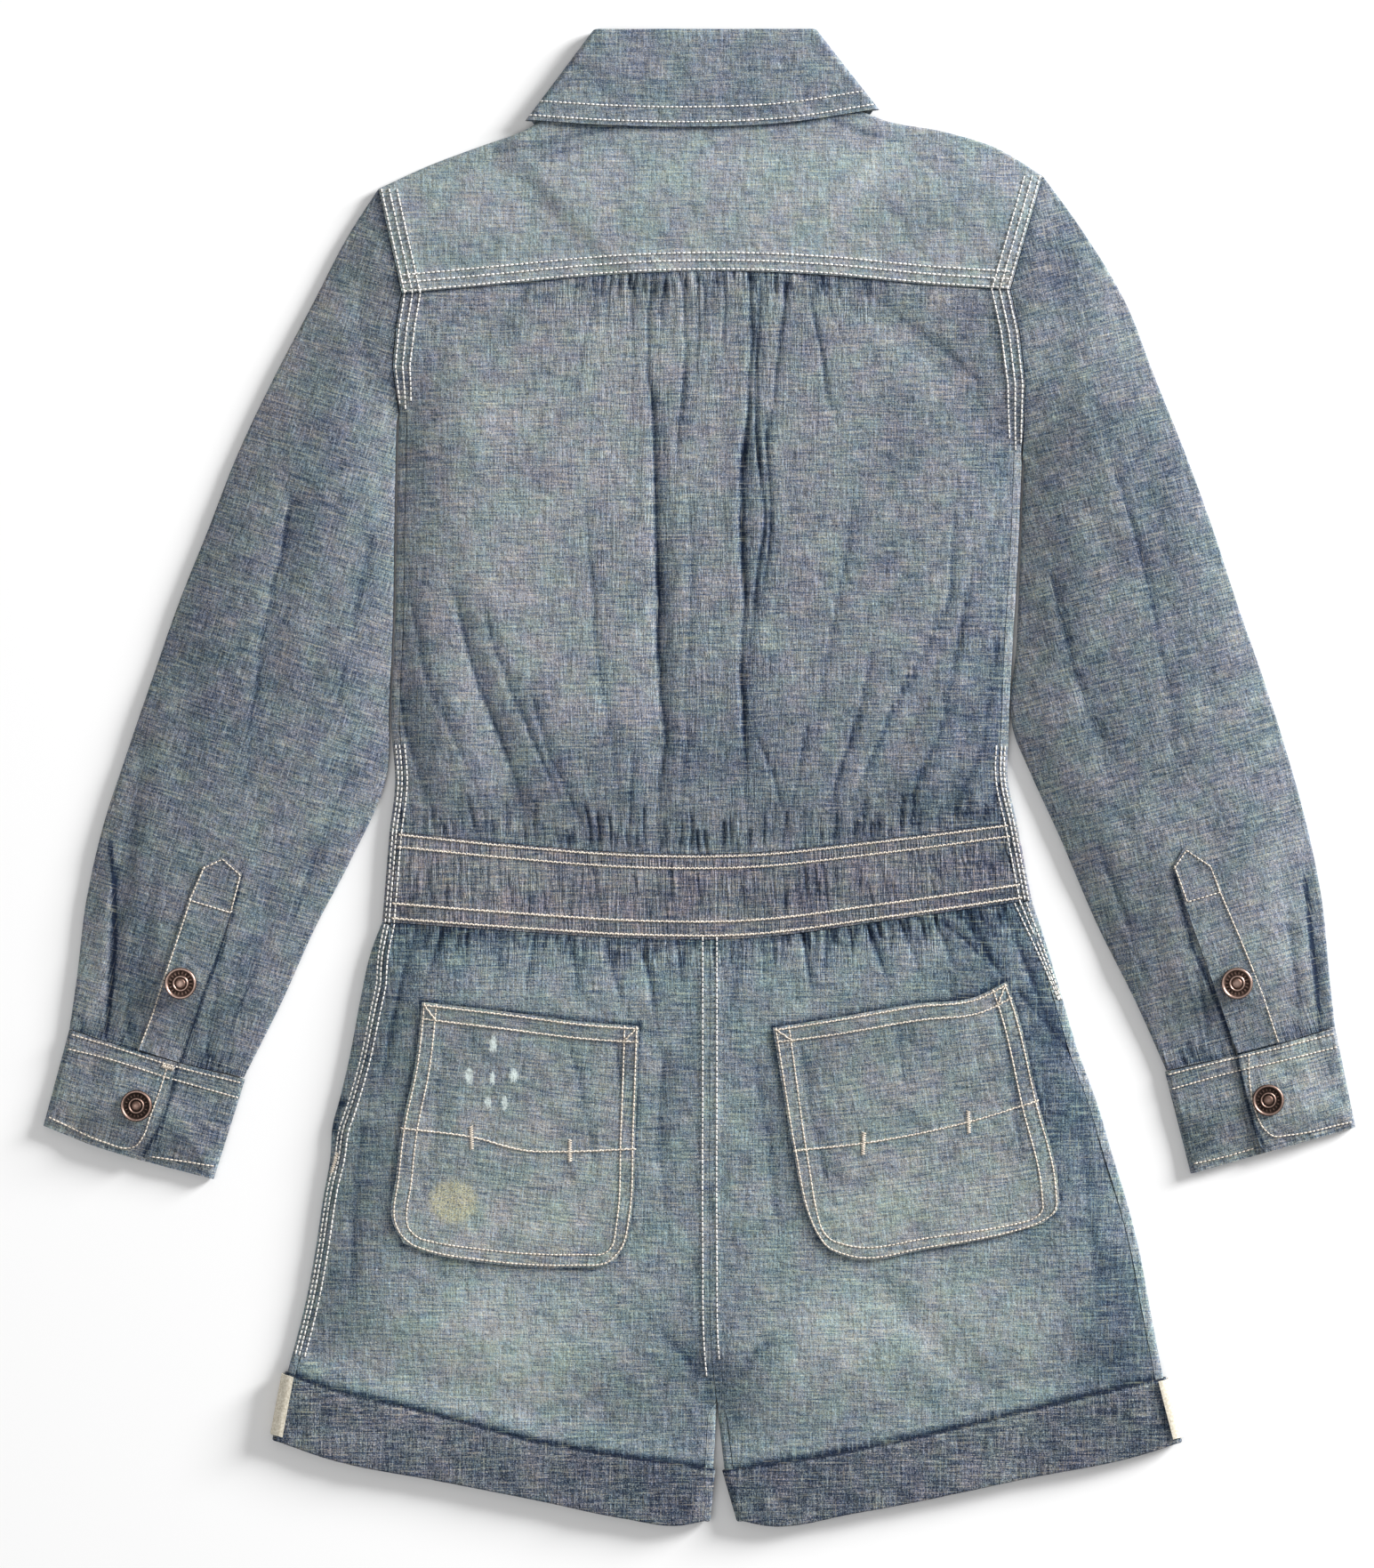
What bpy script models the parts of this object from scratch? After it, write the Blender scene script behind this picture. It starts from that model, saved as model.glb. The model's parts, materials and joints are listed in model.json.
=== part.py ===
"""A child's short jumpsuit in faded chambray, lying flat with its back up.

Metres, +Z up, +Y towards the collar, +X to the right as seen from above. Sizes below are in millimetres. Each piece of
cloth is a wall between an outer and an inner net of points, and each net is worked out from the garment's seam lines.
"""

import math

import bmesh
import bpy
from mathutils import Vector
from mathutils.bvhtree import BVHTree

for old_object in list(bpy.data.objects):
    bpy.data.objects.remove(old_object, do_unlink=True)

MILLIMETRE = 0.001

# Cloth and layers
CLOTH = 1.2  # one layer of chambray
CUFF_CLOTH = 1.6  # cuffs are doubled
SEAM_GAP = 0.3  # between two pieces at a seam
HIDDEN_GAP = 1.0  # between two hidden edges inside a turn-up
LYING_GAP = 0.5  # between a piece and the panel that it lies on
EDGE_HEIGHT = 4.0  # the garment's height at a side fold
FOLD_REACH = 2.0  # how far a side fold rounds out
PUFF = 6.0  # how far the back rises above the side folds
PUFF_REACH = 45.0  # over this distance from the edge
LAYER = CLOTH + LYING_GAP  # what one more layer of cloth adds
SIDE_SEAM = 4.5  # side seam to side fold, on the back
RAISE_MARGIN = 2.0  # the front is raised from this far above a turn-up
RAISE_SLOPE = 16.0  # length over which the front lifts onto a turned layer

# Seam lines of the bodice, from left to right or from top to bottom
SHOULDER_LEFT = ((-173, 318), (-147, 330), (-118, 341), (-93, 350), (-70, 365))
SHOULDER_RIGHT = ((74, 368), (97, 356), (132, 349), (161, 340), (186, 325))
BACK_NECK = ((-70, 365), (-41, 370), (0, 372), (41, 372), (74, 368))
ARMHOLE_LEFT = ((-173, 318), (-160, 261), (-162, 198))  # shoulder, yoke seam, underarm
ARMHOLE_RIGHT = ((186, 325), (168, 263), (175, 175))
YOKE_SEAM = ((-160, 261), (-106, 266), (-51, 271), (9, 273), (69, 271), (122, 266), (168, 263))
SIDE_LEFT = ((-162, 198), (-163, 151), (-164, 84), (-166, 26), (-164, -3), (-167, -29))
SIDE_RIGHT = ((175, 175), (173, 122), (170, 74), (168, 26), (167, 0), (172, -24))
WAIST_TOP = ((-167, -29), (-100, -36), (-31, -41), (23, -41), (103, -33), (172, -24))
WAIST_BOTTOM = ((-171, -78), (-100, -83), (-31, -87), (23, -87), (103, -77), (180, -66))
CENTRE_FRONT = ((2, 306), (10, -322))
NECK_DROP = 66.0  # front neck below back neck
YOKE_FRONT = 16.0  # the yoke reaches over the shoulder by this much
YOKE_NECK_START = 0.30  # shares of the yoke's width where the neck starts and ends
YOKE_NECK_END = 0.72

# Sleeves and cuffs
SLEEVE_OPEN = 0.11  # share of the sleeve beside the lower armhole
SLEEVE_GAP = 1.0  # between sleeve and body below the armhole
SLEEVE_OUTER_LEFT = (
    (-173, 318), (-188, 295), (-209, 255), (-230, 215), (-249, 175), (-265, 134), (-281, 94),
    (-295, 54), (-309, 13), (-322, -27), (-331, -67), (-336, -108), (-340, -136),
)
SLEEVE_INNER_LEFT = (
    (-162, 198), (-163, 151), (-164, 84), (-166, 36), (-167, 3), (-187, -45), (-206, -81),
    (-224, -121), (-245, -163),
)
SLEEVE_OUTER_RIGHT = (
    (186, 325), (207, 296), (231, 256), (247, 215), (263, 175), (278, 134), (291, 94),
    (305, 54), (318, 13), (329, -27), (337, -67), (341, -108), (344, -135),
)
SLEEVE_INNER_RIGHT = (
    (175, 175), (173, 122), (171, 74), (169, 25), (178, 3), (194, -32), (215, -81),
    (235, -121), (252, -159),
)
CUFF_TOP_LEFT = ((-340, -136), (-319, -143), (-281, -154), (-245, -163))
CUFF_BOTTOM_LEFT = ((-354, -188), (-329, -198), (-300, -207), (-262, -217))
CUFF_TOP_RIGHT = ((252, -159), (291, -150), (314, -144), (344, -135))
CUFF_BOTTOM_RIGHT = ((266, -214), (305, -203), (333, -195), (355, -189))
CUFF_PROUD = 0.4  # the cuff's back stands this far above the sleeve
CUFF_OVERLAP = 0.26  # share of the cuff's width under the overlap
PLACKET_LEFT = ((-267, -48), (-256, -42), (-246, -52))  # the tab's tip: shoulder, point, shoulder
PLACKET_LEFT_SIDES = (((-267, -48), (-275, -66), (-302, -147)), ((-246, -52), (-252, -73), (-280, -154)))
PLACKET_RIGHT = ((256, -48), (262, -37), (277, -47))
PLACKET_RIGHT_SIDES = (((256, -48), (262, -68), (291, -149)), ((277, -47), (282, -61), (314, -143)))

# Shorts
SHORTS_SIDE_LEFT = (
    (-171, -78), (-177, -94), (-183, -121), (-188, -148), (-194, -174), (-198, -189), (-199, -205),
    (-203, -228), (-207, -255), (-212, -282), (-222, -321),
)
SHORTS_SIDE_RIGHT = (
    (180, -66), (189, -94), (197, -121), (205, -148), (215, -175), (223, -202), (231, -228),
    (238, -255), (243, -282), (251, -324),
)
CENTRE_BACK = ((6, -87), (6, -156), (6, -252), (7, -310), (10, -340))
CROTCH = -339.0
TURN_TOP_LEFT = ((-222, -321), (-201, -329), (-140, -344), (-89, -358), (-49, -365), (8, -373))
TURN_FOLD_LEFT = ((-229, -358), (-200, -368), (-140, -380), (-89, -390), (-41, -400), (-11, -404), (5, -401))
TURN_TOP_RIGHT = ((14, -374), (68, -366), (122, -355), (175, -342), (251, -324))
TURN_FOLD_RIGHT = ((22, -401), (36, -404), (86, -397), (175, -379), (242, -365), (260, -359))
INSEAM_LEFT = ((10, -340), (8, -373))
INSEAM_RIGHT = ((10, -340), (14, -374))
TURN_COLUMNS = 5
LEG_ROWS = (0.0, 0.05, 0.12, 0.24, 0.38, 0.54, 0.70, 0.80, 0.88, 0.90, 0.94, 0.975, 1.0)
PLACKET_NARROWS = 0.70  # shares of the leg where the front placket narrows and ends
PLACKET_ENDS = 0.80
INSEAM_STARTS = 0.88  # shares of the leg where the inseam starts and where it meets the turn-up's edge
INSEAM_ENDS = 0.975
TURN_TUCK = 5.0  # the leg ends this far under the turn-up's edge
POCKET_LEFT = {
    "top": ((-149, -121), (-106, -126), (-59, -132), (-32, -134)),
    "left": ((-149, -121), (-153, -156), (-160, -189), (-163, -215), (-165, -239), (-159, -251)),
    "right": ((-32, -134), (-34, -189), (-36, -235), (-39, -250), (-44, -259)),
    "bottom": ((-159, -251), (-146, -256), (-119, -261), (-66, -264), (-51, -263), (-44, -259)),
}
POCKET_RIGHT = {
    "top": ((40, -135), (82, -128), (117, -122), (150, -118), (166, -110)),
    "left": ((40, -135), (44, -160), (51, -201), (59, -236), (64, -247)),
    "right": ((166, -110), (169, -118), (183, -174), (194, -222), (194, -232), (186, -240)),
    "bottom": ((64, -247), (70, -254), (82, -259), (124, -254), (177, -243), (186, -240)),
}

# Collar
ROLL_LEFT = (-57, 404)
ROLL_RIGHT = (64, 404)
LEAF_EDGE = ((-94, 355), (-51, 352), (0, 351), (45, 353), (98, 361))
LEAF_POINT_SPREAD = 0.17  # share of the collar's edge from the centre front to each point
LEAF_MARGIN = 20.0  # the front is raised this far past the collar's edge

# Front placket: a strip hollowed on its outer side, so that the snaps lie level with the cloth
FRONT_PLACKET_HALF = 17.0
FRONT_PLACKET_HOLLOW = 1.7
FRONT_PLACKET_FLAT = 10.2
FRONT_PLACKET_NECK = FRONT_PLACKET_HALF / (BACK_NECK[-1][0] - BACK_NECK[0][0])
FRONT_PLACKET_SHOULDER = -290  # it narrows from here to its tip
FRONT_PLACKET_TIP_HALF = 1.5
FRONT_SNAP_HEIGHTS = (255, 195, 135, 75, 15, -54, -120, -186)

# Snaps: name, x, y
SNAPS = (
    ("snap_placket_left", -279, -111),
    ("snap_cuff_left", -303, -177),
    ("snap_placket_right", 290, -111),
    ("snap_cuff_right", 307, -174),
)
SNAP_RADIUS = 8.5
# Half section of a snap cap: radius share, height
SNAP_SECTION = (
    (0.00, 2.1), (0.32, 1.9), (0.38, 1.3), (0.46, 1.3), (0.54, 1.7), (0.80, 1.5), (0.88, 2.3),
    (1.00, 1.6), (1.00, 0.0), (0.00, 0.0),
)
FRONT_SNAP_SECTION = ((0.00, 1.4), (0.86, 1.4), (1.00, 0.9), (1.00, 0.0), (0.00, 0.0))
FRONT_SNAP_RADIUS = 7.5
FRONT_SNAP_TOP = 1.4  # the caps lie in the placket's hollow, level with the floor
SNAP_SIDES = 14
TAPE = 0.8  # thickness of the hem tape

# Pleats under the yoke: share of the seam, lean in shares, depth, length
YOKE_PLEATS = (
    (0.305, 0.00, 1.1, 70), (0.385, -0.01, 1.3, 60), (0.408, 0.01, 1.2, 45), (0.432, -0.01, 1.3, 60),
    (0.470, 0.00, 1.6, 90), (0.497, 0.01, 1.2, 55), (0.518, 0.00, 1.4, 75), (0.542, 0.00, 1.2, 60),
    (0.572, 0.00, 2.0, 260), (0.600, 0.01, 1.8, 230), (0.628, 0.01, 1.2, 70), (0.680, 0.02, 1.4, 95),
    (0.710, 0.02, 1.3, 80),
)
PLEAT_WIDTH = 0.011
# Creases of the back: start, end, depth, half width
CREASES = (
    ((-22, 170), (-22, -32), -1.6, 7),
    ((-168, 74), (-147, -27), -1.5, 8),
    ((-135, 103), (-94, -32), -1.8, 10),
    ((141, 88), (84, -27), -1.8, 10),
    ((165, 108), (132, -27), -1.5, 8),
    ((89, 255), (151, 205), -1.3, 9),
    ((-219, 151), (-240, -12), -1.5, 10),
    ((-300, 20), (-318, -136), -1.4, 7),
    ((235, 200), (262, 40), -1.4, 11),
    ((327, -20), (335, -130), -1.4, 7),
    ((-90, -270), (-150, -335), -1.3, 10),
    ((90, -268), (150, -325), -1.3, 10),
)
WAIST_GATHERS = 22  # above the waistband
WAIST_GATHER_DEPTH = 1.1
WAIST_GATHER_LENGTH = 0.26  # share of the bodice's length
SEAT_GATHERS = 9  # below the waistband on each half
SEAT_GATHER_DEPTH = 1.0
SEAT_GATHER_LENGTH = 0.17
BAND_RIBS = 27
BAND_RIB_HEIGHT = 0.6

COLOURS = {
    "chambray": (0.205, 0.262, 0.318),
    "faded chambray": (0.290, 0.352, 0.392),
    "dark chambray": (0.128, 0.158, 0.190),
    "tape": (0.720, 0.660, 0.530),
    "copper": (0.180, 0.115, 0.085),
}


def mix(start, end, share):
    return start + (end - start) * share


def smooth(share):
    """Runs from 0 to 1 with soft ends."""
    share = min(max(share, 0.0), 1.0)
    return share * share * (3 - 2 * share)


def spread(count):
    """Shares from 0 to 1 in equal steps."""
    return [step / count for step in range(count + 1)]


def curve(points, steps=12):
    """A smooth line through the points, read by its share of length."""
    points = [Vector(point) for point in points]
    chords = [(end - start).length for start, end in zip(points, points[1:])]
    slopes = [(end - start) / chord for start, end, chord in zip(points, points[1:], chords)]
    tangents = [slopes[0]]
    for before, after, chord, following in zip(slopes, slopes[1:], chords, chords[1:]):
        tangents.append((before * following + after * chord) / (chord + following))
    tangents.append(slopes[-1])
    line = [points[0]]
    for index, chord in enumerate(chords):
        for step in range(1, steps + 1):
            t = step / steps
            start = points[index] * (2 * t**3 - 3 * t**2 + 1)
            end = points[index + 1] * (3 * t**2 - 2 * t**3)
            leave = tangents[index] * (t**3 - 2 * t**2 + t) * chord
            arrive = tangents[index + 1] * (t**3 - t**2) * chord
            line.append(start + end + leave + arrive)
    return along(line)


def along(line):
    """Straight runs between points, read by their share of length."""
    line = [Vector(point) for point in line]
    marks = [0.0]
    for start, end in zip(line, line[1:]):
        marks.append(marks[-1] + (end - start).length)

    def at(share):
        place = min(max(share, 0.0), 1.0) * marks[-1]
        index = 0
        while index < len(marks) - 2 and marks[index + 1] < place:
            index += 1
        return line[index].lerp(line[index + 1], (place - marks[index]) / (marks[index + 1] - marks[index]))

    return at


def part_of(line, start, end):
    return lambda share: line(mix(start, end, share))


def joined(*parts):
    """Lines as one line. Each part is a line and the share at which it ends."""

    def at(share):
        start = 0.0
        for line, end in parts[:-1]:
            if share <= end:
                return line((share - start) / (end - start))
            start = end
        return parts[-1][0]((share - start) / (1 - start))

    return at


def square_to(line, share, side):
    """Square to a line that runs down the garment, away from it. side is -1 at its left edge and 1 at its right."""
    run = line(min(share + 0.02, 1.0)) - line(max(share - 0.02, 0.0))
    return Vector((-run.y, run.x)).normalized() * side


def share_where(line, axis, value):
    """The share at which a line passes a value of x (axis 0) or y (axis 1)."""
    low, high = 0.0, 1.0
    rising = line(1.0)[axis] > line(0.0)[axis]
    for _ in range(40):
        middle = (low + high) / 2
        if (line(middle)[axis] < value) == rising:
            low = middle
        else:
            high = middle
    return low


def height_of(points, x):
    """The y of an edge at x, read from its points."""
    if x <= points[0][0]:
        return points[0][1]
    for (x0, y0), (x1, y1) in zip(points, points[1:]):
        if x <= x1:
            return mix(y0, y1, (x - x0) / (x1 - x0))
    return points[-1][1]


class Patch:
    """The cloth between four edges, read by its share across and its share down."""

    def __init__(self, top, bottom, left, right):
        self.top = top
        self.bottom = bottom
        self.left = left
        self.right = right

    def plain(self, across, down):
        ends = self.top(across) * (1 - down) + self.bottom(across) * down
        sides = self.left(down) * (1 - across) + self.right(down) * across
        corners = (
            self.top(0) * (1 - across) * (1 - down)
            + self.top(1) * across * (1 - down)
            + self.bottom(0) * (1 - across) * down
            + self.bottom(1) * across * down
        )
        return ends + sides - corners

    def at(self, across, down, left=0.0, right=0.0, top=0.0, bottom=0.0):
        """A place on the cloth, with each edge moved in by the given distance."""
        width = (self.right(down) - self.left(down)).length
        length = (self.bottom(across) - self.top(across)).length
        across = mix(left / width, 1 - right / width, across)
        down = mix(top / length, 1 - bottom / length, down)
        return self.plain(across, down)

    def sideways(self, down):
        return (self.right(down) - self.left(down)).normalized()


def meeting(line, start, end):
    """A line whose ends are moved to the given points. The move fades along the line."""

    def at(share):
        return line(share) + (start - line(0.0)) * (1 - share) ** 6 + (end - line(1.0)) * share**6

    return at


def end_on(line, end, level):
    """Where the end of a line that runs down meets a line that runs across, as a share of the second."""
    run = line(end) - line(abs(end - 0.03))
    x = line(end).x
    for _ in range(4):
        y = level(share_where(level, 0, x)).y
        x = line(end).x + (y - line(end).y) * run.x / run.y
    return share_where(level, 0, x)


def inset_patch(top, bottom, left, right):
    """A patch whose side edges were moved in. Its top and bottom edges are shortened to meet them."""
    top = part_of(top, end_on(left, 0.0, top), end_on(right, 0.0, top))
    bottom = part_of(bottom, end_on(left, 1.0, bottom), end_on(right, 1.0, bottom))
    return Patch(top, bottom, meeting(left, top(0.0), bottom(0.0)), meeting(right, top(1.0), bottom(1.0)))


def reversed_points(points):
    return tuple(reversed(points))


BODY_OUTLINE = (
    SHOULDER_LEFT[:-1]
    + (ROLL_LEFT, ROLL_RIGHT)
    + SHOULDER_RIGHT[1:]
    + SLEEVE_OUTER_RIGHT[1:]
    + reversed_points(CUFF_BOTTOM_RIGHT)
    + reversed_points(SLEEVE_INNER_RIGHT)
    + SIDE_RIGHT[1:]
    + SHORTS_SIDE_RIGHT
    + reversed_points(TURN_FOLD_RIGHT)
    + ((10, CROTCH),)
    + reversed_points(TURN_FOLD_LEFT)
    + reversed_points(SHORTS_SIDE_LEFT)
    + reversed_points(SIDE_LEFT)[:-1]
    + SLEEVE_INNER_LEFT
    + CUFF_BOTTOM_LEFT[::-1]
    + reversed_points(SLEEVE_OUTER_LEFT)
)


def distance_to(x, y, start, end):
    """Distance from a place to a straight line, and the share along the line."""
    run_x = end[0] - start[0]
    run_y = end[1] - start[1]
    length = run_x * run_x + run_y * run_y
    share = ((x - start[0]) * run_x + (y - start[1]) * run_y) / max(length, 1e-9)
    share = min(max(share, 0.0), 1.0)
    return math.hypot(x - start[0] - share * run_x, y - start[1] - share * run_y), share


def from_outline(x, y):
    return min(distance_to(x, y, start, end)[0] for start, end in zip(BODY_OUTLINE, BODY_OUTLINE[1:]))


def neck_dip(across):
    """How far the front of the neck and collar lies below the back, at a share across."""
    inward = min(across, 1 - across) * 2
    return NECK_DROP * math.sin(math.pi / 2 * inward)


def leaf_edge_below(x):
    """The collar's edge on the front side."""
    across = (x - LEAF_EDGE[0][0]) / (LEAF_EDGE[-1][0] - LEAF_EDGE[0][0])
    return height_of(LEAF_EDGE, x) - neck_dip(min(max(across, 0.0), 1.0)) - LEAF_MARGIN


def under_height(x, y):
    """The outer face of the front: on the floor, and one layer up over the collar and the turn-ups."""
    turn_top = TURN_TOP_LEFT if x < 11 else TURN_TOP_RIGHT
    over_turn = smooth((height_of(turn_top, x) + RAISE_MARGIN + RAISE_SLOPE - y) / RAISE_SLOPE)
    beside = max(LEAF_EDGE[0][0] - x, x - LEAF_EDGE[-1][0], 0.0)
    below = max(leaf_edge_below(x) - y, 0.0)
    over_leaf = smooth(1 - math.hypot(beside, below) / RAISE_SLOPE)
    return LAYER * max(over_turn, over_leaf)


def pinch(x, y):
    """How far cuffs and waistband hold the cloth down, from 0 to 1."""
    near_waist = 0.0
    if SLEEVE_INNER_LEFT[3][0] < x < 180 and y < 60:
        above = y - height_of(WAIST_TOP, x)
        below = height_of(WAIST_BOTTOM, x) - y
        near_waist = 0.62 * smooth(1 - max(above, below, 0.0) / 34)
    left, _ = distance_to(x, y, CUFF_TOP_LEFT[0], CUFF_TOP_LEFT[-1])
    right, _ = distance_to(x, y, CUFF_TOP_RIGHT[0], CUFF_TOP_RIGHT[-1])
    near_cuff = 0.96 * smooth(1 - max(min(left, right) - 4, 0.0) / 44)
    near_collar = 0.0
    if abs(x) < 130 and y > 250:
        beside = max(LEAF_EDGE[0][0] - x, x - LEAF_EDGE[-1][0], 0.0)
        below = max(height_of(LEAF_EDGE, x) - y, 0.0)
        near_collar = 0.8 * smooth(1 - math.hypot(beside, below) / 45)
    above_turn = y - height_of(TURN_TOP_LEFT if x < 11 else TURN_TOP_RIGHT, x)
    near_turn = 0.85 * smooth(1 - max(above_turn - 6, 0.0) / 50)
    return max(near_waist, near_cuff, near_collar, near_turn)


def creases(x, y):
    total = 0.0
    for start, end, depth, half_width in CREASES:
        away, share = distance_to(x, y, start, end)
        if away < 3 * half_width:
            fade = math.sin(math.pi * mix(0.12, 0.88, share))
            total += depth * fade * math.exp(-((away / half_width) ** 2))
    return total


def back_height(x, y):
    """The outer face of the back, above the floor."""
    rise = 1 - (1 - min(max(from_outline(x, y) - FOLD_REACH, 0.0) / PUFF_REACH, 1.0)) ** 2
    lift = PUFF * (1 - pinch(x, y)) + creases(x, y)
    return under_height(x, y) + EDGE_HEIGHT + rise * lift


def material(name, colour, roughness=0.9, metallic=0.0):
    finish = bpy.data.materials.new(name)
    finish.use_nodes = True
    shader = finish.node_tree.nodes["Principled BSDF"]
    shader.inputs["Base Color"].default_value = (*COLOURS[colour], 1.0)
    shader.inputs["Roughness"].default_value = roughness
    shader.inputs["Metallic"].default_value = metallic
    return finish


def place(name, mesh_data, finish):
    bmesh.ops.recalc_face_normals(mesh_data, faces=mesh_data.faces)
    mesh = bpy.data.meshes.new(name)
    mesh_data.to_mesh(mesh)
    mesh_data.free()
    mesh.materials.append(finish)
    mesh.shade_smooth()
    mesh.set_sharp_from_angle(angle=math.radians(40))
    piece = bpy.data.objects.new(name, mesh)
    bpy.context.collection.objects.link(piece)
    return piece


def cloth(name, outer, inner, colour="chambray", closed=False):
    """One wall of cloth between an outer and an inner net. A net is rows of (x, y, z) in mm, or None for no cloth."""
    shell = bmesh.new()
    skins = []
    for net in (outer, inner):
        skins.append([[p and shell.verts.new([c * MILLIMETRE for c in p]) for p in row] for row in net])
    cells = []
    columns = len(outer[0])
    for row in range(len(outer) - 1):
        for column in range(columns if closed else columns - 1):
            after = (column + 1) % columns
            corners = ((row, column), (row, after), (row + 1, after), (row + 1, column))
            if all(outer[i][j] for i, j in corners):
                cells.append(corners)
    edges = {(cell[k], cell[(k + 1) % 4]) for cell in cells for k in range(4)}
    outside, inside = skins
    for cell in cells:
        shell.faces.new([outside[i][j] for i, j in cell])
        shell.faces.new([inside[i][j] for i, j in reversed(cell)])
    for start, end in sorted(edges):
        if (end, start) not in edges:
            (i, j), (m, n) = start, end
            shell.faces.new([outside[m][n], outside[i][j], inside[i][j], inside[m][n]])
    lonely = [vert for vert in shell.verts if not vert.link_faces]
    bmesh.ops.delete(shell, geom=lonely, context="VERTS")
    return place(name, shell, material(name, colour))


def back_point(place_xy, off=0.0, lift=0.0):
    """A point over the back's outer face: off moves both skins of a wall, lift is a pleat's height."""
    x, y = place_xy
    return (x, y, back_height(x, y) + lift + off)


def under_point(place_xy, off=0.0):
    x, y = place_xy
    return (x, y, under_height(x, y) - off)


def fold_point(centre, outward, angle, off):
    """A point on a side fold. centre is where the fold starts, outward points away from the garment."""
    top = back_height(*centre)
    bottom = under_height(*centre)
    half = (top - bottom) / 2
    across = (FOLD_REACH + off) * math.cos(angle)
    return (
        centre[0] + outward[0] * across,
        centre[1] + outward[1] * across,
        bottom + half + (half + off) * math.sin(angle),
    )


FOLD_ANGLES = [math.radians(angle) for angle in (90, 30, -30, -90)]
HALF_GAP = SEAM_GAP / 2


def two_skins(make, rows, wall):
    """The outer and inner nets of a wall. make takes a row and an offset and returns that row's points."""
    return [make(row, 0.0) for row in rows], [make(row, -wall) for row in rows]


def shifted(points, right, up):
    return tuple((x + right, y + up) for x, y in points)


# Bodice: the yoke, the gathered back and the two fronts


ARMHOLES = (ARMHOLE_LEFT, ARMHOLE_RIGHT)
SIDES = (curve(SIDE_LEFT), curve(SIDE_RIGHT))
SHOULDERS = (curve(SHOULDER_LEFT), curve(SHOULDER_RIGHT))
NECK_LINE = curve(BACK_NECK)
YOKE_LINE = curve(YOKE_SEAM)
WAIST_TOP_LINE = curve(WAIST_TOP)
WAIST_BOTTOM_LINE = curve(WAIST_BOTTOM)
UNDERARM = 0.26  # share of a bodice panel's side at which the armhole ends
SIDE_SHARES = (0.06, 0.25, 0.50, 0.72, 0.86, 0.94, 1.0)  # rows along the side seam
OPEN_UNTIL = UNDERARM - 0.012
SIDE_ROWS = tuple(mix(UNDERARM, 1.0, share) for share in SIDE_SHARES)
SHOULDER_COLUMNS = 6
FRONT_CORNER = 0.10  # shares of a front where it passes the yoke seam and where its neck ends
FRONT_NECK_END = 0.13


def yoke_top(share):
    """The shoulders and the neck between them."""
    if share <= YOKE_NECK_START:
        return SHOULDERS[0](share / YOKE_NECK_START)
    if share < YOKE_NECK_END:
        return NECK_LINE((share - YOKE_NECK_START) / (YOKE_NECK_END - YOKE_NECK_START))
    return SHOULDERS[1]((share - YOKE_NECK_END) / (1 - YOKE_NECK_END))


YOKE_PATCH = Patch(yoke_top, YOKE_LINE, along(ARMHOLE_LEFT[:2]), along(ARMHOLE_RIGHT[:2]))


def over_shoulder(across):
    """The way in which the yoke passes over the shoulder."""
    return (YOKE_PATCH.plain(across, 0.0) - YOKE_PATCH.plain(across, 0.15)).normalized()


def build_back_yoke():
    """Cut in one, it wraps over both shoulders and ends a little way down the front."""
    columns = [YOKE_NECK_START * share for share in spread(SHOULDER_COLUMNS)]
    columns += [mix(YOKE_NECK_START, YOKE_NECK_END, share) for share in spread(7)[1:-1]]
    columns += [mix(YOKE_NECK_END, 1.0, share) for share in spread(SHOULDER_COLUMNS)]

    def make(row, off):
        kind, share = row
        points = []
        for across in columns:
            at_neck = YOKE_NECK_START < across < YOKE_NECK_END
            inset = HALF_GAP if at_neck else FOLD_REACH
            down = share if kind == "top" else 0.0
            spot = YOKE_PATCH.at(across, down, HALF_GAP, HALF_GAP, inset, HALF_GAP)
            if kind == "top":
                points.append(back_point(spot, off))
            elif at_neck:
                points.append(None)
            elif kind == "fold":
                points.append(fold_point(spot, over_shoulder(across), share, off))
            else:
                points.append(under_point(spot - over_shoulder(across) * share, off))
        return points

    rows = [("top", share) for share in reversed(spread(6))]
    rows += [("fold", angle) for angle in FOLD_ANGLES[1:]]
    rows += [("under", YOKE_FRONT / 2), ("under", YOKE_FRONT)]
    cloth("back_yoke", *two_skins(make, rows, CLOTH), "faded chambray")


def bodice_columns():
    """Shares across the back bodice at the yoke and at the waist: a column on each pleat and each crest."""
    pleats = [pleat[0] for pleat in YOKE_PLEATS]
    middle = []
    for here, following in zip(pleats, pleats[1:]):
        middle += [here, (here + following) / 2]
    middle.append(pleats[-1])
    count = 2 * WAIST_GATHERS + 1
    side = count - len(middle)
    left = side // 2
    right = side - left
    at_yoke = [pleats[0] * step / left for step in range(left)]
    at_yoke += middle
    at_yoke += [mix(pleats[-1], 1.0, (step + 1) / right) for step in range(right)]
    return [(top, index / (count - 1)) for index, top in enumerate(at_yoke)]


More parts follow.
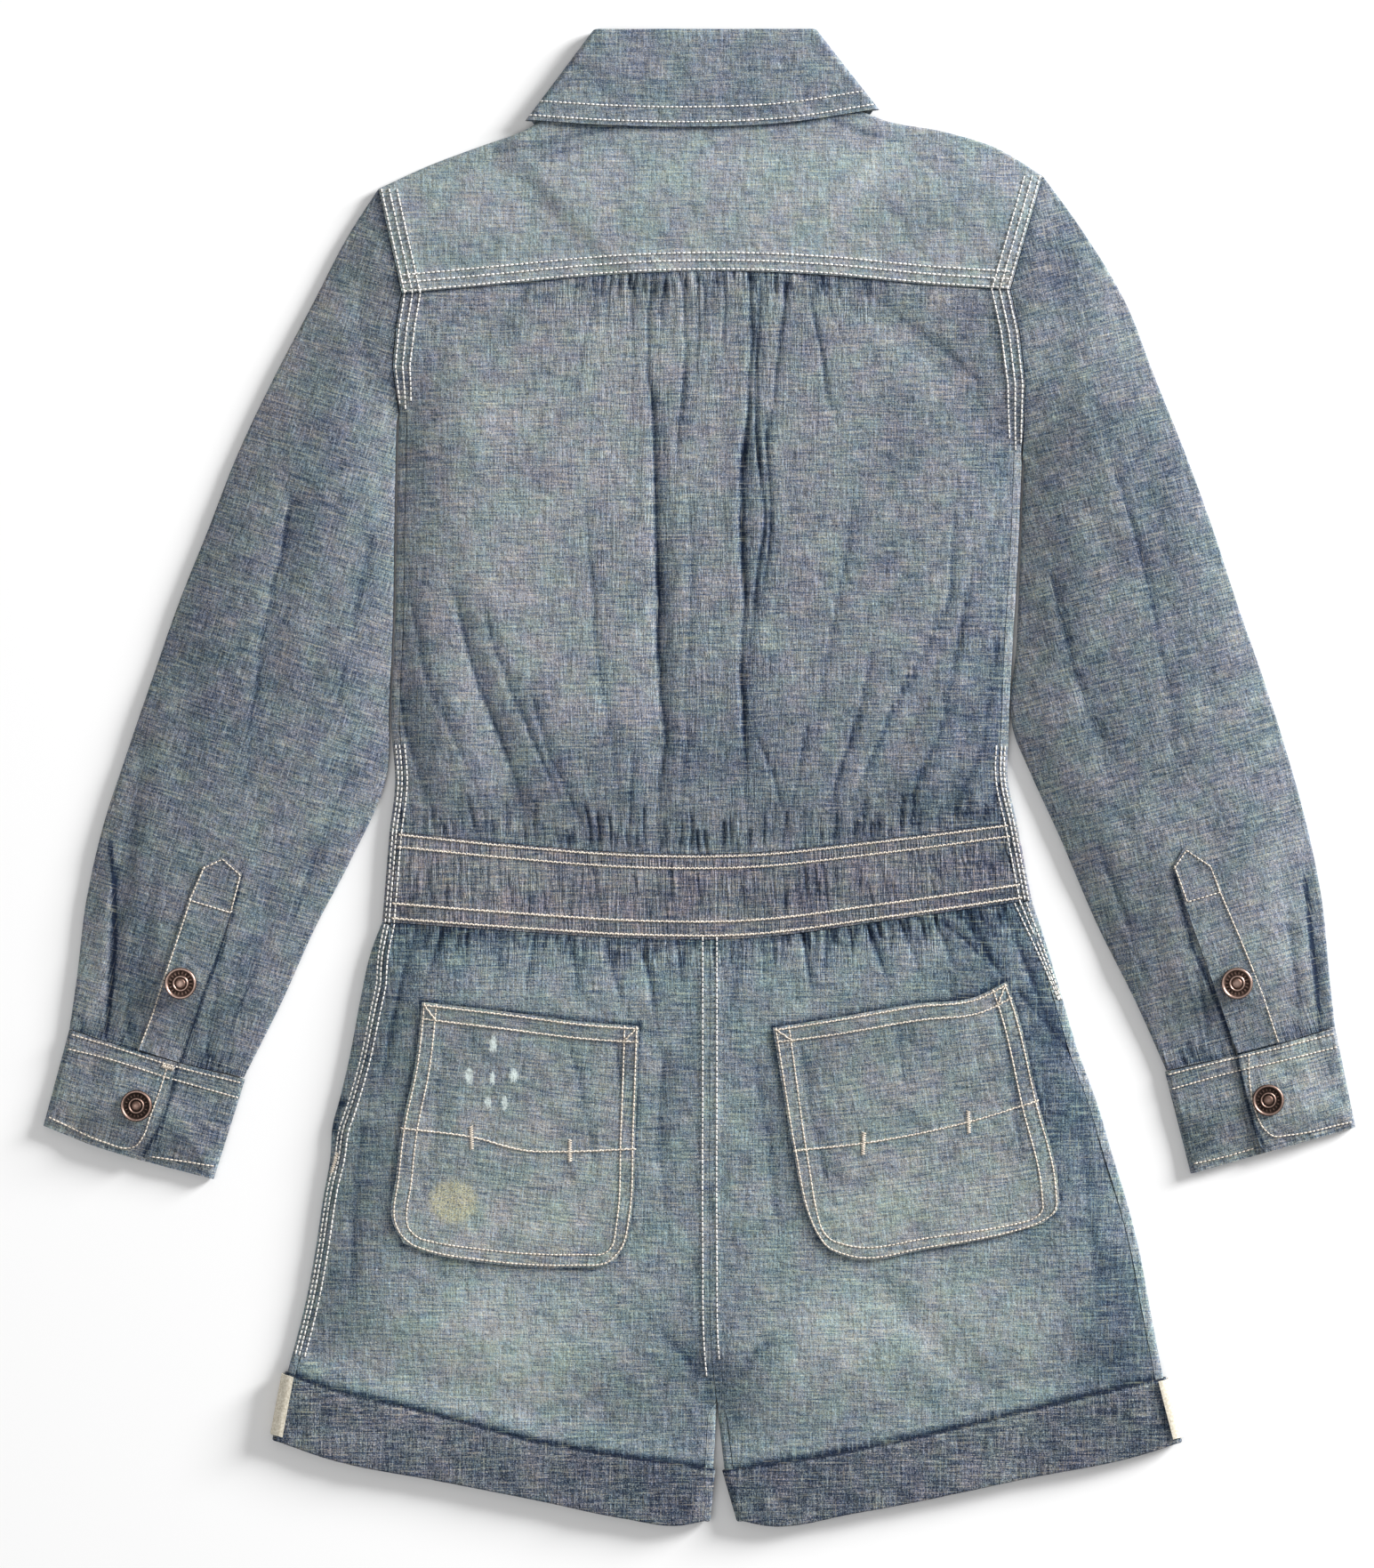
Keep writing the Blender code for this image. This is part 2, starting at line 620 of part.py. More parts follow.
def pleat_lift(across, down, length):
    """The pleats under the yoke and the gathers above the waistband."""
    lift = 0.0
    for share, lean, depth, reach in YOKE_PLEATS:
        away = (across - share - lean * down) / PLEAT_WIDTH
        lift -= depth * math.exp(-away * away) * smooth(1 - down * length / reach)
    middle = smooth(across / 0.25) * smooth((1 - across) / 0.25)
    lift += 0.9 * middle * smooth(1 - down * length / 60)
    wave = math.cos(2 * math.pi * WAIST_GATHERS * across)
    uneven = 0.75 + 0.35 * math.sin(37.0 * across + 1.3)
    lift += WAIST_GATHER_DEPTH * uneven * wave * smooth(1 - (1 - down) / WAIST_GATHER_LENGTH)
    return lift


def build_back_bodice():
    """At the armholes it meets the sleeves, and below them the side folds of the fronts."""
    seam_inset = SIDE_SEAM + SEAM_GAP

    def edge(side):
        line = joined((along(ARMHOLES[side][1:]), UNDERARM), (SIDES[side], 1.0))
        sign = 2 * side - 1
        return lambda down: line(down) - square_to(line, down, sign) * (seam_inset if down > OPEN_UNTIL else HALF_GAP)

    patch = inset_patch(YOKE_LINE, WAIST_TOP_LINE, edge(0), edge(1))
    columns = bodice_columns()
    length = YOKE_SEAM[3][1] - WAIST_TOP[3][1]

    def make(down, off):
        points = []
        for at_yoke, at_waist in columns:
            across = mix(at_yoke, at_waist, smooth((down - 0.25) / 0.5))
            spot = patch.at(across, down, 0.0, 0.0, HALF_GAP, HALF_GAP)
            points.append(back_point(spot, off, pleat_lift(across, down, length)))
        return points

    rows = (0.0, 0.05, 0.13, 0.235, UNDERARM) + SIDE_ROWS
    cloth("back_bodice", *two_skins(make, rows, CLOTH), "chambray")


def wrapped_panel(name, top, bottom, sides, wraps, rows, columns, colour="chambray"):
    """A front piece on the floor, which wraps round the garment's edge and ends at a seam on the back.

    sides holds its left and right edge. wraps holds a test for each, which says from a row's share whether the cloth
    wraps there.
    """

    def square(side, down):
        return square_to(sides[side], down, 2 * side - 1)

    def edge(side):
        return lambda down: sides[side](down) - square(side, down) * (FOLD_REACH if wraps[side](down) else HALF_GAP)

    patch = inset_patch(top, bottom, edge(0), edge(1))

    def side_points(side, down, off):
        if not wraps[side](down):
            return [None] * 4
        outward = square(side, down)
        line = sides[side](down)
        points = [back_point(line - outward * SIDE_SEAM, off)]
        points += [fold_point(line - outward * FOLD_REACH, outward, angle, off) for angle in FOLD_ANGLES[:-1]]
        return points

    def make(down, off):
        length = (bottom(0.5) - top(0.5)).length
        down = mix(HALF_GAP / length, 1 - HALF_GAP / length, down)
        points = side_points(0, down, off)
        points += [under_point(patch.plain(across, down), off) for across in columns]
        return points + side_points(1, down, off)[::-1]

    cloth(name, *two_skins(make, rows, CLOTH), colour)


def always(down):
    return True


def never(down):
    return False


def neck_under(across):
    """The neck seam on the front."""
    return NECK_LINE(across) - Vector((0, neck_dip(across)))


def centre_front(y):
    (x0, y0), (x1, y1) = CENTRE_FRONT
    return mix(x0, x1, (y - y0) / (y1 - y0))


def placket_corners(side):
    """Neck, shoulder and tip of one side of the front placket. side is -1 for the left and 1 for the right."""
    tip = CENTRE_FRONT[1][1]
    return (
        neck_under(0.5 + side * FRONT_PLACKET_NECK),
        Vector((centre_front(FRONT_PLACKET_SHOULDER) + side * FRONT_PLACKET_HALF, FRONT_PLACKET_SHOULDER)),
        Vector((centre_front(tip) + side * FRONT_PLACKET_TIP_HALF, tip)),
    )


PLACKET_EDGES = (along(placket_corners(-1)), along(placket_corners(1)))


def build_fronts():
    """Each front hangs from the yoke and ends at the placket and the waistband."""
    for side, name in enumerate(("left", "right")):
        is_left = side == 0
        depth = FOLD_REACH + YOKE_FRONT + SEAM_GAP
        top_points = []
        for share in spread(SHOULDER_COLUMNS):
            across = YOKE_NECK_START * share if is_left else mix(YOKE_NECK_END, 1.0, share)
            top_points.append(YOKE_PATCH.plain(across, 0.0) - over_shoulder(across) * depth)
        at_armhole, at_neck = (top_points[0], top_points[-1]) if is_left else (top_points[-1], top_points[0])
        _, corner, underarm = ARMHOLES[side]
        outer = joined(
            (along([at_armhole, corner]), FRONT_CORNER), (along([corner, underarm]), UNDERARM), (SIDES[side], 1.0)
        )
        neck_shares = [mix(0.11, 0.5 - FRONT_PLACKET_NECK, share) for share in spread(5)]
        neck = curve([at_neck] + [neck_under(share if is_left else 1 - share) for share in neck_shares])
        edge = PLACKET_EDGES[side]
        at_waist, waist_share = crossing(edge, WAIST_TOP_LINE)
        inner = joined((neck, FRONT_NECK_END), (part_of(edge, 0.0, at_waist), 1.0))
        bottom = part_of(WAIST_TOP_LINE, 0.0, waist_share) if is_left else part_of(WAIST_TOP_LINE, waist_share, 1.0)
        rows = (0.0, 0.03, 0.06, FRONT_CORNER, FRONT_NECK_END, 0.19, UNDERARM) + SIDE_ROWS
        sides = (outer, inner) if is_left else (inner, outer)
        wraps = (below_underarm, never) if is_left else (never, below_underarm)
        columns = spread(SHOULDER_COLUMNS)
        wrapped_panel(f"front_bodice_{name}", along(top_points), bottom, sides, wraps, rows, columns)


def below_underarm(down):
    return down > UNDERARM + 0.01


def crossing(line, level):
    """The shares at which a line that runs down crosses a line that runs across."""
    share, across = 0.5, 0.5
    for _ in range(12):
        across = share_where(level, 0, line(share).x)
        share = share_where(line, 1, level(across).y)
    return share, across


def build_front_placket():
    """A strip down the whole front. Its hollow outer side takes the snaps."""
    left, right = PLACKET_EDGES
    top = along([neck_under(mix(0.5 - FRONT_PLACKET_NECK, 0.5 + FRONT_PLACKET_NECK, share)) for share in spread(4)])
    patch = Patch(top, along([left(1.0), right(1.0)]), left, right)
    columns = (0.0, 0.2, 0.5, 0.8, 1.0)
    shoulder = share_where(left, 1, FRONT_PLACKET_SHOULDER)
    rows = [shoulder * share for share in spread(9)] + [mix(shoulder, 1.0, share) for share in (0.35, 0.7, 1.0)]

    def make(down, off):
        points = []
        half = (right(down) - left(down)).length / 2
        for across in columns:
            spot = patch.at(across, down, HALF_GAP, HALF_GAP, HALF_GAP, SEAM_GAP)
            from_side = half * min(across, 1 - across) * 2
            hollow = FRONT_PLACKET_HOLLOW * min(from_side / (FRONT_PLACKET_HALF - FRONT_PLACKET_FLAT), 1.0)
            points.append(under_point(spot, off - hollow))
        return points

    cloth("front_placket", *two_skins(make, rows, CLOTH), "chambray")


# Waistband: elastic inside, drawn up in fine ribs on the back


BAND_SIDES = (along([WAIST_TOP[0], WAIST_BOTTOM[0]]), along([WAIST_TOP[-1], WAIST_BOTTOM[-1]]))


def build_waistband_back():
    inset = SIDE_SEAM + SEAM_GAP

    def edge(side):
        return lambda down: BAND_SIDES[side](down) - square_to(BAND_SIDES[side], down, 2 * side - 1) * inset

    patch = inset_patch(WAIST_TOP_LINE, WAIST_BOTTOM_LINE, edge(0), edge(1))

    def make(row, off):
        down, ribbed = row
        points = []
        for column in range(2 * BAND_RIBS + 1):
            across = column / (2 * BAND_RIBS)
            spot = patch.at(across, down, 0.0, 0.0, HALF_GAP, HALF_GAP)
            rib = ribbed * (column % 2) if off == 0.0 else 0.0
            points.append(back_point(spot, off, BAND_RIB_HEIGHT * rib))
        return points

    rows = ((0.0, 0.15), (0.18, 1.0), (0.82, 1.0), (1.0, 0.15))
    cloth("waistband_back", *two_skins(make, rows, CLOTH), "chambray")


def build_waistband_fronts():
    for side, name in enumerate(("left", "right")):
        edge = PLACKET_EDGES[side]
        above, above_across = crossing(edge, WAIST_TOP_LINE)
        below, below_across = crossing(edge, WAIST_BOTTOM_LINE)
        inner = part_of(edge, above, below)
        if name == "left":
            ends = (part_of(WAIST_TOP_LINE, 0.0, above_across), part_of(WAIST_BOTTOM_LINE, 0.0, below_across))
            sides, wraps = (BAND_SIDES[0], inner), (always, never)
        else:
            ends = (part_of(WAIST_TOP_LINE, above_across, 1.0), part_of(WAIST_BOTTOM_LINE, below_across, 1.0))
            sides, wraps = (inner, BAND_SIDES[1]), (never, always)
        wrapped_panel(f"waistband_front_{name}", *ends, sides, wraps, spread(2), spread(5))


# Shorts: two backs, two fronts, patch pockets and turned-up hems


def seat_lift(across, down):
    """The gathers under the waistband."""
    wave = math.cos(2 * math.pi * SEAT_GATHERS * across)
    uneven = 0.7 + 0.4 * math.sin(23.0 * across + 0.7)
    return SEAT_GATHER_DEPTH * uneven * wave * smooth(1 - down / SEAT_GATHER_LENGTH)


def turn_up_patch(is_left):
    """A turn-up, from its fold up to its visible edge."""
    fold, top = (TURN_FOLD_LEFT, TURN_TOP_LEFT) if is_left else (TURN_FOLD_RIGHT, TURN_TOP_RIGHT)
    return Patch(curve(fold), curve(top), along([fold[0], top[0]]), along([fold[-1], top[-1]]))


def patch_height(patch):
    return (patch.bottom(0.5) - patch.top(0.5)).length


def leg_frame(is_left):
    """The hem line, the outer edge and the inseam of a leg. The hem lies inside the turn-up, a little below its edge."""
    turn_up = turn_up_patch(is_left)
    tuck = 1 - TURN_TUCK / patch_height(turn_up)
    outside, inside = (0.0, 1.0) if is_left else (1.0, 0.0)
    points = SHORTS_SIDE_LEFT if is_left else SHORTS_SIDE_RIGHT
    side = curve((WAIST_BOTTOM_LINE(outside),) + points[1:-1] + (turn_up.plain(outside, 1.0),))
    outer = joined((side, INSEAM_ENDS), (along([side(1.0), turn_up.plain(outside, tuck)]), 1.0))
    crotch = INSEAM_LEFT[0] if is_left else INSEAM_RIGHT[0]
    edge = turn_up.plain(inside, 1.0)
    inseam = ((along([crotch, edge]), INSEAM_ENDS), (along([edge, turn_up.plain(inside, tuck)]), 1.0))
    return (lambda share: turn_up.plain(share, tuck)), outer, inseam


def inside_leg(down):
    return down > INSEAM_STARTS + 0.01


def build_shorts_backs():
    start = share_where(WAIST_BOTTOM_LINE, 0, CENTRE_BACK[0][0])
    inset = SIDE_SEAM + SEAM_GAP
    for name in ("left", "right"):
        is_left = name == "left"
        hem, outer, inseam = leg_frame(is_left)
        crotch = INSEAM_LEFT[0] if is_left else INSEAM_RIGHT[0]
        seam = curve((WAIST_BOTTOM_LINE(start),) + CENTRE_BACK[1:-1] + (crotch,))
        inner = joined((seam, INSEAM_STARTS), *inseam)

        def moved_in(line, side, is_inner, is_left=is_left):
            def at(down):
                distance = HALF_GAP if is_inner and down < INSEAM_STARTS - 0.01 else inset
                return line(down) - square_to(line, down, side) * distance

            return at

        if is_left:
            top = part_of(WAIST_BOTTOM_LINE, 0.0, start)
            patch = inset_patch(top, hem, moved_in(outer, -1, False), moved_in(inner, 1, True))
        else:
            top = part_of(WAIST_BOTTOM_LINE, start, 1.0)
            patch = inset_patch(top, hem, moved_in(inner, -1, True), moved_in(outer, 1, False))

        def make(down, off, patch=patch):
            points = []
            for across in spread(2 * SEAT_GATHERS):
                spot = patch.at(across, down, 0.0, 0.0, HALF_GAP, HALF_GAP)
                points.append(back_point(spot, off, seat_lift(across, down)))
            return points

        cloth(f"shorts_back_{name}", *two_skins(make, LEG_ROWS, CLOTH), "chambray")


def build_shorts_fronts():
    for side, name in enumerate(("left", "right")):
        is_left = side == 0
        hem, outer, inseam = leg_frame(is_left)
        start, waist_share = crossing(PLACKET_EDGES[side], WAIST_BOTTOM_LINE)
        _, shoulder, tip = placket_corners(2 * side - 1)
        crotch = INSEAM_LEFT[0] if is_left else INSEAM_RIGHT[0]
        inner = joined(
            (along([PLACKET_EDGES[side](start), shoulder]), PLACKET_NARROWS),
            (along([shoulder, tip]), PLACKET_ENDS),
            (along([tip, crotch]), INSEAM_STARTS),
            *inseam,
        )
        if is_left:
            top = part_of(WAIST_BOTTOM_LINE, 0.0, waist_share)
            sides, wraps = (outer, inner), (always, inside_leg)
        else:
            top = part_of(WAIST_BOTTOM_LINE, waist_share, 1.0)
            sides, wraps = (inner, outer), (inside_leg, always)
        wrapped_panel(f"shorts_front_{name}", top, hem, sides, wraps, LEG_ROWS, spread(6))


# Sleeves, turn-ups and collar: cloth that runs all round

def loop_stations(top_count, under_count):
    """Places round a flattened tube, from the left fold over the back, and back along the floor."""
    stations = [("top", share) for share in spread(top_count)]
    stations += [("right", angle) for angle in FOLD_ANGLES[1:-1]]
    stations += [("under", share) for share in reversed(spread(under_count))]
    stations += [("left", angle) for angle in reversed(FOLD_ANGLES[1:-1])]
    return stations


def loop_point(patch, down, station, off, inset, dip=None):
    """A point round a flattened tube. inset is the distance from the outline to where the side folds start."""
    kind, value = station
    left, right = inset
    if kind in ("top", "under"):
        spot = patch.at(value, down, left, right)
        if kind == "top":
            return back_point(spot, off)
        if dip:
            spot = spot - Vector((0, dip(value)))
        return under_point(spot, off)
    spot = patch.at(0.0 if kind == "left" else 1.0, down, left, right)
    outward = patch.sideways(down) * (-1 if kind == "left" else 1)
    return fold_point(spot, outward, value, off)


def build_sleeves():
    """Each sleeve is one flattened tube, from the armhole to the cuff. Beside the lower armhole it is still open."""
    stations = loop_stations(10, 5)
    rows = (0.0, 0.05, SLEEVE_OPEN, 0.14, 0.24, 0.36, 0.48, 0.60, 0.71, 0.80, 0.88, 0.95, 1.0)
    for side, name in enumerate(("left", "right")):
        sign = 2 * side - 1
        shoulder, corner, underarm = [Vector((x + sign * SEAM_GAP, y)) for x, y in ARMHOLES[side]]
        outer_line = curve(SLEEVE_OUTER_LEFT if side == 0 else SLEEVE_OUTER_RIGHT)
        below = curve(SLEEVE_INNER_LEFT if side == 0 else SLEEVE_INNER_RIGHT)
        inner_line = joined((along([corner, underarm]), SLEEVE_OPEN), (below, 1.0))
        up_armhole = (shoulder - corner).normalized()

        def outer_square(down, line=outer_line, sign=sign, up_armhole=up_armhole):
            return up_armhole.lerp(square_to(line, down, sign), smooth(down / 0.06)).normalized()

        def outer(down, line=outer_line, square=outer_square):
            return line(down) - square(down) * FOLD_REACH

        def inner_square(down, line=inner_line, sign=sign):
            return square_to(line, down, -sign)

        def inner(down, line=inner_line, square=inner_square):
            return line(down) - square(down) * (0.0 if down < SLEEVE_OPEN + 0.01 else FOLD_REACH + SLEEVE_GAP)

        cuff_seam = (CUFF_TOP_LEFT, CUFF_TOP_RIGHT)[side]
        if side == 0:
            edges, squares, top = (outer, inner), (outer_square, inner_square), along([shoulder, corner])
        else:
            edges, squares, top = (inner, outer), (inner_square, outer_square), along([corner, shoulder])
        bottom = curve((edges[0](1.0),) + cuff_seam[1:-1] + (edges[1](1.0),))
        patch = Patch(top, bottom, *edges)
        inner_kind = "right" if side == 0 else "left"

        def make(down, off, patch=patch, squares=squares, inner_kind=inner_kind):
            place_down = down * (1 - HALF_GAP / patch_height(patch))
            points = []
            for kind, value in stations:
                if kind in ("top", "under"):
                    spot = patch.plain(value, place_down)
                    points.append(back_point(spot, off) if kind == "top" else under_point(spot, off))
                elif kind == inner_kind and down < SLEEVE_OPEN + 0.01:
                    points.append(None)
                else:
                    end = 0 if kind == "left" else 1
                    points.append(fold_point(patch.plain(end, place_down), squares[end](place_down), value, off))
            return points

        cloth(f"sleeve_{name}", *two_skins(make, rows, CLOTH), "chambray", closed=True)


def turned_band(name, patch, stations, inset, tuck, shares, colour, closed=True, dip=None, finish_row=None):
    """A band folded back over itself. It runs from under its own outer layer, round a fold and out to its edge.

    The patch's top edge is the fold. tuck is the length of the inner layer, measured from the fold. shares are the rows
    of the outer layer, and of the inner layer where it reaches them.
    """
    height = (patch.bottom(0.5) - patch.top(0.5)).length
    roll = CLOTH + LYING_GAP / 2
    middle = LYING_GAP / 2
    outer_rows = []
    inner_rows = []
    for share in shares:
        if share * height < tuck - 4:
            outer_rows.insert(0, (share * height, -CLOTH))
            inner_rows.insert(0, (share * height, 0.0))
    outer_rows.insert(0, (tuck, -CLOTH))
    inner_rows.insert(0, (tuck, 0.0))
    for angle in (-90, -30, 30, 90):
        turn = math.radians(angle)
        outer_rows.append((roll - roll * math.cos(turn), middle + roll * math.sin(turn)))
        inner_rows.append((roll - middle * math.cos(turn), middle + middle * math.sin(turn)))
    for share in shares:
        outer_rows.append((share * height, LAYER))
        inner_rows.append((share * height, LYING_GAP))

    def net(rows):
        points = []
        for distance, off in rows:
            down = distance / height
            round_it = finish_row(stations, down, off) if finish_row else stations
            points.append([loop_point(patch, down, station, off, inset, dip) for station in round_it])
        return points

    cloth(name, net(outer_rows), net(inner_rows), colour, closed=closed)


def build_turn_ups():
    """Each leg ends in a turn-up that lies outside the leg."""
    for name, is_left in (("left", True), ("right", False)):
        patch = turn_up_patch(is_left)
        tuck = patch_height(patch) - TURN_TUCK - HIDDEN_GAP
        inset = (FOLD_REACH, FOLD_REACH)
        stations = loop_stations(2 * TURN_COLUMNS, TURN_COLUMNS)
        turned_band(f"turn_up_{name}", patch, stations, inset, tuck, (0.5, 1.0), "dark chambray")


def build_hem_tapes():
    """A cream tape covers the side seam on each turn-up."""
    for name, is_left in (("left", True), ("right", False)):
        patch = turn_up_patch(is_left)
        height = (patch.bottom(0.5) - patch.top(0.5)).length
        start = 0.0 if is_left else 1.0
        inward = 0.022 if is_left else -0.022
        side = "left" if is_left else "right"
        stations = [("top", start + inward), ("top", start)]
        stations += [(side, angle) for angle in FOLD_ANGLES[1:-1]]

        def make(down, off, patch=patch, stations=stations):
            lift = LAYER + LYING_GAP + TAPE + off
            inset = (FOLD_REACH, FOLD_REACH)
            return [loop_point(patch, down, station, lift, inset) for station in stations]

        rows = [mix(3 / height, 1 - 1 / height, share) for share in spread(3)]
        cloth(f"hem_tape_{name}", *two_skins(make, rows, TAPE), "tape")


def collar_stations(top_count, half_count, reach):
    """Round the neck from one end at the centre front to the other. reach is the share between an end and a side."""
    right = [("under", mix(1.0, 1.0 - reach, share)) for share in spread(half_count)]
    left = [("under", mix(reach, 0.0, share)) for share in spread(half_count)]
    stations = left + [("left", angle) for angle in reversed(FOLD_ANGLES[1:-1])]
    stations += [("top", share) for share in spread(top_count)]
    stations += [("right", angle) for angle in FOLD_ANGLES[1:-1]]
    return stations + right


def build_collar():
    """The collar rolls over its stand and lies on the yoke. Its two points lie on the front."""
    half = 5
    edge = curve(LEAF_EDGE)
    patch = Patch(along([ROLL_LEFT, ROLL_RIGHT]), edge, along([ROLL_LEFT, edge(0)]), along([ROLL_RIGHT, edge(1)]))

    def open_front(stations, down, off):
        """The ends slant away from the centre front, to the collar's points."""
        spread_here = mix(0.012, LEAF_POINT_SPREAD, down) if off > 0 else 0.012
        return collar_stations(9, half, 0.5 - spread_here)

    inset = (FOLD_REACH + LAYER, FOLD_REACH + LAYER)
    tuck = CLOTH + LYING_GAP / 2 + 3
    shares = (0.25, 0.5, 0.75, 1.0)
    turned_band("collar", patch, [], inset, tuck, shares, "chambray", False, neck_dip, open_front)


def build_collar_stand():
    """The stand joins the collar to the neck. It is hidden between them."""
    roll = CLOTH + LYING_GAP / 2 + 3 + SEAM_GAP
    drop = roll / (ROLL_LEFT[1] - LEAF_EDGE[0][1])
    left_top = (mix(ROLL_LEFT[0], LEAF_EDGE[0][0], drop) + LAYER, ROLL_LEFT[1] - roll)
    right_top = (mix(ROLL_RIGHT[0], LEAF_EDGE[-1][0], drop) - LAYER, ROLL_RIGHT[1] - roll)
    left = along([left_top, BACK_NECK[0]])
    right = along([right_top, BACK_NECK[-1]])
    patch = Patch(along([left_top, right_top]), curve(BACK_NECK), left, right)
    stations = collar_stations(9, 5, 0.488)
    height = (patch.bottom(0.5) - patch.top(0.5)).length

    def make(down, off):
        down = mix(0.0, 1 - HALF_GAP / height, down)
        inset = (FOLD_REACH, FOLD_REACH)
        return [loop_point(patch, down, station, off, inset, neck_dip) for station in stations]

    cloth("collar_stand", *two_skins(make, spread(3), CLOTH), "chambray")


def build_cuffs():
    """Each cuff is a doubled strip whose upper end overlaps the lower and is snapped to it."""
    for name, is_left in (("left", True), ("right", False)):
        if is_left:
            top, bottom, end = CUFF_TOP_LEFT, CUFF_BOTTOM_LEFT, 0.625
        else:
            top, bottom, end = CUFF_TOP_RIGHT, CUFF_BOTTOM_RIGHT, 0.415
        sides = (along([top[0], bottom[0]]), along([top[-1], bottom[-1]]))
        patch = Patch(curve(top), curve(bottom), *sides)
        height = (bottom[0][1] - top[0][1]) ** 2 + (bottom[0][0] - top[0][0]) ** 2
        height = math.sqrt(height)
        near, far = ("left", "right") if is_left else ("right", "left")
        start = end - CUFF_OVERLAP if is_left else end + CUFF_OVERLAP
        near_side, far_side = (0.0, 1.0) if is_left else (1.0, 0.0)
        folds = FOLD_ANGLES[1:-1]
        stations = [("low", mix(start, far_side, share)) for share in spread(5)]
        stations += [(far, angle) for angle in folds]
        stations += [("under", mix(far_side, near_side, share)) for share in spread(6)]
        stations += [(near, angle) for angle in reversed(folds)]
        stations += [("over", mix(near_side, end, share)) for share in spread(8)]

        def make(down, off, patch=patch, stations=stations, start=start, near_side=near_side, height=height):
            down_here = mix(HALF_GAP / height, 1.0, down)
            round_corner = 0.06 * max(down - 0.8, 0.0) / 0.2
            points = []
            for kind, value in stations:
                if kind in ("low", "over"):
                    share = value
                    if kind == "over":
                        share = mix(near_side, value, 1 - round_corner)
                    spot = patch.at(share, down_here, FOLD_REACH, FOLD_REACH)
                    lift = CUFF_PROUD
                    if kind == "over":
                        before = abs(start - near_side) - abs(share - near_side)
                        lift += (CUFF_CLOTH + SEAM_GAP) * smooth(1 - (before - 0.02) / 0.22)
                    points.append(back_point(spot, off, lift))
                else:
                    inset = (FOLD_REACH, FOLD_REACH)
                    points.append(loop_point(patch, down_here, (kind, value), off, inset))
            return points

        cloth(f"cuff_{name}", *two_skins(make, spread(4), CUFF_CLOTH), "faded chambray")


# What lies on a panel


class Ground:
    """The upper side of a finished piece, for what lies on it."""

    def __init__(self, *names):
        vertices = []
        faces = []
        for name in names:
            mesh = bpy.data.objects[name].data
            start = len(vertices)
            vertices += [vert.co for vert in mesh.vertices]
            faces += [[start + index for index in face.vertices] for face in mesh.polygons]
        self.tree = BVHTree.FromPolygons(vertices, faces)

    def height(self, x, y):
        start = Vector((x * MILLIMETRE, y * MILLIMETRE, 0.1))
        hit = self.tree.ray_cast(start, Vector((0, 0, -1)))[0]
        return hit.z / MILLIMETRE

    def over(self, spot, off):
        return (spot[0], spot[1], self.height(*spot) + off)


def build_pockets():
    """Patch pockets, sewn on round three sides."""
    for name, edges in (("left", POCKET_LEFT), ("right", POCKET_RIGHT)):
        ground = Ground(f"shorts_back_{name}")
        patch = Patch(curve(edges["top"]), curve(edges["bottom"]), curve(edges["left"]), curve(edges["right"]))

        def make(down, off, patch=patch, ground=ground):
            return [ground.over(patch.at(across, down), LAYER + off) for across in spread(8)]

        cloth(f"pocket_{name}", *two_skins(make, spread(8), CLOTH), "faded chambray")


def build_sleeve_plackets():
    """A pointed strip covers the slit above each cuff."""
    for name, tip, sides in (
        ("left", PLACKET_LEFT, PLACKET_LEFT_SIDES),
        ("right", PLACKET_RIGHT, PLACKET_RIGHT_SIDES),
    ):
        ground = Ground(f"sleeve_{name}")
        left, right = along(sides[0]), along(sides[1])
        patch = Patch(along(tip), along([left(1.0), right(1.0)]), left, right)

        def make(down, off, patch=patch, ground=ground):
            return [ground.over(patch.at(across, down), LAYER + off) for across in spread(4)]

        cloth(f"sleeve_placket_{name}", *two_skins(make, spread(10), CLOTH), "chambray")


def turned(name, x, y, z, section, radius, flip=1):
    """A round piece from its half section, flip turns it upside down."""
    shell = bmesh.new()
    rings = []
    for share, rise in section:
        if share == 0.0:
            rings.append([shell.verts.new((x * MILLIMETRE, y * MILLIMETRE, (z + flip * rise) * MILLIMETRE))])
            continue
        ring = []
        for side in range(SNAP_SIDES):
            angle = 2 * math.pi * side / SNAP_SIDES
            px = x + radius * share * math.cos(angle)
            py = y + radius * share * math.sin(angle)
            ring.append(shell.verts.new((px * MILLIMETRE, py * MILLIMETRE, (z + flip * rise) * MILLIMETRE)))
        rings.append(ring)
    for upper, lower in zip(rings, rings[1:]):
        for side in range(SNAP_SIDES):
            after = (side + 1) % SNAP_SIDES
            if len(upper) == 1:
                shell.faces.new([upper[0], lower[side], lower[after]])
            elif len(lower) == 1:
                shell.faces.new([upper[side], lower[0], upper[after]])
            else:
                shell.faces.new([upper[side], lower[side], lower[after], upper[after]])
    place(name, shell, material(name, "copper", 0.42, 0.85))


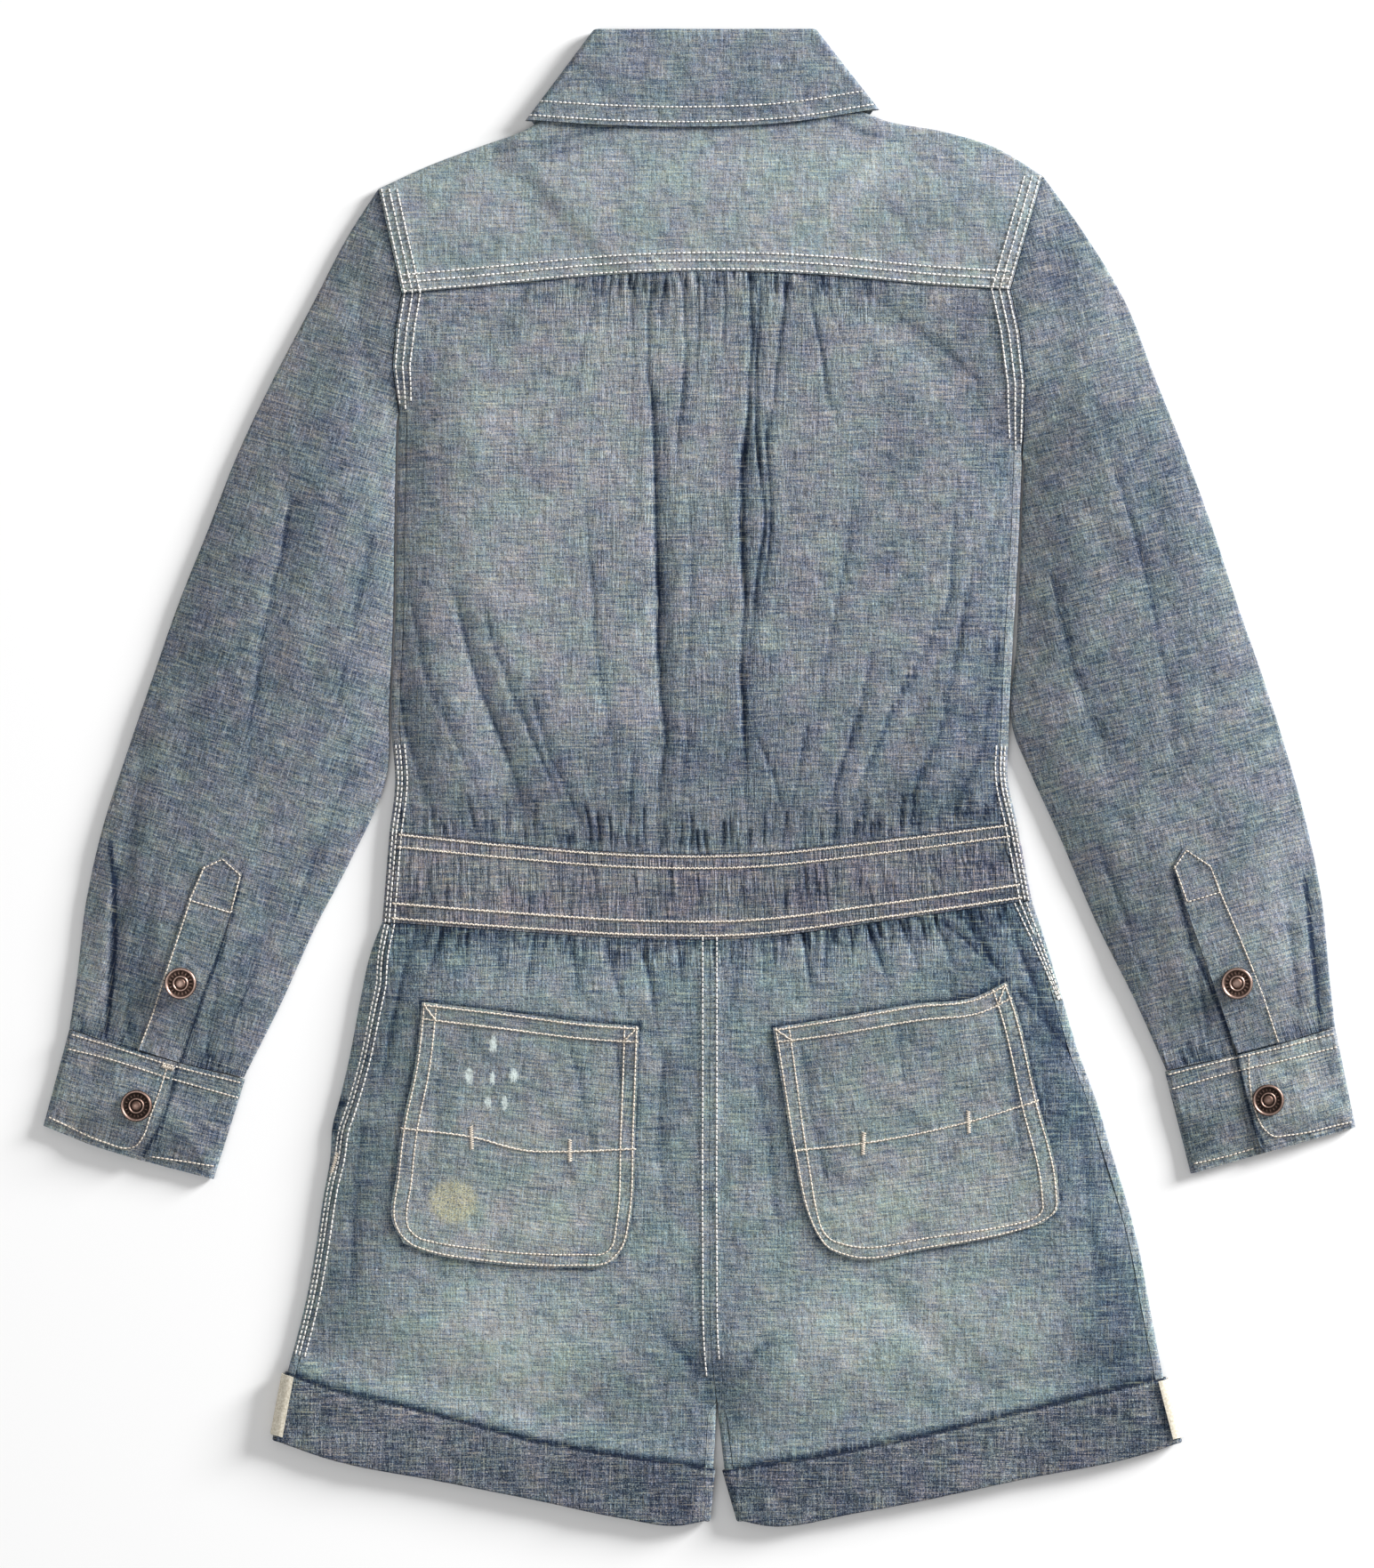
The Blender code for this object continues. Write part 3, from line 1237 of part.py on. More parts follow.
def build_snaps():
    """Ring caps on the sleeve plackets and cuffs, and plain caps down the front."""
    for name, x, y in SNAPS:
        side = name.rsplit("_", 1)[1]
        ground = Ground(f"cuff_{side}" if "cuff" in name else f"sleeve_placket_{side}")
        heights = []
        for step in range(12):
            angle = math.pi * step / 6
            heights.append(ground.height(x + SNAP_RADIUS * math.cos(angle), y + SNAP_RADIUS * math.sin(angle)))
        heights.append(ground.height(x, y))
        turned(name, x, y, max(heights) + SEAM_GAP, SNAP_SECTION, SNAP_RADIUS)
    for index, y in enumerate(FRONT_SNAP_HEIGHTS, 1):
        x = centre_front(y)
        turned(f"snap_front_{index}", x, y, FRONT_SNAP_TOP, FRONT_SNAP_SECTION, FRONT_SNAP_RADIUS, -1)


def centre_all():
    """Puts the middle of the garment's outline at the origin, and its underside on the floor."""
    pieces = list(bpy.data.objects)
    spots = [vert.co for piece in pieces for vert in piece.data.vertices]
    low = Vector([min(spot[axis] for spot in spots) for axis in range(3)])
    high = Vector([max(spot[axis] for spot in spots) for axis in range(3)])
    shift = Vector(((low.x + high.x) / 2, (low.y + high.y) / 2, low.z))
    for piece in pieces:
        for vert in piece.data.vertices:
            vert.co -= shift


build_back_yoke()
build_back_bodice()
build_fronts()
build_front_placket()
build_waistband_back()
build_waistband_fronts()
build_shorts_backs()
build_shorts_fronts()
build_sleeves()
build_turn_ups()
build_hem_tapes()
build_collar()
build_collar_stand()
build_cuffs()
build_pockets()
build_sleeve_plackets()
build_snaps()
centre_all()
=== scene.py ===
import json
import math

import bpy
import numpy as np
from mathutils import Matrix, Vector
from mathutils.bvhtree import BVHTree

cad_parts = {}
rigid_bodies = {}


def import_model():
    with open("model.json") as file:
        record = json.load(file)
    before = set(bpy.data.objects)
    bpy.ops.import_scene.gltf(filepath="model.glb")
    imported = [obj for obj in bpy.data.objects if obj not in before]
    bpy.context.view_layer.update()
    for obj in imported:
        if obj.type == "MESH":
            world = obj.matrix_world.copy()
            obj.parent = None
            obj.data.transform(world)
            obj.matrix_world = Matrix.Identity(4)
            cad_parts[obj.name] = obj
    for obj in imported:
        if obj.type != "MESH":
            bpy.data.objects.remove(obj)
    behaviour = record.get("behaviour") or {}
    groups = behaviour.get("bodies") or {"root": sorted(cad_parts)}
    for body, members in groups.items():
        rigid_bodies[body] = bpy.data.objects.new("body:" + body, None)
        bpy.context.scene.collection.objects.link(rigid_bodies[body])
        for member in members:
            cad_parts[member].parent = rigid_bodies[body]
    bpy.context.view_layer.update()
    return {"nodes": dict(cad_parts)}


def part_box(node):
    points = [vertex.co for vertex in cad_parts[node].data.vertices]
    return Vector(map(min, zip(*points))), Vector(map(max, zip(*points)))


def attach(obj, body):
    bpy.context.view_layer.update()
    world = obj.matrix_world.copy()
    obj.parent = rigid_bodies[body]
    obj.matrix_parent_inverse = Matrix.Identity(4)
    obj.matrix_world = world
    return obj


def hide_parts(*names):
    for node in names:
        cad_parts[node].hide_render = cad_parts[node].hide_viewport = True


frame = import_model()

# Camera: straight above, as the garment was photographed, with a long lens. Places are in the photograph's
# pixels, or in millimetres from its pixel PHOTO_CENTRE. MIDDLE is the frame's origin in those millimetres.
PIXEL = 0.48
PHOTO_SIZE = (1545, 1763)
PHOTO_CENTRE = (785.5, 874)
MIDDLE = np.array((0.4716, -0.1206, 0.0))
SENSOR, LENS = 36, 120
FOCUS_HEIGHT = 0.006
scene = bpy.context.scene


def placed(name, data):
    """A new object that holds the data, in the scene."""
    thing = bpy.data.objects.new(name, data)
    scene.collection.objects.link(thing)
    return thing


camera = placed("camera", bpy.data.cameras.new("camera"))
camera.data.sensor_width = SENSOR
camera.data.lens = LENS
camera.data.clip_start = 0.1
camera.data.clip_end = 20
view_x = (PHOTO_SIZE[0] / 2 - PHOTO_CENTRE[0]) * PIXEL
view_y = (PHOTO_CENTRE[1] - PHOTO_SIZE[1] / 2) * PIXEL
view_z = PHOTO_SIZE[1] * PIXEL / 1000 * LENS / SENSOR + FOCUS_HEIGHT
camera.location = ((view_x - MIDDLE[0]) / 1000, (view_y - MIDDLE[1]) / 1000, view_z)
scene.camera = camera

# Floor: plain white paper, four metres out each way, just under the garment
REACH = 4
floor_mesh = bpy.data.meshes.new("floor")
floor_corners = [(-REACH, -REACH, 0), (REACH, -REACH, 0), (REACH, REACH, 0), (-REACH, REACH, 0)]
floor_mesh.from_pydata(floor_corners, [], [(0, 1, 2, 3)])
floor = placed("floor", floor_mesh)
floor.location.z = -0.0002
paper = bpy.data.materials.new("white surface")
paper.use_nodes = True
paper_shader = paper.node_tree.nodes["Principled BSDF"]
paper_shader.inputs["Base Color"].default_value = (0.9, 0.9, 0.9, 1)
paper_shader.inputs["Roughness"].default_value = 0.9
floor_mesh.materials.append(paper)


# Light: a large soft lamp, low and to the upper right, a weak one across from it and a pale surround
def lamp(name, place, size, power):
    light = bpy.data.lights.new(name, "AREA")
    light.shape = "SQUARE"
    light.size = size
    light.energy = power
    lit = placed(name, light)
    lit.location = place
    lit.rotation_mode = "QUATERNION"
    lit.rotation_quaternion = Vector(place).to_track_quat("Z", "Y")


lamp("key", (4.0, 2.25, 1.35), 1.5, 530)
lamp("fill", (-1.2, -0.6, 2.4), 2.0, 15)
world = bpy.data.worlds.new("surround")
world.use_nodes = True
world.node_tree.nodes["Background"].inputs["Color"].default_value = (1, 1, 1, 1)
world.node_tree.nodes["Background"].inputs["Strength"].default_value = 0.40
scene.world = world
scene.view_settings.view_transform = "Standard"

# Yoke: one piece of washed chambray over both shoulders and a little way down the front, felled over the
# bodice and the sleeves with three rows of stitches. In what follows a line is a function from shares of its
# length to places, and a patch is a net of places between four lines.
WALL = 0.8  # thickness of the cloth
SEAM_GAP = 0.3  # between two pieces at a seam
HALF_GAP = SEAM_GAP / 2
FOLD_REACH = 2.0  # how far the cloth bulges out where it folds round the garment's side
LAYER = 1.7  # what a layer of cloth beneath adds to the height


def mix(start, end, share):
    return start + (end - start) * share


def smooth(share):
    share = np.clip(share, 0.0, 1.0)
    return share * share * (3 - 2 * share)


def spread(count):
    return np.linspace(0.0, 1.0, count)


def runs(*parts):
    """Shares in even runs: the start, end and count of each. Runs that meet share a place."""
    shares = []
    for start, end, count in parts:
        run = np.linspace(start, end, count)
        shares.extend(run[1:] if shares and shares[-1] == start else run)
    return np.array(shares)


def length_of(run):
    return np.sqrt((run * run).sum(-1))


def read_line(marks, points):
    marks = np.asarray(marks, float)
    points = np.asarray(points, float)
    return lambda share: np.stack([np.interp(share, marks, column) for column in points.T], -1)


def along(points):
    points = np.asarray(points, float)
    marks = np.concatenate([[0.0], np.cumsum(length_of(np.diff(points, axis=0)))])
    return read_line(marks / marks[-1], points)


def curve(points, steps=12):
    points = np.asarray(points, float)
    chords = length_of(np.diff(points, axis=0))[:, None]
    slopes = np.diff(points, axis=0) / chords
    inner = (slopes[:-1] * chords[1:] + slopes[1:] * chords[:-1]) / (chords[1:] + chords[:-1])
    tangents = np.concatenate([slopes[:1], inner, slopes[-1:]])
    t = (np.arange(1, steps + 1) / steps)[:, None]
    line = [points[:1]]
    for k, chord in enumerate(chords):
        line.append(
            points[k] * (2 * t**3 - 3 * t**2 + 1)
            + points[k + 1] * (3 * t**2 - 2 * t**3)
            + tangents[k] * (t**3 - 2 * t**2 + t) * chord
            + tangents[k + 1] * (t**3 - t**2) * chord
        )
    return along(np.concatenate(line))


def bell(ratio):
    return np.exp(-(ratio**2))


def height_of(points, x):
    points = np.asarray(points, float)
    return np.interp(x, points[:, 0], points[:, 1])


class Patch:
    def __init__(self, top, bottom, left, right):
        self.top, self.bottom, self.left, self.right = top, bottom, left, right

    def plain(self, across, down):
        across, down = np.broadcast_arrays(np.asarray(across, float), np.asarray(down, float))
        a, d = across[..., None], down[..., None]
        corners = (
            self.top(0.0) * (1 - a) * (1 - d)
            + self.top(1.0) * a * (1 - d)
            + self.bottom(0.0) * (1 - a) * d
            + self.bottom(1.0) * a * d
        )
        ends = self.top(across) * (1 - d) + self.bottom(across) * d
        return ends + self.left(down) * (1 - a) + self.right(down) * a - corners

    def at(self, across, down, left=0.0, right=0.0, top=0.0, bottom=0.0):
        width = length_of(self.right(down) - self.left(down))
        length = length_of(self.bottom(across) - self.top(across))
        across = mix(left / width, 1 - right / width, across)
        return self.plain(across, mix(top / length, 1 - bottom / length, down))

    def sideways(self, down):
        run = self.right(down) - self.left(down)
        return run / length_of(run)[..., None]

    def height(self):
        return float(length_of(self.bottom(0.5) - self.top(0.5)))


# Seams and folds that give the garment its outline, read from the photograph, left and right as in the
# picture
SHOULDER_LEFT = ((-173, 318), (-147, 330), (-118, 341), (-93, 350), (-70, 365))
SHOULDER_RIGHT = ((74, 368), (97, 356), (132, 349), (161, 340), (186, 325))
BACK_NECK = ((-70, 365), (-41, 370), (0, 372), (41, 372), (74, 368))
ARMHOLES = (
    ((-173, 318), (-160, 261), (-163, 243), (-165, 222), (-162, 198)),
    ((186, 325), (168, 263), (173, 240), (176, 212), (175, 175)),
)
YOKE_SEAM = ((-160, 261), (-106, 266), (-51, 271), (9, 273), (69, 271), (122, 266), (168, 263))
SIDE_LEFT = ((-162, 198), (-163, 151), (-164, 84), (-166, 26), (-164, -3), (-167, -29))
SIDE_RIGHT = ((175, 175), (173, 122), (170, 74), (168, 26), (167, 0), (172, -24))
WAIST_TOP = ((-167, -29), (-100, -36), (-31, -41), (23, -41), (103, -33), (172, -24))
WAIST_BOTTOM = ((-171, -78), (-100, -83), (-31, -87), (23, -87), (103, -77), (180, -66))
SLEEVE_OUTER = (
    (
        (-173, 318), (-188, 295), (-209, 255), (-230, 215), (-249, 175), (-265, 134), (-281, 94),
        (-295, 54), (-309, 13), (-322, -27), (-331, -67), (-336, -108), (-340, -136),
    ),
    (
        (186, 325), (207, 296), (231, 256), (247, 215), (263, 175), (278, 134), (291, 94),
        (305, 54), (318, 13), (329, -27), (337, -67), (341, -108), (344, -135),
    ),
)
SLEEVE_INNER = (
    (
        (-162, 198), (-163, 151), (-164, 84), (-166, 36), (-167, 3), (-187, -45), (-206, -81),
        (-224, -121), (-245, -163),
    ),
    (
        (175, 175), (173, 122), (171, 74), (169, 25), (178, 3), (194, -32), (215, -81),
        (235, -121), (252, -159),
    ),
)
CUFF_TOP = (
    ((-340, -136), (-319, -143), (-281, -154), (-245, -163)),
    ((252, -159), (291, -150), (314, -144), (344, -135)),
)
CUFF_BOTTOM = (
    ((-354, -188), (-329, -198), (-300, -207), (-262, -217)),
    ((266, -214), (305, -203), (333, -195), (355, -189)),
)
SHORTS_SIDE = (
    (
        (-171, -78), (-177, -94), (-183, -121), (-188, -148), (-194, -174), (-198, -189),
        (-199, -205), (-203, -228), (-207, -255), (-212, -282), (-222, -321),
    ),
    (
        (180, -66), (189, -94), (197, -121), (205, -148), (215, -175), (223, -202), (231, -228),
        (238, -255), (243, -282), (251, -324),
    ),
)
TURN_TOP = (
    ((-222, -321), (-201, -329), (-140, -344), (-89, -358), (-49, -365), (8, -373)),
    ((14, -374), (68, -366), (122, -355), (175, -342), (251, -324)),
)
TURN_FOLD = (
    ((-229, -358), (-200, -368), (-140, -380), (-89, -390), (-41, -400), (-11, -404), (5, -401)),
    ((22, -401), (36, -404), (86, -397), (175, -379), (242, -365), (260, -359)),
)
ROLL = ((-57, 404), (64, 404))
LEAF_EDGE = ((-94, 355), (-51, 352), (0, 351), (45, 353), (98, 361))
NECK_START, NECK_END = 0.30, 0.72  # the neck's part of the yoke's upper edge
NECK_DROP = 66.0  # how much lower the neck is in front than behind

SHOULDERS = (curve(SHOULDER_LEFT), curve(SHOULDER_RIGHT))
NECK_LINE = curve(BACK_NECK)
YOKE_LINE = curve(YOKE_SEAM)
OUTLINE = np.array(
    SHOULDER_LEFT[:-1]
    + ROLL
    + SHOULDER_RIGHT[1:]
    + SLEEVE_OUTER[1][1:]
    + CUFF_BOTTOM[1][::-1]
    + SLEEVE_INNER[1][::-1]
    + SIDE_RIGHT[1:]
    + SHORTS_SIDE[1]
    + TURN_FOLD[1][::-1]
    + ((10, -339),)
    + TURN_FOLD[0][::-1]
    + SHORTS_SIDE[0][::-1]
    + SIDE_LEFT[::-1][:-1]
    + SLEEVE_INNER[0]
    + CUFF_BOTTOM[0][::-1]
    + SLEEVE_OUTER[0][::-1],
    float,
)


def distance_to(x, y, start, end):
    run_x, run_y = end[0] - start[0], end[1] - start[1]
    share = ((x - start[0]) * run_x + (y - start[1]) * run_y) / max(run_x**2 + run_y**2, 1e-9)
    share = np.clip(share, 0.0, 1.0)
    return np.hypot(x - start[0] - share * run_x, y - start[1] - share * run_y), share


def distance_along(x, y, points):
    """Distance from places to a bent line, and how far along it the nearest place is, in mm."""
    points = np.asarray(points, float)
    best = np.full(np.shape(x), 1e9)
    place = np.zeros(np.shape(x))
    passed = 0.0
    for start, end in zip(points, points[1:]):
        away, share = distance_to(x, y, start, end)
        run = math.hypot(*(end - start))
        place = np.where(away < best, passed + share * run, place)
        best = np.minimum(best, away)
        passed += run
    return best, place, passed


def lattice(x, y, size, seed):
    """Soft random hills of about the given size in mm, between -1 and 1."""
    grid = np.random.RandomState(seed).uniform(-1, 1, (64, 64))
    gx, gy = x / size + 500, y / size + 500
    ix, iy = np.floor(gx).astype(int), np.floor(gy).astype(int)
    fx, fy = smooth(gx - ix), smooth(gy - iy)
    ix, iy = ix % 64, iy % 64
    jx, jy = (ix + 1) % 64, (iy + 1) % 64
    low = mix(grid[iy, ix], grid[iy, jx], fx)
    high = mix(grid[jy, ix], grid[jy, jx], fx)
    return mix(low, high, fy)


def neck_dip(across):
    return NECK_DROP * np.sin(math.pi / 2 * np.clip(np.minimum(across, 1 - np.asarray(across)) * 2, 0, 1))


def under_height(x, y):
    """The front's outer face: on the floor, and one layer up over the collar and the turn-ups."""
    turn_top = np.where(x < 11, height_of(TURN_TOP[0], x), height_of(TURN_TOP[1], x))
    over_turn = smooth((turn_top + 18 - y) / 16)
    beside = np.maximum(np.maximum(LEAF_EDGE[0][0] - x, x - LEAF_EDGE[-1][0]), 0.0)
    across = np.clip((x - LEAF_EDGE[0][0]) / (LEAF_EDGE[-1][0] - LEAF_EDGE[0][0]), 0, 1)
    below = np.maximum(height_of(LEAF_EDGE, x) - neck_dip(across) - 20 - y, 0.0)
    over_leaf = smooth(1 - np.hypot(beside, below) / 16)
    return LAYER * np.maximum(over_turn, over_leaf)


def pinch(x, y):
    """How far cuffs, waistband, collar and turn-ups hold the cloth down."""
    above = y - height_of(WAIST_TOP, x)
    below = height_of(WAIST_BOTTOM, x) - y
    near = 0.62 * smooth(1 - np.maximum(np.maximum(above, below), 0.0) / 34)
    near = np.where((x > -166) & (x < 180) & (y < 60), near, 0.0)
    for seam in CUFF_TOP:
        away, _ = distance_to(x, y, seam[0], seam[-1])
        near = np.maximum(near, 0.96 * smooth(1 - np.maximum(away - 4, 0.0) / 44))
    beside = np.maximum(np.maximum(LEAF_EDGE[0][0] - x, x - LEAF_EDGE[-1][0]), 0.0)
    under_leaf = np.maximum(height_of(LEAF_EDGE, x) - y, 0.0)
    near_collar = 0.8 * smooth(1 - np.hypot(beside, under_leaf) / 45)
    near = np.maximum(near, np.where((np.abs(x) < 130) & (y > 250), near_collar, 0.0))
    above_turn = y - np.where(x < 11, height_of(TURN_TOP[0], x), height_of(TURN_TOP[1], x))
    return np.maximum(near, 0.85 * smooth(1 - np.maximum(above_turn - 6, 0.0) / 50))


# Creases: start, end, depth in mm (below zero is a trough) and half width
CREASES = (
    ((-22, 170), (-22, -32), -1.6, 7),
    ((-168, 74), (-147, -27), -1.5, 8),
    ((-135, 103), (-94, -32), -1.8, 10),
    ((141, 88), (84, -27), -1.8, 10),
    ((165, 108), (132, -27), -1.5, 8),
    ((89, 255), (151, 205), -1.3, 9),
    ((-219, 151), (-240, -12), -1.5, 10),
    ((-300, 20), (-318, -136), -1.4, 7),
    ((235, 200), (262, 40), -1.4, 11),
    ((327, -20), (335, -130), -1.4, 7),
    ((-90, -270), (-150, -335), -1.3, 10),
    ((90, -268), (150, -325), -1.3, 10),
)


def creases(x, y, table):
    total = np.zeros(np.shape(x))
    for start, end, depth, half_width in table:
        away, share = distance_to(x, y, start, end)
        total += depth * np.sin(math.pi * mix(0.12, 0.88, share)) * bell(away / half_width)
    return total


def body_height(x, y):
    """The back's outer face above the floor, as the solids have it, without the small relief."""
    away = np.full(np.shape(x), 1e9)
    for start, end in zip(OUTLINE, OUTLINE[1:]):
        away = np.minimum(away, distance_to(x, y, start, end)[0])
    rise = 1 - (1 - np.minimum(np.maximum(away - FOLD_REACH, 0.0) / 45, 1.0)) ** 2
    return under_height(x, y) + 4 + rise * (6 * (1 - pinch(x, y)) + creases(x, y, CREASES))


def pixel(*places):
    """Places in millimetres from places in the photograph's pixels."""
    return [((x - PHOTO_CENTRE[0]) * PIXEL, (PHOTO_CENTRE[1] - y) * PIXEL) for x, y in places]


class Relief:
    """The small relief of a net of places, and how much paler (above 0) or darker the cloth is there."""

    def __init__(self, spot):
        self.x, self.y = spot[..., 0], spot[..., 1]
        self.rise = np.zeros(self.x.shape)
        # tone: the cloth's worn and dark places, and the painted shade and highlights of its folds, seams
        # and edges
        self.tone = np.zeros(self.x.shape)
        self.gather = np.zeros(self.x.shape)

    def shade(self, line, width, amount):
        """Painted shade beside a line, as in the angle under an edge that lies on it."""
        away, _, _ = distance_along(self.x, self.y, line)
        return self.add(0.0, -amount * bell(away / width))

    def gathered(self, line, reach, amount=1.0, start=-1e9, end=1e9):
        """Marks where a seam draws the cloth into fine gathers. The cloth's finish draws them."""
        # The finish draws the gathers as bump, with painted shade in their creases and painted highlights on
        # their ridges
        away, _, _ = distance_along(self.x, self.y, line)
        inside = smooth((self.x - start) / 15) * smooth((end - self.x) / 15)
        self.gather = np.maximum(self.gather, amount * inside * smooth(1 - away / reach))
        return self

    def add(self, rise, tone=0.0):
        self.rise = self.rise + rise
        self.tone = self.tone + tone
        return self

    # Soft hills. tone paints them paler on top and darker between, partly as wear on the raised cloth and
    # partly as painted shade in the hollows.
    def hills(self, size, height, seed, tone=0.0):
        hills = lattice(self.x, self.y, size, seed)
        return self.add(height * hills, tone * hills)

    def folds(self, table, ridge=-1):
        """Thin folds that run down the garment: depth, half width in mm and places in pixels.

        Each is a trough with a ridge on one side, a painted dark line in it and a band of painted shade
        beside it.
        """
        wander = 0.8 * lattice(self.x * 0.4, self.y, 24, 91) + 0.45 * lattice(self.x, self.y, 8, 92)
        for depth, width, *places in table:
            line = np.array(sorted(pixel(*places), key=lambda place: place[1]))
            lean = (line[-1, 0] - line[0, 0]) / (line[-1, 1] - line[0, 1])
            away = (self.x + wander - np.interp(self.y, line[:, 1], line[:, 0])) / math.hypot(1, lean)
            share = (line[-1, 1] - self.y) / (line[-1, 1] - line[0, 1])
            uneven = 0.8 + 0.45 * lattice(np.full(self.y.shape, line[0, 0]), self.y, 26, 93)
            ends = smooth((share + 0.03) / 0.08) * smooth((1.03 - share) / 0.4) * uneven
            trough = bell(away / (0.8 * width)) * ends
            beside = bell((away - ridge * 2.2 * width) / (1.7 * width)) * ends
            band = bell((away + ridge * width) / (2.6 * width)) * ends
            crease_shade = bell(away / (0.3 * width + 0.4)) * ends
            rise = 0.2 * beside - 0.5 * trough
            # tone paints the shade of the line and the band, and a faint highlight on the ridge
            tone = 0.02 * beside - 0.075 * band - 0.21 * crease_shade
            self.add(depth * rise, depth * tone)
        return self

    def seam(self, line, width, height=0.5, pucker=0.2, pitch=5.0):
        """The raised band of a felled seam beside a line, with the waves that its stitches draw up."""
        away, place, _ = distance_along(self.x, self.y, line)
        band = smooth((width + 1.2 - away) / 2.0)
        turn = 2 * math.pi * place / pitch + 2.0 * np.sin(place * 0.21) + 0.5 * away
        wave = np.sin(turn) * bell((away - width * 0.5) / (width * 0.8))
        # The waves are painted paler on their crests and darker in their troughs, as light and shade
        return self.add(height * band + pucker * wave, 0.22 * pucker * wave + 0.02 * band)

    def fades(self, table):
        """Worn (above 0) and dark places: amount, a middle and a radius across and down, in pixels."""
        for amount, x, y, radius_x, radius_y in table:
            (mx, my), = pixel((x, y))
            across = (self.x - mx) / (radius_x * PIXEL)
            along_y = (self.y - my) / (radius_y * PIXEL)
            self.tone = self.tone + amount * np.exp(-(across**2 + along_y**2))
        return self


def draped(spot, relief=None, angle=90.0, outward=None, reach=FOLD_REACH, lift=0.0):
    """The skin of cloth that lies on the back (angle 90), on the floor (-90) or round a fold between."""
    x, y = spot[..., 0], spot[..., 1]
    bottom = under_height(x, y)
    top = body_height(x, y) + (0.0 if relief is None else relief.rise)
    half = (top - bottom) / 2
    turn = np.radians(angle)
    outward = np.zeros(spot.shape) if outward is None else outward

    def skin(off):
        off = off + lift
        across = (reach + off) * np.cos(turn)
        z = bottom + half + (half + off) * np.sin(turn)
        return np.stack([x + outward[..., 0] * across, y + outward[..., 1] * across, z], -1)

    return skin


def cloth(name, skin, finish, replaces, relief=None, grain=0.0, wall=WALL):
    """A thin shell of cloth. skin(off) gives its net of points at an offset from the outer face.

    A place that is nan has no cloth. grain turns the weave, in degrees.
    """
    outer, inner = skin(0.0), skin(-wall)
    rows, columns = outer.shape[:2]
    has = ~np.isnan(outer[..., 0])
    cell = has[:-1, :-1] & has[1:, :-1] & has[1:, 1:] & has[:-1, 1:]
    number = np.arange(rows * columns).reshape(rows, columns)
    a, b, c, d = number[:-1, :-1], number[1:, :-1], number[1:, 1:], number[:-1, 1:]
    more = rows * columns
    quads = np.stack([a, b, c, d], -1)[cell]
    faces = [quads, quads[:, ::-1] + more]
    padded = np.pad(cell, 1)
    borders = [(padded[:-2, 1:-1], a, d), (padded[2:, 1:-1], c, b)]
    borders += [(padded[1:-1, :-2], b, a), (padded[1:-1, 2:], d, c)]
    for near, start, end in borders:
        rim = cell & ~near
        s, e = start[rim], end[rim]
        faces.append(np.stack([s, e, e + more, s + more], -1))
    faces = np.concatenate(faces)
    points = np.concatenate([outer.reshape(-1, 3), inner.reshape(-1, 3)])
    used = np.zeros(len(points), bool)
    used[faces.ravel()] = True
    renumber = np.cumsum(used) - 1
    points, faces = (points[used] - MIDDLE) / 1000, renumber[faces]
    mesh = bpy.data.meshes.new(name)
    mesh.vertices.add(len(points))
    mesh.vertices.foreach_set("co", points.astype(np.float32).ravel())
    mesh.loops.add(faces.size)
    mesh.loops.foreach_set("vertex_index", faces.astype(np.int32).ravel())
    mesh.polygons.add(len(faces))
    mesh.polygons.foreach_set("loop_start", np.arange(0, faces.size, 4, dtype=np.int32))
    mesh.update(calc_edges=True)
    mesh.validate()
    turn = math.radians(grain)
    u = outer[..., 0] * math.cos(turn) + outer[..., 1] * math.sin(turn)
    v = outer[..., 1] * math.cos(turn) - outer[..., 0] * math.sin(turn)
    uv = np.stack([u, v], -1)
    uv = np.concatenate([uv.reshape(-1, 2)] * 2)[used]
    layer = mesh.uv_layers.new(name="cloth")
    layer.data.foreach_set("uv", (uv[faces.ravel()] / 100).astype(np.float32).ravel())
    for label, kept in (("wear_and_painted_light", "tone"), ("gather", "gather")):
        values = np.zeros(rows * columns) if relief is None else getattr(relief, kept).ravel()
        values = np.concatenate([values, values])[used].astype(np.float32)
        mesh.attributes.new(label, "FLOAT", "POINT").data.foreach_set("value", values)
    mesh.shade_smooth()
    mesh.set_sharp_from_angle(angle=math.radians(50))
    mesh.materials.append(finish)
    piece = placed(name, mesh)
    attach(piece, "root")
    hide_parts(*replaces)
    return piece


class Socket:
    """A shader value, so that sums and products are written as they read."""

    def __init__(self, tree, socket):
        self.tree, self.socket = tree, socket

    def maths(self, operation, *others):
        node = self.tree.nodes.new("ShaderNodeMath")
        node.operation = operation
        for slot, value in zip(node.inputs, (self, *others)):
            if isinstance(value, Socket):
                self.tree.links.new(value.socket, slot)
            else:
                slot.default_value = value
        return Socket(self.tree, node.outputs[0])

    def __add__(self, other):
        return self.maths("ADD", other)

    def __mul__(self, other):
        return self.maths("MULTIPLY", other)

    def __sub__(self, other):
        return self.maths("SUBTRACT", other)

    __radd__ = __add__
    __rmul__ = __mul__

    def __rsub__(self, other):
        return self * -1.0 + other

    def clamped(self, low, high):
        return self.maths("MAXIMUM", low).maths("MINIMUM", high)

    def between(self, low, high):
        """Runs from 0 at low to 1 at high."""
        return ((self - low) * (1 / (high - low))).clamped(0.0, 1.0)

    def sine(self):
        return self.maths("SINE")


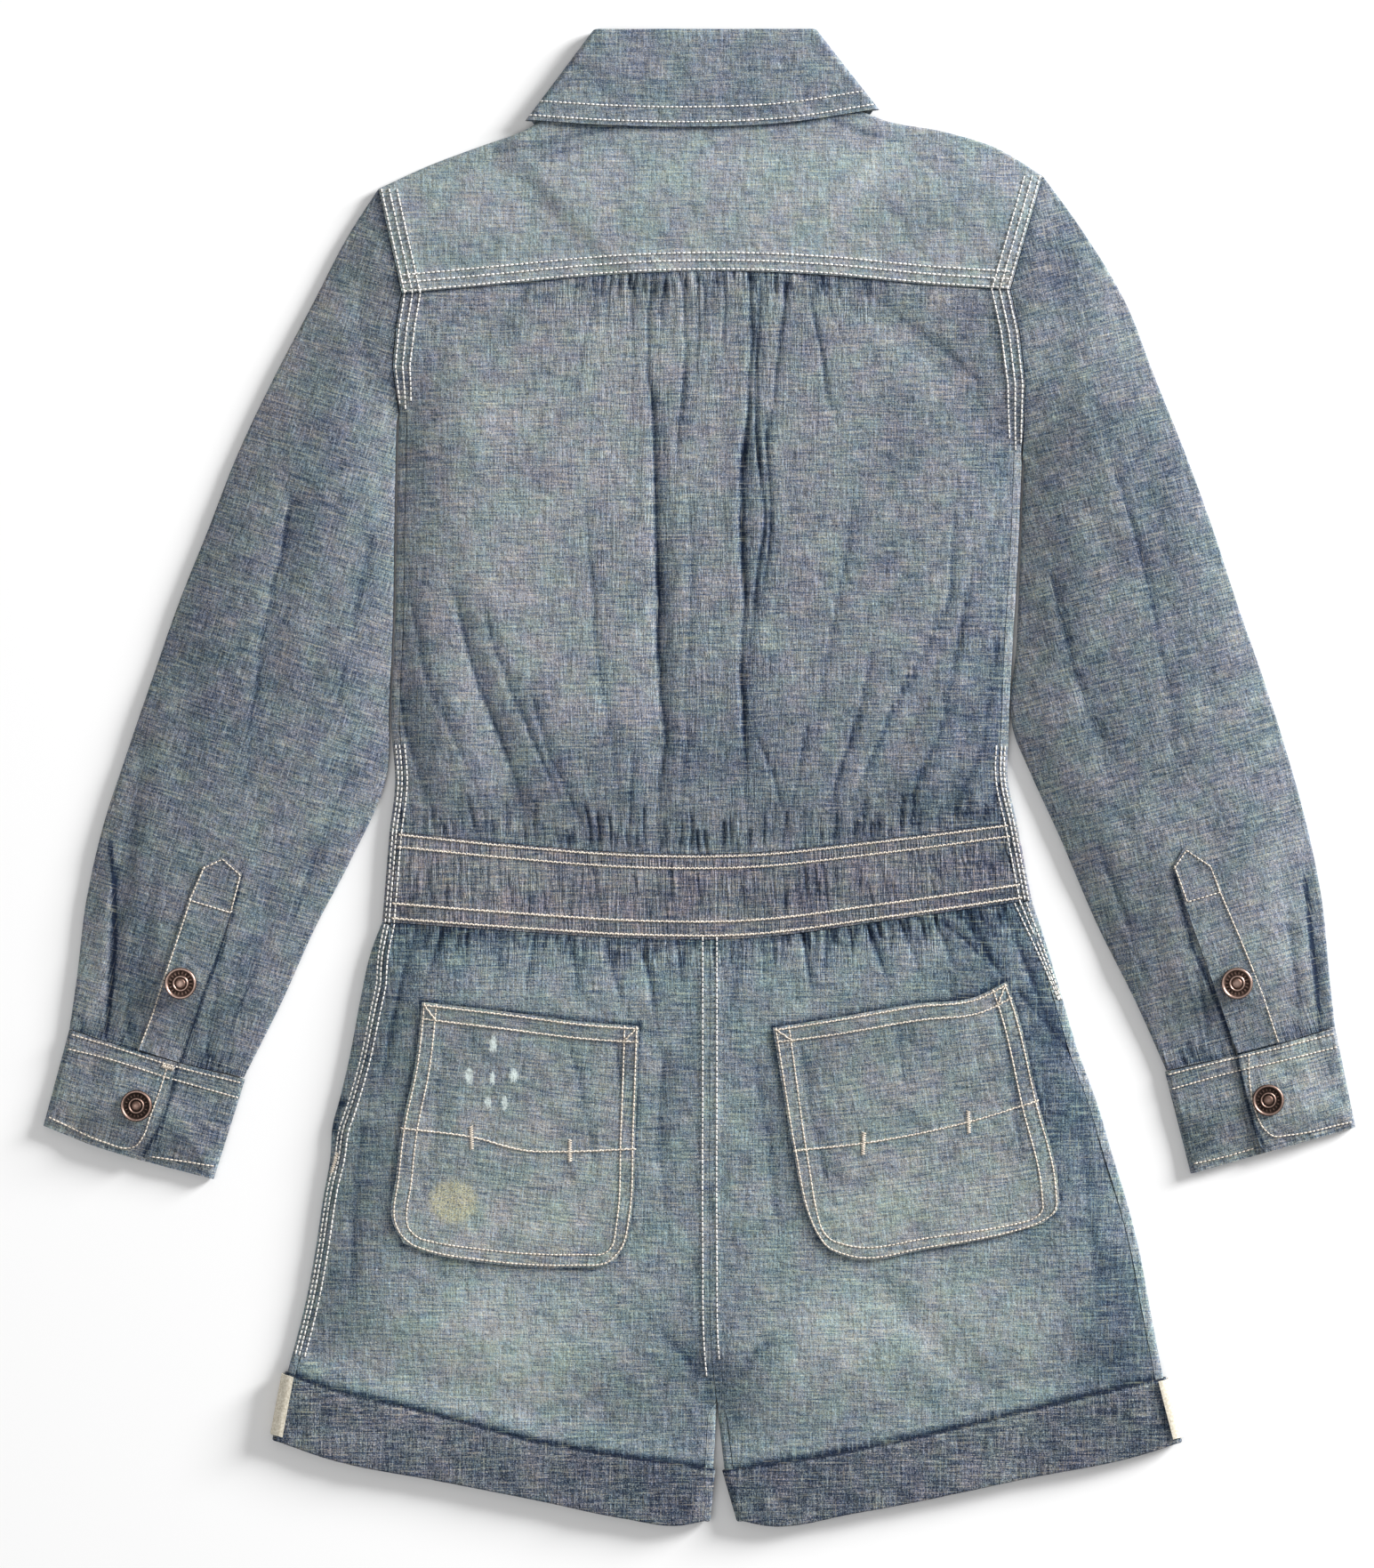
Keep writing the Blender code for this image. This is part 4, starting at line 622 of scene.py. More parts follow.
class Finish:
    """A new material: node() adds any other node, with its inputs by name, and gives one of its outputs."""

    def __init__(self, name, roughness=0.9, metallic=0.0):
        self.material = bpy.data.materials.new(name)
        self.material.use_nodes = True
        self.tree = self.material.node_tree
        self.shader = self.tree.nodes["Principled BSDF"]
        self.shader.inputs["Roughness"].default_value = roughness
        self.shader.inputs["Metallic"].default_value = metallic

    def node(self, kind, output=0, settings=None, **inputs):
        node = self.tree.nodes.new(kind)
        for name, value in (settings or {}).items():
            setattr(node, name, value)
        for name, value in inputs.items():
            self.join(value, node.inputs[name])
        return Socket(self.tree, node.outputs[output])

    def join(self, value, slot):
        if isinstance(value, Socket):
            self.tree.links.new(value.socket, slot)
        else:
            slot.default_value = value

    def drive(self, name, value):
        self.tree.links.new(value.socket, self.shader.inputs[name])

    def noise(self, place, scale=1.0, detail=2.0, roughness=0.5):
        return self.node("ShaderNodeTexNoise", Vector=place, Scale=scale, Detail=detail, Roughness=roughness)

    def vector(self, x, y, z=0.0):
        return self.node("ShaderNodeCombineXYZ", X=x, Y=y, Z=z)

    def parts(self, vector):
        node = self.tree.nodes.new("ShaderNodeSeparateXYZ")
        self.join(vector, node.inputs[0])
        return [Socket(self.tree, output) for output in node.outputs]

    def attribute(self, name):
        return self.node("ShaderNodeAttribute", 2, {"attribute_name": name})

    def ramp(self, value, stops):
        node = self.tree.nodes.new("ShaderNodeValToRGB")
        self.join(value, node.inputs[0])
        elements = node.color_ramp.elements
        while len(elements) < len(stops):
            elements.new(0.5)
        for element, (place, colour) in zip(elements, stops):
            element.position, element.color = place, (*colour, 1.0)
        return Socket(self.tree, node.outputs[0])

    def blend(self, share, first, second, way="MIX"):
        node = self.tree.nodes.new("ShaderNodeMix")
        node.data_type, node.blend_type = "RGBA", way
        for slot, value in ((0, share), (6, first), (7, second)):
            self.join((*value, 1.0) if isinstance(value, tuple) else value, node.inputs[slot])
        return Socket(self.tree, node.outputs[2])


THREAD_PITCH = 0.42
CLOTH_COLOURS = (
    (0.0, (0.011, 0.020, 0.042)), (0.2, (0.041, 0.062, 0.095)), (0.4, (0.107, 0.135, 0.168)),
    (0.6, (0.219, 0.243, 0.262)), (0.8, (0.352, 0.382, 0.378)), (1.0, (0.490, 0.515, 0.480)),
)


def chambray(name, tone=0.5, seed=0.0, tint=(1.0, 1.0, 1.0), contrast=1.0, marks=None):
    """Plain weave of indigo warp and ecru weft threads of uneven thickness, washed and worn pale."""
    finish = Finish(name)
    u, v, _ = finish.parts(finish.node("ShaderNodeUVMap", settings={"uv_map": "cloth"}))
    u, v = u * 100.0 + seed, v * 100.0 + seed

    def uneven(across, down, shift, detail, roughness=0.5):
        return finish.noise(finish.vector(u * across, v * down, shift), 1.0, detail, roughness)

    weft = uneven(0.065, 1.0, 0.0, 2.0, 0.7)
    warp = uneven(1.0, 0.06, 7.0, 2.0, 0.7)
    grain = uneven(1.1, 1.8, 4.0, 2.0, 0.8)
    cross = uneven(1.7, 0.5, 14.0, 1.0, 0.6)
    slub = uneven(0.06, 1.1, 3.0, 1.0)
    warp_slub = uneven(1.1, 0.06, 13.0, 1.0)
    cloud = uneven(0.03, 0.045, 5.0, 5.0, 0.62)
    mottle = uneven(0.30, 0.34, 9.0, 3.0, 0.7)
    hue = uneven(0.045, 0.045, 19.0, 4.0, 0.7)
    over = (u * (math.pi / THREAD_PITCH)).sine() * (v * (math.pi / THREAD_PITCH)).sine()
    value = (weft - 0.5) * 0.92 + (warp - 0.5) * 0.68 + (grain - 0.5) * 1.40 + (cross - 0.5) * 0.62
    value = value + (cloud - 0.5) * 0.33 + (mottle - 0.5) * 0.28
    # The attribute adds the cloth's worn and dark places and the painted shade and highlights of folds,
    # seams and edges
    value = tone + value * contrast + over * 0.03 + finish.attribute("wear_and_painted_light")
    # Fine gathers: painted shade in their creases and a painted highlight on their ridges, besides their
    # bump
    gather = finish.attribute("gather")
    wander = uneven(0.42, 0.030, 23.0, 2.0, 0.6)
    crease = (1.0 - (wander - 0.5).maths("ABSOLUTE") * 26.0).clamped(0.0, 1.0) * gather
    ridge = (wander - 0.55).between(0.0, 0.12) * gather
    value = value + ridge * 0.07 - crease * 0.24
    colour = finish.ramp(value.clamped(0.0, 1.0), CLOTH_COLOURS)
    colour = finish.blend(slub.between(0.60, 0.70) * 0.32, colour, (0.43, 0.44, 0.37))
    colour = finish.blend(warp_slub.between(0.61, 0.71) * 0.30, colour, (0.44, 0.47, 0.43))
    drift = finish.blend(hue.between(0.38, 0.62), (1.055, 0.970, 1.030), (0.945, 1.025, 0.985))
    colour = finish.blend(1.0, colour, drift, "MULTIPLY")
    kind = (weft - warp) * 1.5 + (grain - cross) * 1.6 + 0.5
    drift = finish.blend(kind.clamped(0.0, 1.0), (0.85, 0.985, 1.16), (1.13, 1.015, 0.84))
    colour = finish.blend(1.0, colour, drift, "MULTIPLY")
    colour = finish.blend(1.0, colour, tint, "MULTIPLY")
    if marks is not None:
        colour = marks(finish, colour)
    finish.drive("Base Color", colour)
    crumple = uneven(0.13, 0.13, 2.0, 4.0, 0.6)
    height = over * 0.02 + weft * 0.16 + warp * 0.16 + crumple * 1.7 + ridge * 0.5 - crease * 0.55
    finish.drive("Normal", finish.node("ShaderNodeBump", Height=height, Strength=0.85, Distance=0.001))
    finish.drive("Roughness", (weft - 0.5) * 0.2 + 0.88)
    finish.shader.inputs["Sheen Weight"].default_value = 0.05
    finish.shader.inputs["Specular IOR Level"].default_value = 0.12
    return finish.material


YOKE_CLOTH = chambray("chambray yoke", 0.615, 40.0, (0.975, 1.0, 1.01), 0.88)


def yoke_top(share):
    share = np.asarray(share, float)[..., None]
    left = SHOULDERS[0](share[..., 0] / NECK_START)
    neck = NECK_LINE((share[..., 0] - NECK_START) / (NECK_END - NECK_START))
    right = SHOULDERS[1]((share[..., 0] - NECK_END) / (1 - NECK_END))
    return np.where(share <= NECK_START, left, np.where(share < NECK_END, neck, right))


YOKE = Patch(yoke_top, YOKE_LINE, along(ARMHOLES[0][:2]), along(ARMHOLES[1][:2]))


def over_shoulder(across):
    run = YOKE.plain(across, 0.0) - YOKE.plain(across, 0.15)
    return run / length_of(run)[..., None]


# Creases in the yoke, drawn only as painted shade: places in pixels
YOKE_CREASES = (
    ((556, 170), (600, 163), (650, 152), (690, 143)),
    ((940, 137), (975, 150), (1014, 159)),
    ((610, 176), (660, 163)),
)
YOKE_FADES = (
    (0.05, 560, 240, 80, 40), (0.04, 950, 220, 120, 50), (-0.03, 480, 215, 30, 20),
    (-0.09, 1090, 200, 80, 70), (-0.05, 520, 290, 50, 25), (-0.03, 760, 160, 120, 20),
)
columns = runs((0, NECK_START, 44), (NECK_START, NECK_END, 84), (NECK_END, 1, 44))
at_neck = (columns > NECK_START) & (columns < NECK_END)
square = over_shoulder(columns)
DOWN_ROWS, FRONT_ROW_COUNT, FRONT_REACH = 56, 7, 16
downs = np.linspace(1.0, 0.0, DOWN_ROWS)
fold = np.linspace(90, -90, 9)[1:]
reaches = np.linspace(0, FRONT_REACH, FRONT_ROW_COUNT + 1)[1:]
inset = np.where(at_neck, HALF_GAP, FOLD_REACH)[None, :]
top_net = YOKE.at(columns[None, :], downs[:, None], HALF_GAP, HALF_GAP, inset, -0.6)
fold_net = np.repeat(top_net[-1:], len(fold), 0)
under_net = top_net[-1:] - square[None] * reaches[:, None, None]
spot = np.concatenate([top_net, fold_net, under_net])
angle = np.concatenate([np.full(DOWN_ROWS, 90.0), fold, np.full(FRONT_ROW_COUNT, -90.0)])[:, None]
spot = np.where(at_neck[None, :, None] & (angle < 90)[..., None], np.nan, spot)
relief = Relief(spot).hills(26, 0.25, 3).hills(11, 0.14, 4, 0.01)
relief.seam(YOKE_LINE(spread(25)), 10.5, 0.5, 0.2, 5.5)
for hole in ARMHOLES:
    relief.seam(hole[:2], 10.5, 0.3, 0.2, 5.0)
relief.fades(YOKE_FADES)
# Painted shadow under the collar's edge, and painted shade along the yoke's creases
relief.shade(LEAF_EDGE, 2.2, 0.34)
for line in YOKE_CREASES:
    relief.shade(pixel(*line), 1.3, 0.20).shade(pixel(*line), 4.0, 0.05)
piece = cloth("yoke", draped(spot, relief, angle, square[None]), YOKE_CLOTH, ["back_yoke"], relief)

# Back bodice: one wide piece of chambray, gathered into the middle of the yoke seam and into the whole
# waistband. It is sewn to the fronts at the sides, a little in from the garment's folded edge.
BODY_CLOTH = chambray("chambray body", 0.53, 0.0, (1.0, 0.985, 0.995), 1.05)
SIDE_SEAM = 4.5  # from the garment's edge in to the side seam
SEAM_INSET = SIDE_SEAM + SEAM_GAP
UNDERARM = 0.26  # the armhole's share of the bodice's side
SIDES = (curve(SIDE_LEFT), curve(SIDE_RIGHT))
WAIST_TOP_LINE = curve(WAIST_TOP)


def part_of(line, start, end):
    return lambda share: line(mix(start, end, np.asarray(share, float)))


def joined(*parts):
    marks, points, start = [], [], 0.0
    for line, end in parts:
        shares = spread(61)
        marks.append(mix(start, end, shares))
        points.append(line(shares))
        start = end
    return read_line(np.concatenate(marks), np.concatenate(points))


def square_to(line, share, side):
    share = np.asarray(share, float)
    run = line(np.minimum(share + 0.02, 1.0)) - line(np.maximum(share - 0.02, 0.0))
    run = np.stack([-run[..., 1], run[..., 0]], -1)
    return run / length_of(run)[..., None] * side


def share_where(line, axis, value):
    low, high = 0.0, 1.0
    rising = line(1.0)[axis] > line(0.0)[axis]
    for _ in range(40):
        middle = (low + high) / 2
        if (line(middle)[axis] < value) == rising:
            low = middle
        else:
            high = middle
    return low


def meeting(line, start, end):
    def at(share):
        share = np.asarray(share, float)[..., None]
        return line(share[..., 0]) + (start - line(0.0)) * (1 - share) ** 6 + (end - line(1.0)) * share**6

    return at


def end_on(line, end, level):
    run = line(end) - line(abs(end - 0.03))
    x = line(end)[0]
    for _ in range(4):
        y = level(share_where(level, 0, x))[1]
        x = line(end)[0] + (y - line(end)[1]) * run[0] / run[1]
    return share_where(level, 0, x)


def inset_patch(top, bottom, left, right):
    top = part_of(top, end_on(left, 0.0, top), end_on(right, 0.0, top))
    bottom = part_of(bottom, end_on(left, 1.0, bottom), end_on(right, 1.0, bottom))
    return Patch(top, bottom, meeting(left, top(0.0), bottom(0.0)), meeting(right, top(1.0), bottom(1.0)))


# Folds: depth and half width in mm, and places in pixels
YOKE_FOLDS = (
    (1.0, 1.5, (676, 306), (668, 342), (656, 380), (646, 440)),
    (1.0, 1.3, (709, 304), (710, 360), (712, 430)),
    (1.6, 1.6, (742, 302), (728, 350), (730, 420), (734, 480)),
    (1.0, 1.1, (752, 302), (744, 340), (742, 390)),
    (1.3, 1.4, (764, 301), (771, 360), (772, 415), (762, 478), (758, 556)),
    (0.9, 1.2, (780, 300), (786, 350), (784, 440)),
    (0.9, 1.1, (796, 300), (792, 332), (790, 372)),
    (1.1, 1.2, (812, 301), (816, 350), (812, 410)),
    (2.1, 1.7, (841, 302), (847, 380), (841, 465), (832, 560)),
    (1.4, 1.2, (854, 304), (852, 400), (850, 478), (858, 570)),
    (1.5, 1.5, (886, 305), (878, 380), (872, 440), (862, 500)),
    (1.5, 1.5, (904, 306), (914, 350), (924, 395), (932, 440), (946, 476)),
    (1.0, 1.2, (922, 307), (934, 350), (950, 390)),
    (0.8, 1.4, (688, 305), (682, 350), (680, 390)),
    (1.1, 3.4, (985, 330), (1020, 366), (1060, 392), (1106, 436)),
    (0.9, 2.8, (600, 316), (572, 352), (530, 400)),
)
LONG_FOLDS = (
    (2.0, 2.0, (733, 440), (738, 590), (741, 727), (747, 834), (734, 946)),
    (2.4, 2.2, (836, 500), (833, 590), (837, 665), (834, 759), (837, 852), (841, 946)),
    (1.7, 1.5, (853, 500), (860, 590), (848, 678), (838, 790)),
    (1.3, 1.4, (862, 470), (867, 602), (854, 690)),
    (0.7, 2.2, (778, 560), (776, 700), (770, 840), (762, 950)),
    (1.5, 2.2, (437, 700), (455, 820), (492, 935)),
    (1.6, 2.0, (505, 650), (540, 770), (570, 850), (598, 938)),
    (1.5, 1.8, (545, 690), (585, 800), (620, 880), (650, 943)),
    (1.2, 1.8, (596, 770), (618, 852), (648, 912), (662, 948)),
    (0.9, 2.0, (455, 640), (480, 760), (520, 850), (545, 938)),
    (1.4, 2.2, (1122, 720), (1105, 840), (1068, 930)),
    (1.9, 1.5, (1076, 565), (1070, 672), (1038, 738), (1000, 802), (975, 868), (946, 932)),
    (1.5, 2.2, (1096, 640), (1076, 728), (1062, 809), (1036, 871), (1010, 932)),
    (1.3, 1.9, (981, 728), (968, 790), (944, 871), (928, 930)),
    (1.1, 1.7, (906, 815), (897, 885), (874, 943)),
    (1.1, 1.6, (850, 828), (869, 871), (886, 936)),
    (0.9, 1.8, (712, 850), (706, 945)),
    (0.8, 2.4, (660, 560), (668, 700), (690, 860), (700, 950)),
    (0.8, 2.6, (960, 560), (950, 640), (925, 760), (915, 850)),
)
BACK_FADES = (
    (0.10, 560, 465, 75, 45), (0.05, 900, 430, 70, 60), (0.04, 1060, 620, 50, 120),
    (0.05, 620, 640, 90, 110), (-0.07, 800, 880, 260, 90), (-0.05, 460, 780, 40, 160),
    (-0.06, 1010, 470, 60, 50), (0.08, 690, 390, 110, 90), (0.06, 690, 530, 110, 60),
    (0.06, 530, 600, 60, 60), (0.06, 520, 690, 60, 50), (-0.14, 1130, 620, 45, 420),
    (0.08, 690, 760, 80, 60), (-0.06, 1060, 880, 90, 90), (-0.06, 450, 470, 25, 160),
    (-0.11, 1085, 810, 40, 110), (-0.08, 1015, 620, 40, 90), (-0.07, 810, 840, 100, 50),
    (0.09, 780, 310, 50, 30), (0.06, 690, 310, 50, 30), (0.06, 570, 780, 50, 60),
    (0.07, 410, 600, 25, 60), (0.06, 830, 300, 90, 30),
)


def to_pixel(x, y):
    return x / PIXEL + PHOTO_CENTRE[0], PHOTO_CENTRE[1] - y / PIXEL


def small_folds(line, start, end, count, length, way, seed, depth=1.0):
    """Short uneven gathers along a seam, which fan out from the middle. way is 1 above it and -1 below."""
    chance = np.random.RandomState(seed)
    table = []
    for step in range(count):
        share = mix(start, end, (step + chance.uniform(0.15, 0.85)) / count)
        x, y = line(share)
        reach = length * chance.uniform(0.35, 1.25)
        lean = (share - 0.5) * 0.5 * reach + chance.uniform(-0.1, 0.1) * reach
        bend = chance.uniform(-0.06, 0.06) * reach
        px, py = to_pixel(x, y)
        half_way = (px + lean * 0.5 + bend, py - way * reach * 0.5)
        places = ((px, py), half_way, (px + lean, py - way * reach))
        table.append((depth * chance.uniform(0.6, 1.3), chance.uniform(0.8, 1.5), *places))
    return table


def below_underarm(down):
    return smooth((np.asarray(down) - UNDERARM + 0.024) / 0.03)


def bodice_edge(side):
    line = joined((along(ARMHOLES[side][1:]), UNDERARM), (SIDES[side], 1.0))

    def at(down):
        down = np.asarray(down, float)
        inset = mix(HALF_GAP, SEAM_INSET, below_underarm(down))[..., None]
        return line(down) - square_to(line, down, 2 * side - 1) * inset

    return at


patch = inset_patch(YOKE_LINE, WAIST_TOP_LINE, bodice_edge(0), bodice_edge(1))
across = runs((0, 0.28, 64), (0.28, 0.75, 212), (0.75, 1, 56))
down = runs((0, 0.16, 24), (0.16, 0.78, 36), (0.78, 1, 30))
spot = patch.at(across[None, :], down[:, None], 0.0, 0.0, -0.8, HALF_GAP)
relief = Relief(spot).hills(34, 0.35, 11, 0.012).hills(12, 0.16, 12, 0.012).hills(60, 0.3, 13)
x, y = relief.x, relief.y
below_yoke = np.maximum(height_of(YOKE_SEAM, x) - y, 0.0)
relief.add(1.1 * np.exp(-(((x - 4) / 66) ** 4)) * smooth(1 - below_yoke / 70))
relief.folds(YOKE_FOLDS).folds(LONG_FOLDS)
relief.folds(small_folds(WAIST_TOP_LINE, 0.02, 0.98, 60, 44, 1, 5, 1.25), 1)
relief.folds(small_folds(YOKE_LINE, 0.28, 0.82, 38, 26, -1, 6, 1.7), 1)
relief.gathered(curve(WAIST_TOP_LINE(spread(15)))(spread(40)), 22, 0.6)
relief.gathered(YOKE_LINE(np.linspace(0.2, 0.85, 40)), 40, 0.8, -95, 105)
relief.gather = np.maximum(relief.gather, 0.30 * np.exp(-(((x + 4) / 90) ** 4)))
# Painted shade under the yoke seam and along the top of the waistband
relief.shade(YOKE_LINE(spread(40)), 1.6, 0.22)
relief.shade(WAIST_TOP_LINE(spread(40)), 1.2, 0.16)
for side in (0, 1):
    relief.seam(ARMHOLES[side][1:], 10.5, 0.3, 0.2, 5.0)
relief.fades(BACK_FADES)
relief.rise = relief.rise * np.clip((below_yoke + 1.5) / 4, 0, 1) - 0.5 * smooth(1 - below_yoke / 2.5)
piece = cloth("back_panel", draped(spot, relief), BODY_CLOTH, ["back_bodice"], relief)

# Fronts: two plain pieces of chambray under the back. They wrap round the sides, where three rows of
# stitches hold the side seams, and a placket that closes with snaps runs down between them.
CENTRE_FRONT = ((2, 306), (10, -322))


def crossing(line, level):
    share, across = 0.5, 0.5
    for _ in range(12):
        across = share_where(level, 0, line(share)[0])
        share = share_where(line, 1, level(across)[1])
    return share, across


def wrapped(
    name, top, bottom, sides, grows, rows, columns, finish, replaces, insets=(SIDE_SEAM, SIDE_SEAM),
    shape=None,
):
    """A front lies on the floor, wraps round the garment's edge and ends at a seam on the back.

    grows holds a function for each side: how far the cloth wraps there, from 0 to 1, at a row's share.
    """
    rows = np.asarray(rows, float)

    def square(side, down):
        return square_to(sides[side], down, 2 * side - 1)

    def edge(side):
        def at(down):
            down = np.asarray(down, float)
            inset = mix(HALF_GAP, FOLD_REACH, grows[side](down))[..., None]
            return sides[side](down) - square(side, down) * inset

        return at

    patch = inset_patch(top, bottom, edge(0), edge(1))
    length = float(length_of(bottom(0.5) - top(0.5)))
    downs = mix(HALF_GAP / length, 1 - HALF_GAP / length, rows)
    spots, angles, outwards, reaches = [], [], [], []

    def flank(side):
        outward = square(side, downs)
        line = sides[side](downs)
        grow = grows[side](downs)
        held = np.maximum.reduce([grow, np.append(grow[1:], 0)])
        line = np.where(held[:, None] > 0, line, np.nan)
        seam = insets[side](downs) if callable(insets[side]) else insets[side]
        stations = [(mix(FOLD_REACH, seam, share), 90) for share in (1.0, 0.75, 0.5, 0.25)]
        stations += [(FOLD_REACH, angle) for angle in (90, 65, 40, 15, -15, -40, -65)]
        for distance, angle in stations if side == 0 else stations[::-1]:
            spots.append(line - outward * mix(HALF_GAP, distance, grow)[:, None])
            angles.append(np.full(len(downs), float(angle)))
            outwards.append(outward)
            reaches.append(FOLD_REACH * grow)

    flank(0)
    for share in columns:
        spots.append(patch.plain(share, downs))
        angles.append(np.full(len(downs), -90.0))
        outwards.append(np.zeros((len(downs), 2)))
        reaches.append(np.zeros(len(downs)))
    flank(1)
    spot, angle, outward, reach = (np.stack(part, 1) for part in (spots, angles, outwards, reaches))
    relief = Relief(spot).hills(9, 0.12, 15, 0.015)
    if shape:
        shape(relief, angle)
    return cloth(name, draped(spot, relief, angle, outward, reach), finish, replaces, relief)


def in_order(side, outer, inner):
    """Left one first: the outer one on the left half of the garment, the inner one on the right half."""
    return (outer, inner) if side == 0 else (inner, outer)


def half_of(line, share, side):
    return part_of(line, 0.0, share) if side == 0 else part_of(line, share, 1.0)


def always(down):
    return np.ones(np.shape(down))


def never(down):
    return np.zeros(np.shape(down))


def centre_front(y):
    (x0, y0), (x1, y1) = CENTRE_FRONT
    return mix(x0, x1, (y - y0) / (y1 - y0))


def neck_under(across):
    across = np.asarray(across, float)
    drop = neck_dip(across)
    return NECK_LINE(across) - np.stack([np.zeros_like(drop), drop], -1)


PLACKET_HALF = 17.0  # half of its width
PLACKET_NECK = PLACKET_HALF / 144.0  # the same as a share of the neck
PLACKET_SHOULDER = -290.0  # where it starts to narrow


def placket_corners(side):
    tip = CENTRE_FRONT[1][1]
    return (
        neck_under(0.5 + side * PLACKET_NECK),
        np.array((centre_front(PLACKET_SHOULDER) + side * PLACKET_HALF, PLACKET_SHOULDER)),
        np.array((centre_front(tip) + side * 1.5, tip)),
    )


PLACKET_EDGES = (along(placket_corners(-1)), along(placket_corners(1)))
NAMES = ("left", "right")
FRONT_ROWS = runs((0, 0.1, 9), (0.1, 0.234, 10), (0.237, 1, 90))
for side, name in enumerate(NAMES):
    shares = np.linspace(0, NECK_START, 13) if side == 0 else np.linspace(NECK_END, 1, 13)
    top_points = YOKE.plain(shares, 0.0) - over_shoulder(shares) * (FOLD_REACH + FRONT_REACH + SEAM_GAP)
    at_armhole, at_neck = (top_points[0], top_points[-1]) if side == 0 else (top_points[-1], top_points[0])
    corner = np.array(ARMHOLES[side][1], float)
    armhole = along(ARMHOLES[side][1:])
    outer = joined((along([at_armhole, corner]), 0.10), (armhole, UNDERARM), (SIDES[side], 1.0))
    neck_shares = mix(0.11, 0.5 - PLACKET_NECK, spread(6))
    neck = curve(np.concatenate([[at_neck], neck_under(neck_shares if side == 0 else 1 - neck_shares)]))
    at_waist, waist_share = crossing(PLACKET_EDGES[side], WAIST_TOP_LINE)
    inner = joined((neck, 0.13), (part_of(PLACKET_EDGES[side], 0.0, at_waist), 1.0))
    bottom = half_of(WAIST_TOP_LINE, waist_share, side)
    piece = wrapped(
        f"front_panel_{name}", along(top_points), bottom, in_order(side, outer, inner),
        in_order(side, below_underarm, never), FRONT_ROWS, spread(28), BODY_CLOTH, [f"front_bodice_{name}"],
    )

left, right = PLACKET_EDGES
placket_top = along(neck_under(mix(0.5 - PLACKET_NECK, 0.5 + PLACKET_NECK, spread(7))))
placket = Patch(placket_top, along([left(1.0), right(1.0)]), left, right)


def placket_skin(off):
    down = spread(100)[:, None]
    across = spread(17)[None, :]
    spot = placket.at(across, down, HALF_GAP, HALF_GAP, HALF_GAP, SEAM_GAP)
    half = length_of(right(down[:, 0]) - left(down[:, 0]))[:, None] / 2
    hollow = 1.7 * np.minimum(half * np.minimum(across, 1 - across) * 2 / 6.8, 1.0)
    x, y = spot[..., 0], spot[..., 1]
    return np.stack([x[:, ::-1], y[:, ::-1], under_height(x, y)[:, ::-1] - off + hollow], -1)


piece = cloth("front_closure", placket_skin, BODY_CLOTH, ["front_placket"])

# Waistband: a doubled band of chambray with elastic drawn through it. On the back the elastic gathers it
# into fine ribs between two pairs of stitch rows, and into longer uneven creases between the pairs.
BAND_CLOTH = chambray("chambray waistband", 0.46, 130.0, (1.07, 0.955, 0.945), 1.05)
WAIST_BOTTOM_LINE = curve(WAIST_BOTTOM)
BAND_SIDES = (along([WAIST_TOP[0], WAIST_BOTTOM[0]]), along([WAIST_TOP[-1], WAIST_BOTTOM[-1]]))
BAND_LENGTH = 340
RIB_PITCH = 1.75
CREASE_COUNT = 86
BAND_ROWS = (0.03, 0.165, 0.79, 0.955)  # the stitch rows, as shares of the band's depth
BAND_FADES = (
    (0.06, 560, 1000, 120, 60), (-0.14, 1130, 980, 60, 90), (-0.05, 900, 990, 90, 50),
)


def band_edge(side):
    line = BAND_SIDES[side]
    return lambda down: line(down) - square_to(line, down, 2 * side - 1) * SEAM_INSET


band = inset_patch(WAIST_TOP_LINE, WAIST_BOTTOM_LINE, band_edge(0), band_edge(1))
across, down = spread(530)[None, :], spread(28)[:, None]
spot = band.at(across, down, 0.0, 0.0, HALF_GAP, HALF_GAP)
relief = Relief(spot).hills(20, 0.25, 14, 0.02)
chance = np.random.RandomState(31)
place = across[0] * BAND_LENGTH
jitter = np.interp(place, np.arange(0, 344, 4), chance.uniform(-0.45, 0.45, 86))[None, :]
rib = np.cos(2 * math.pi * (place[None, :] + jitter * 2.4 + 0.5 * np.sin(down * 9)) / RIB_PITCH)
strength = np.interp(place, np.arange(0, 350, 9), chance.uniform(0.3, 1.0, 39))[None, :]
pair = np.exp(-(((down - 0.10) / 0.075) ** 4)) + 0.7 * np.exp(-(((down - 0.88) / 0.085) ** 4))
ribs = rib * strength * pair
# The ribs are painted paler on their tops and darker between them, as light and shade
relief.add(0.30 * ribs + 0.3 * smooth(np.minimum(down, 1 - down) / 0.2), 0.15 * ribs)
relief.gather = np.full(relief.x.shape, 0.75)
relief.fades(BAND_FADES)
table = []
for step in range(CREASE_COUNT):
    share = (step + chance.uniform(0.1, 0.9)) / CREASE_COUNT
    high, low = chance.uniform(0.12, 0.3), chance.uniform(0.5, 0.86)
    if chance.uniform() < 0.35:
        high, low = chance.uniform(0.35, 0.5), 0.84
    lean = chance.uniform(-0.006, 0.006)
    places = [to_pixel(*band.plain(share + lean * k, mix(high, low, k / 2))) for k in (0, 1, 2)]
    table.append((chance.uniform(0.35, 0.9), chance.uniform(0.55, 1.1), *places))
relief.folds(table, 1)
# Painted shade in the grooves that the stitch rows draw in
for row in BAND_ROWS:
    groove = bell((down - row) / 0.016)
    relief.add(-0.25 * groove, -0.04 * groove)
piece = cloth("band_back", draped(spot, relief), BAND_CLOTH, ["waistband_back"], relief)
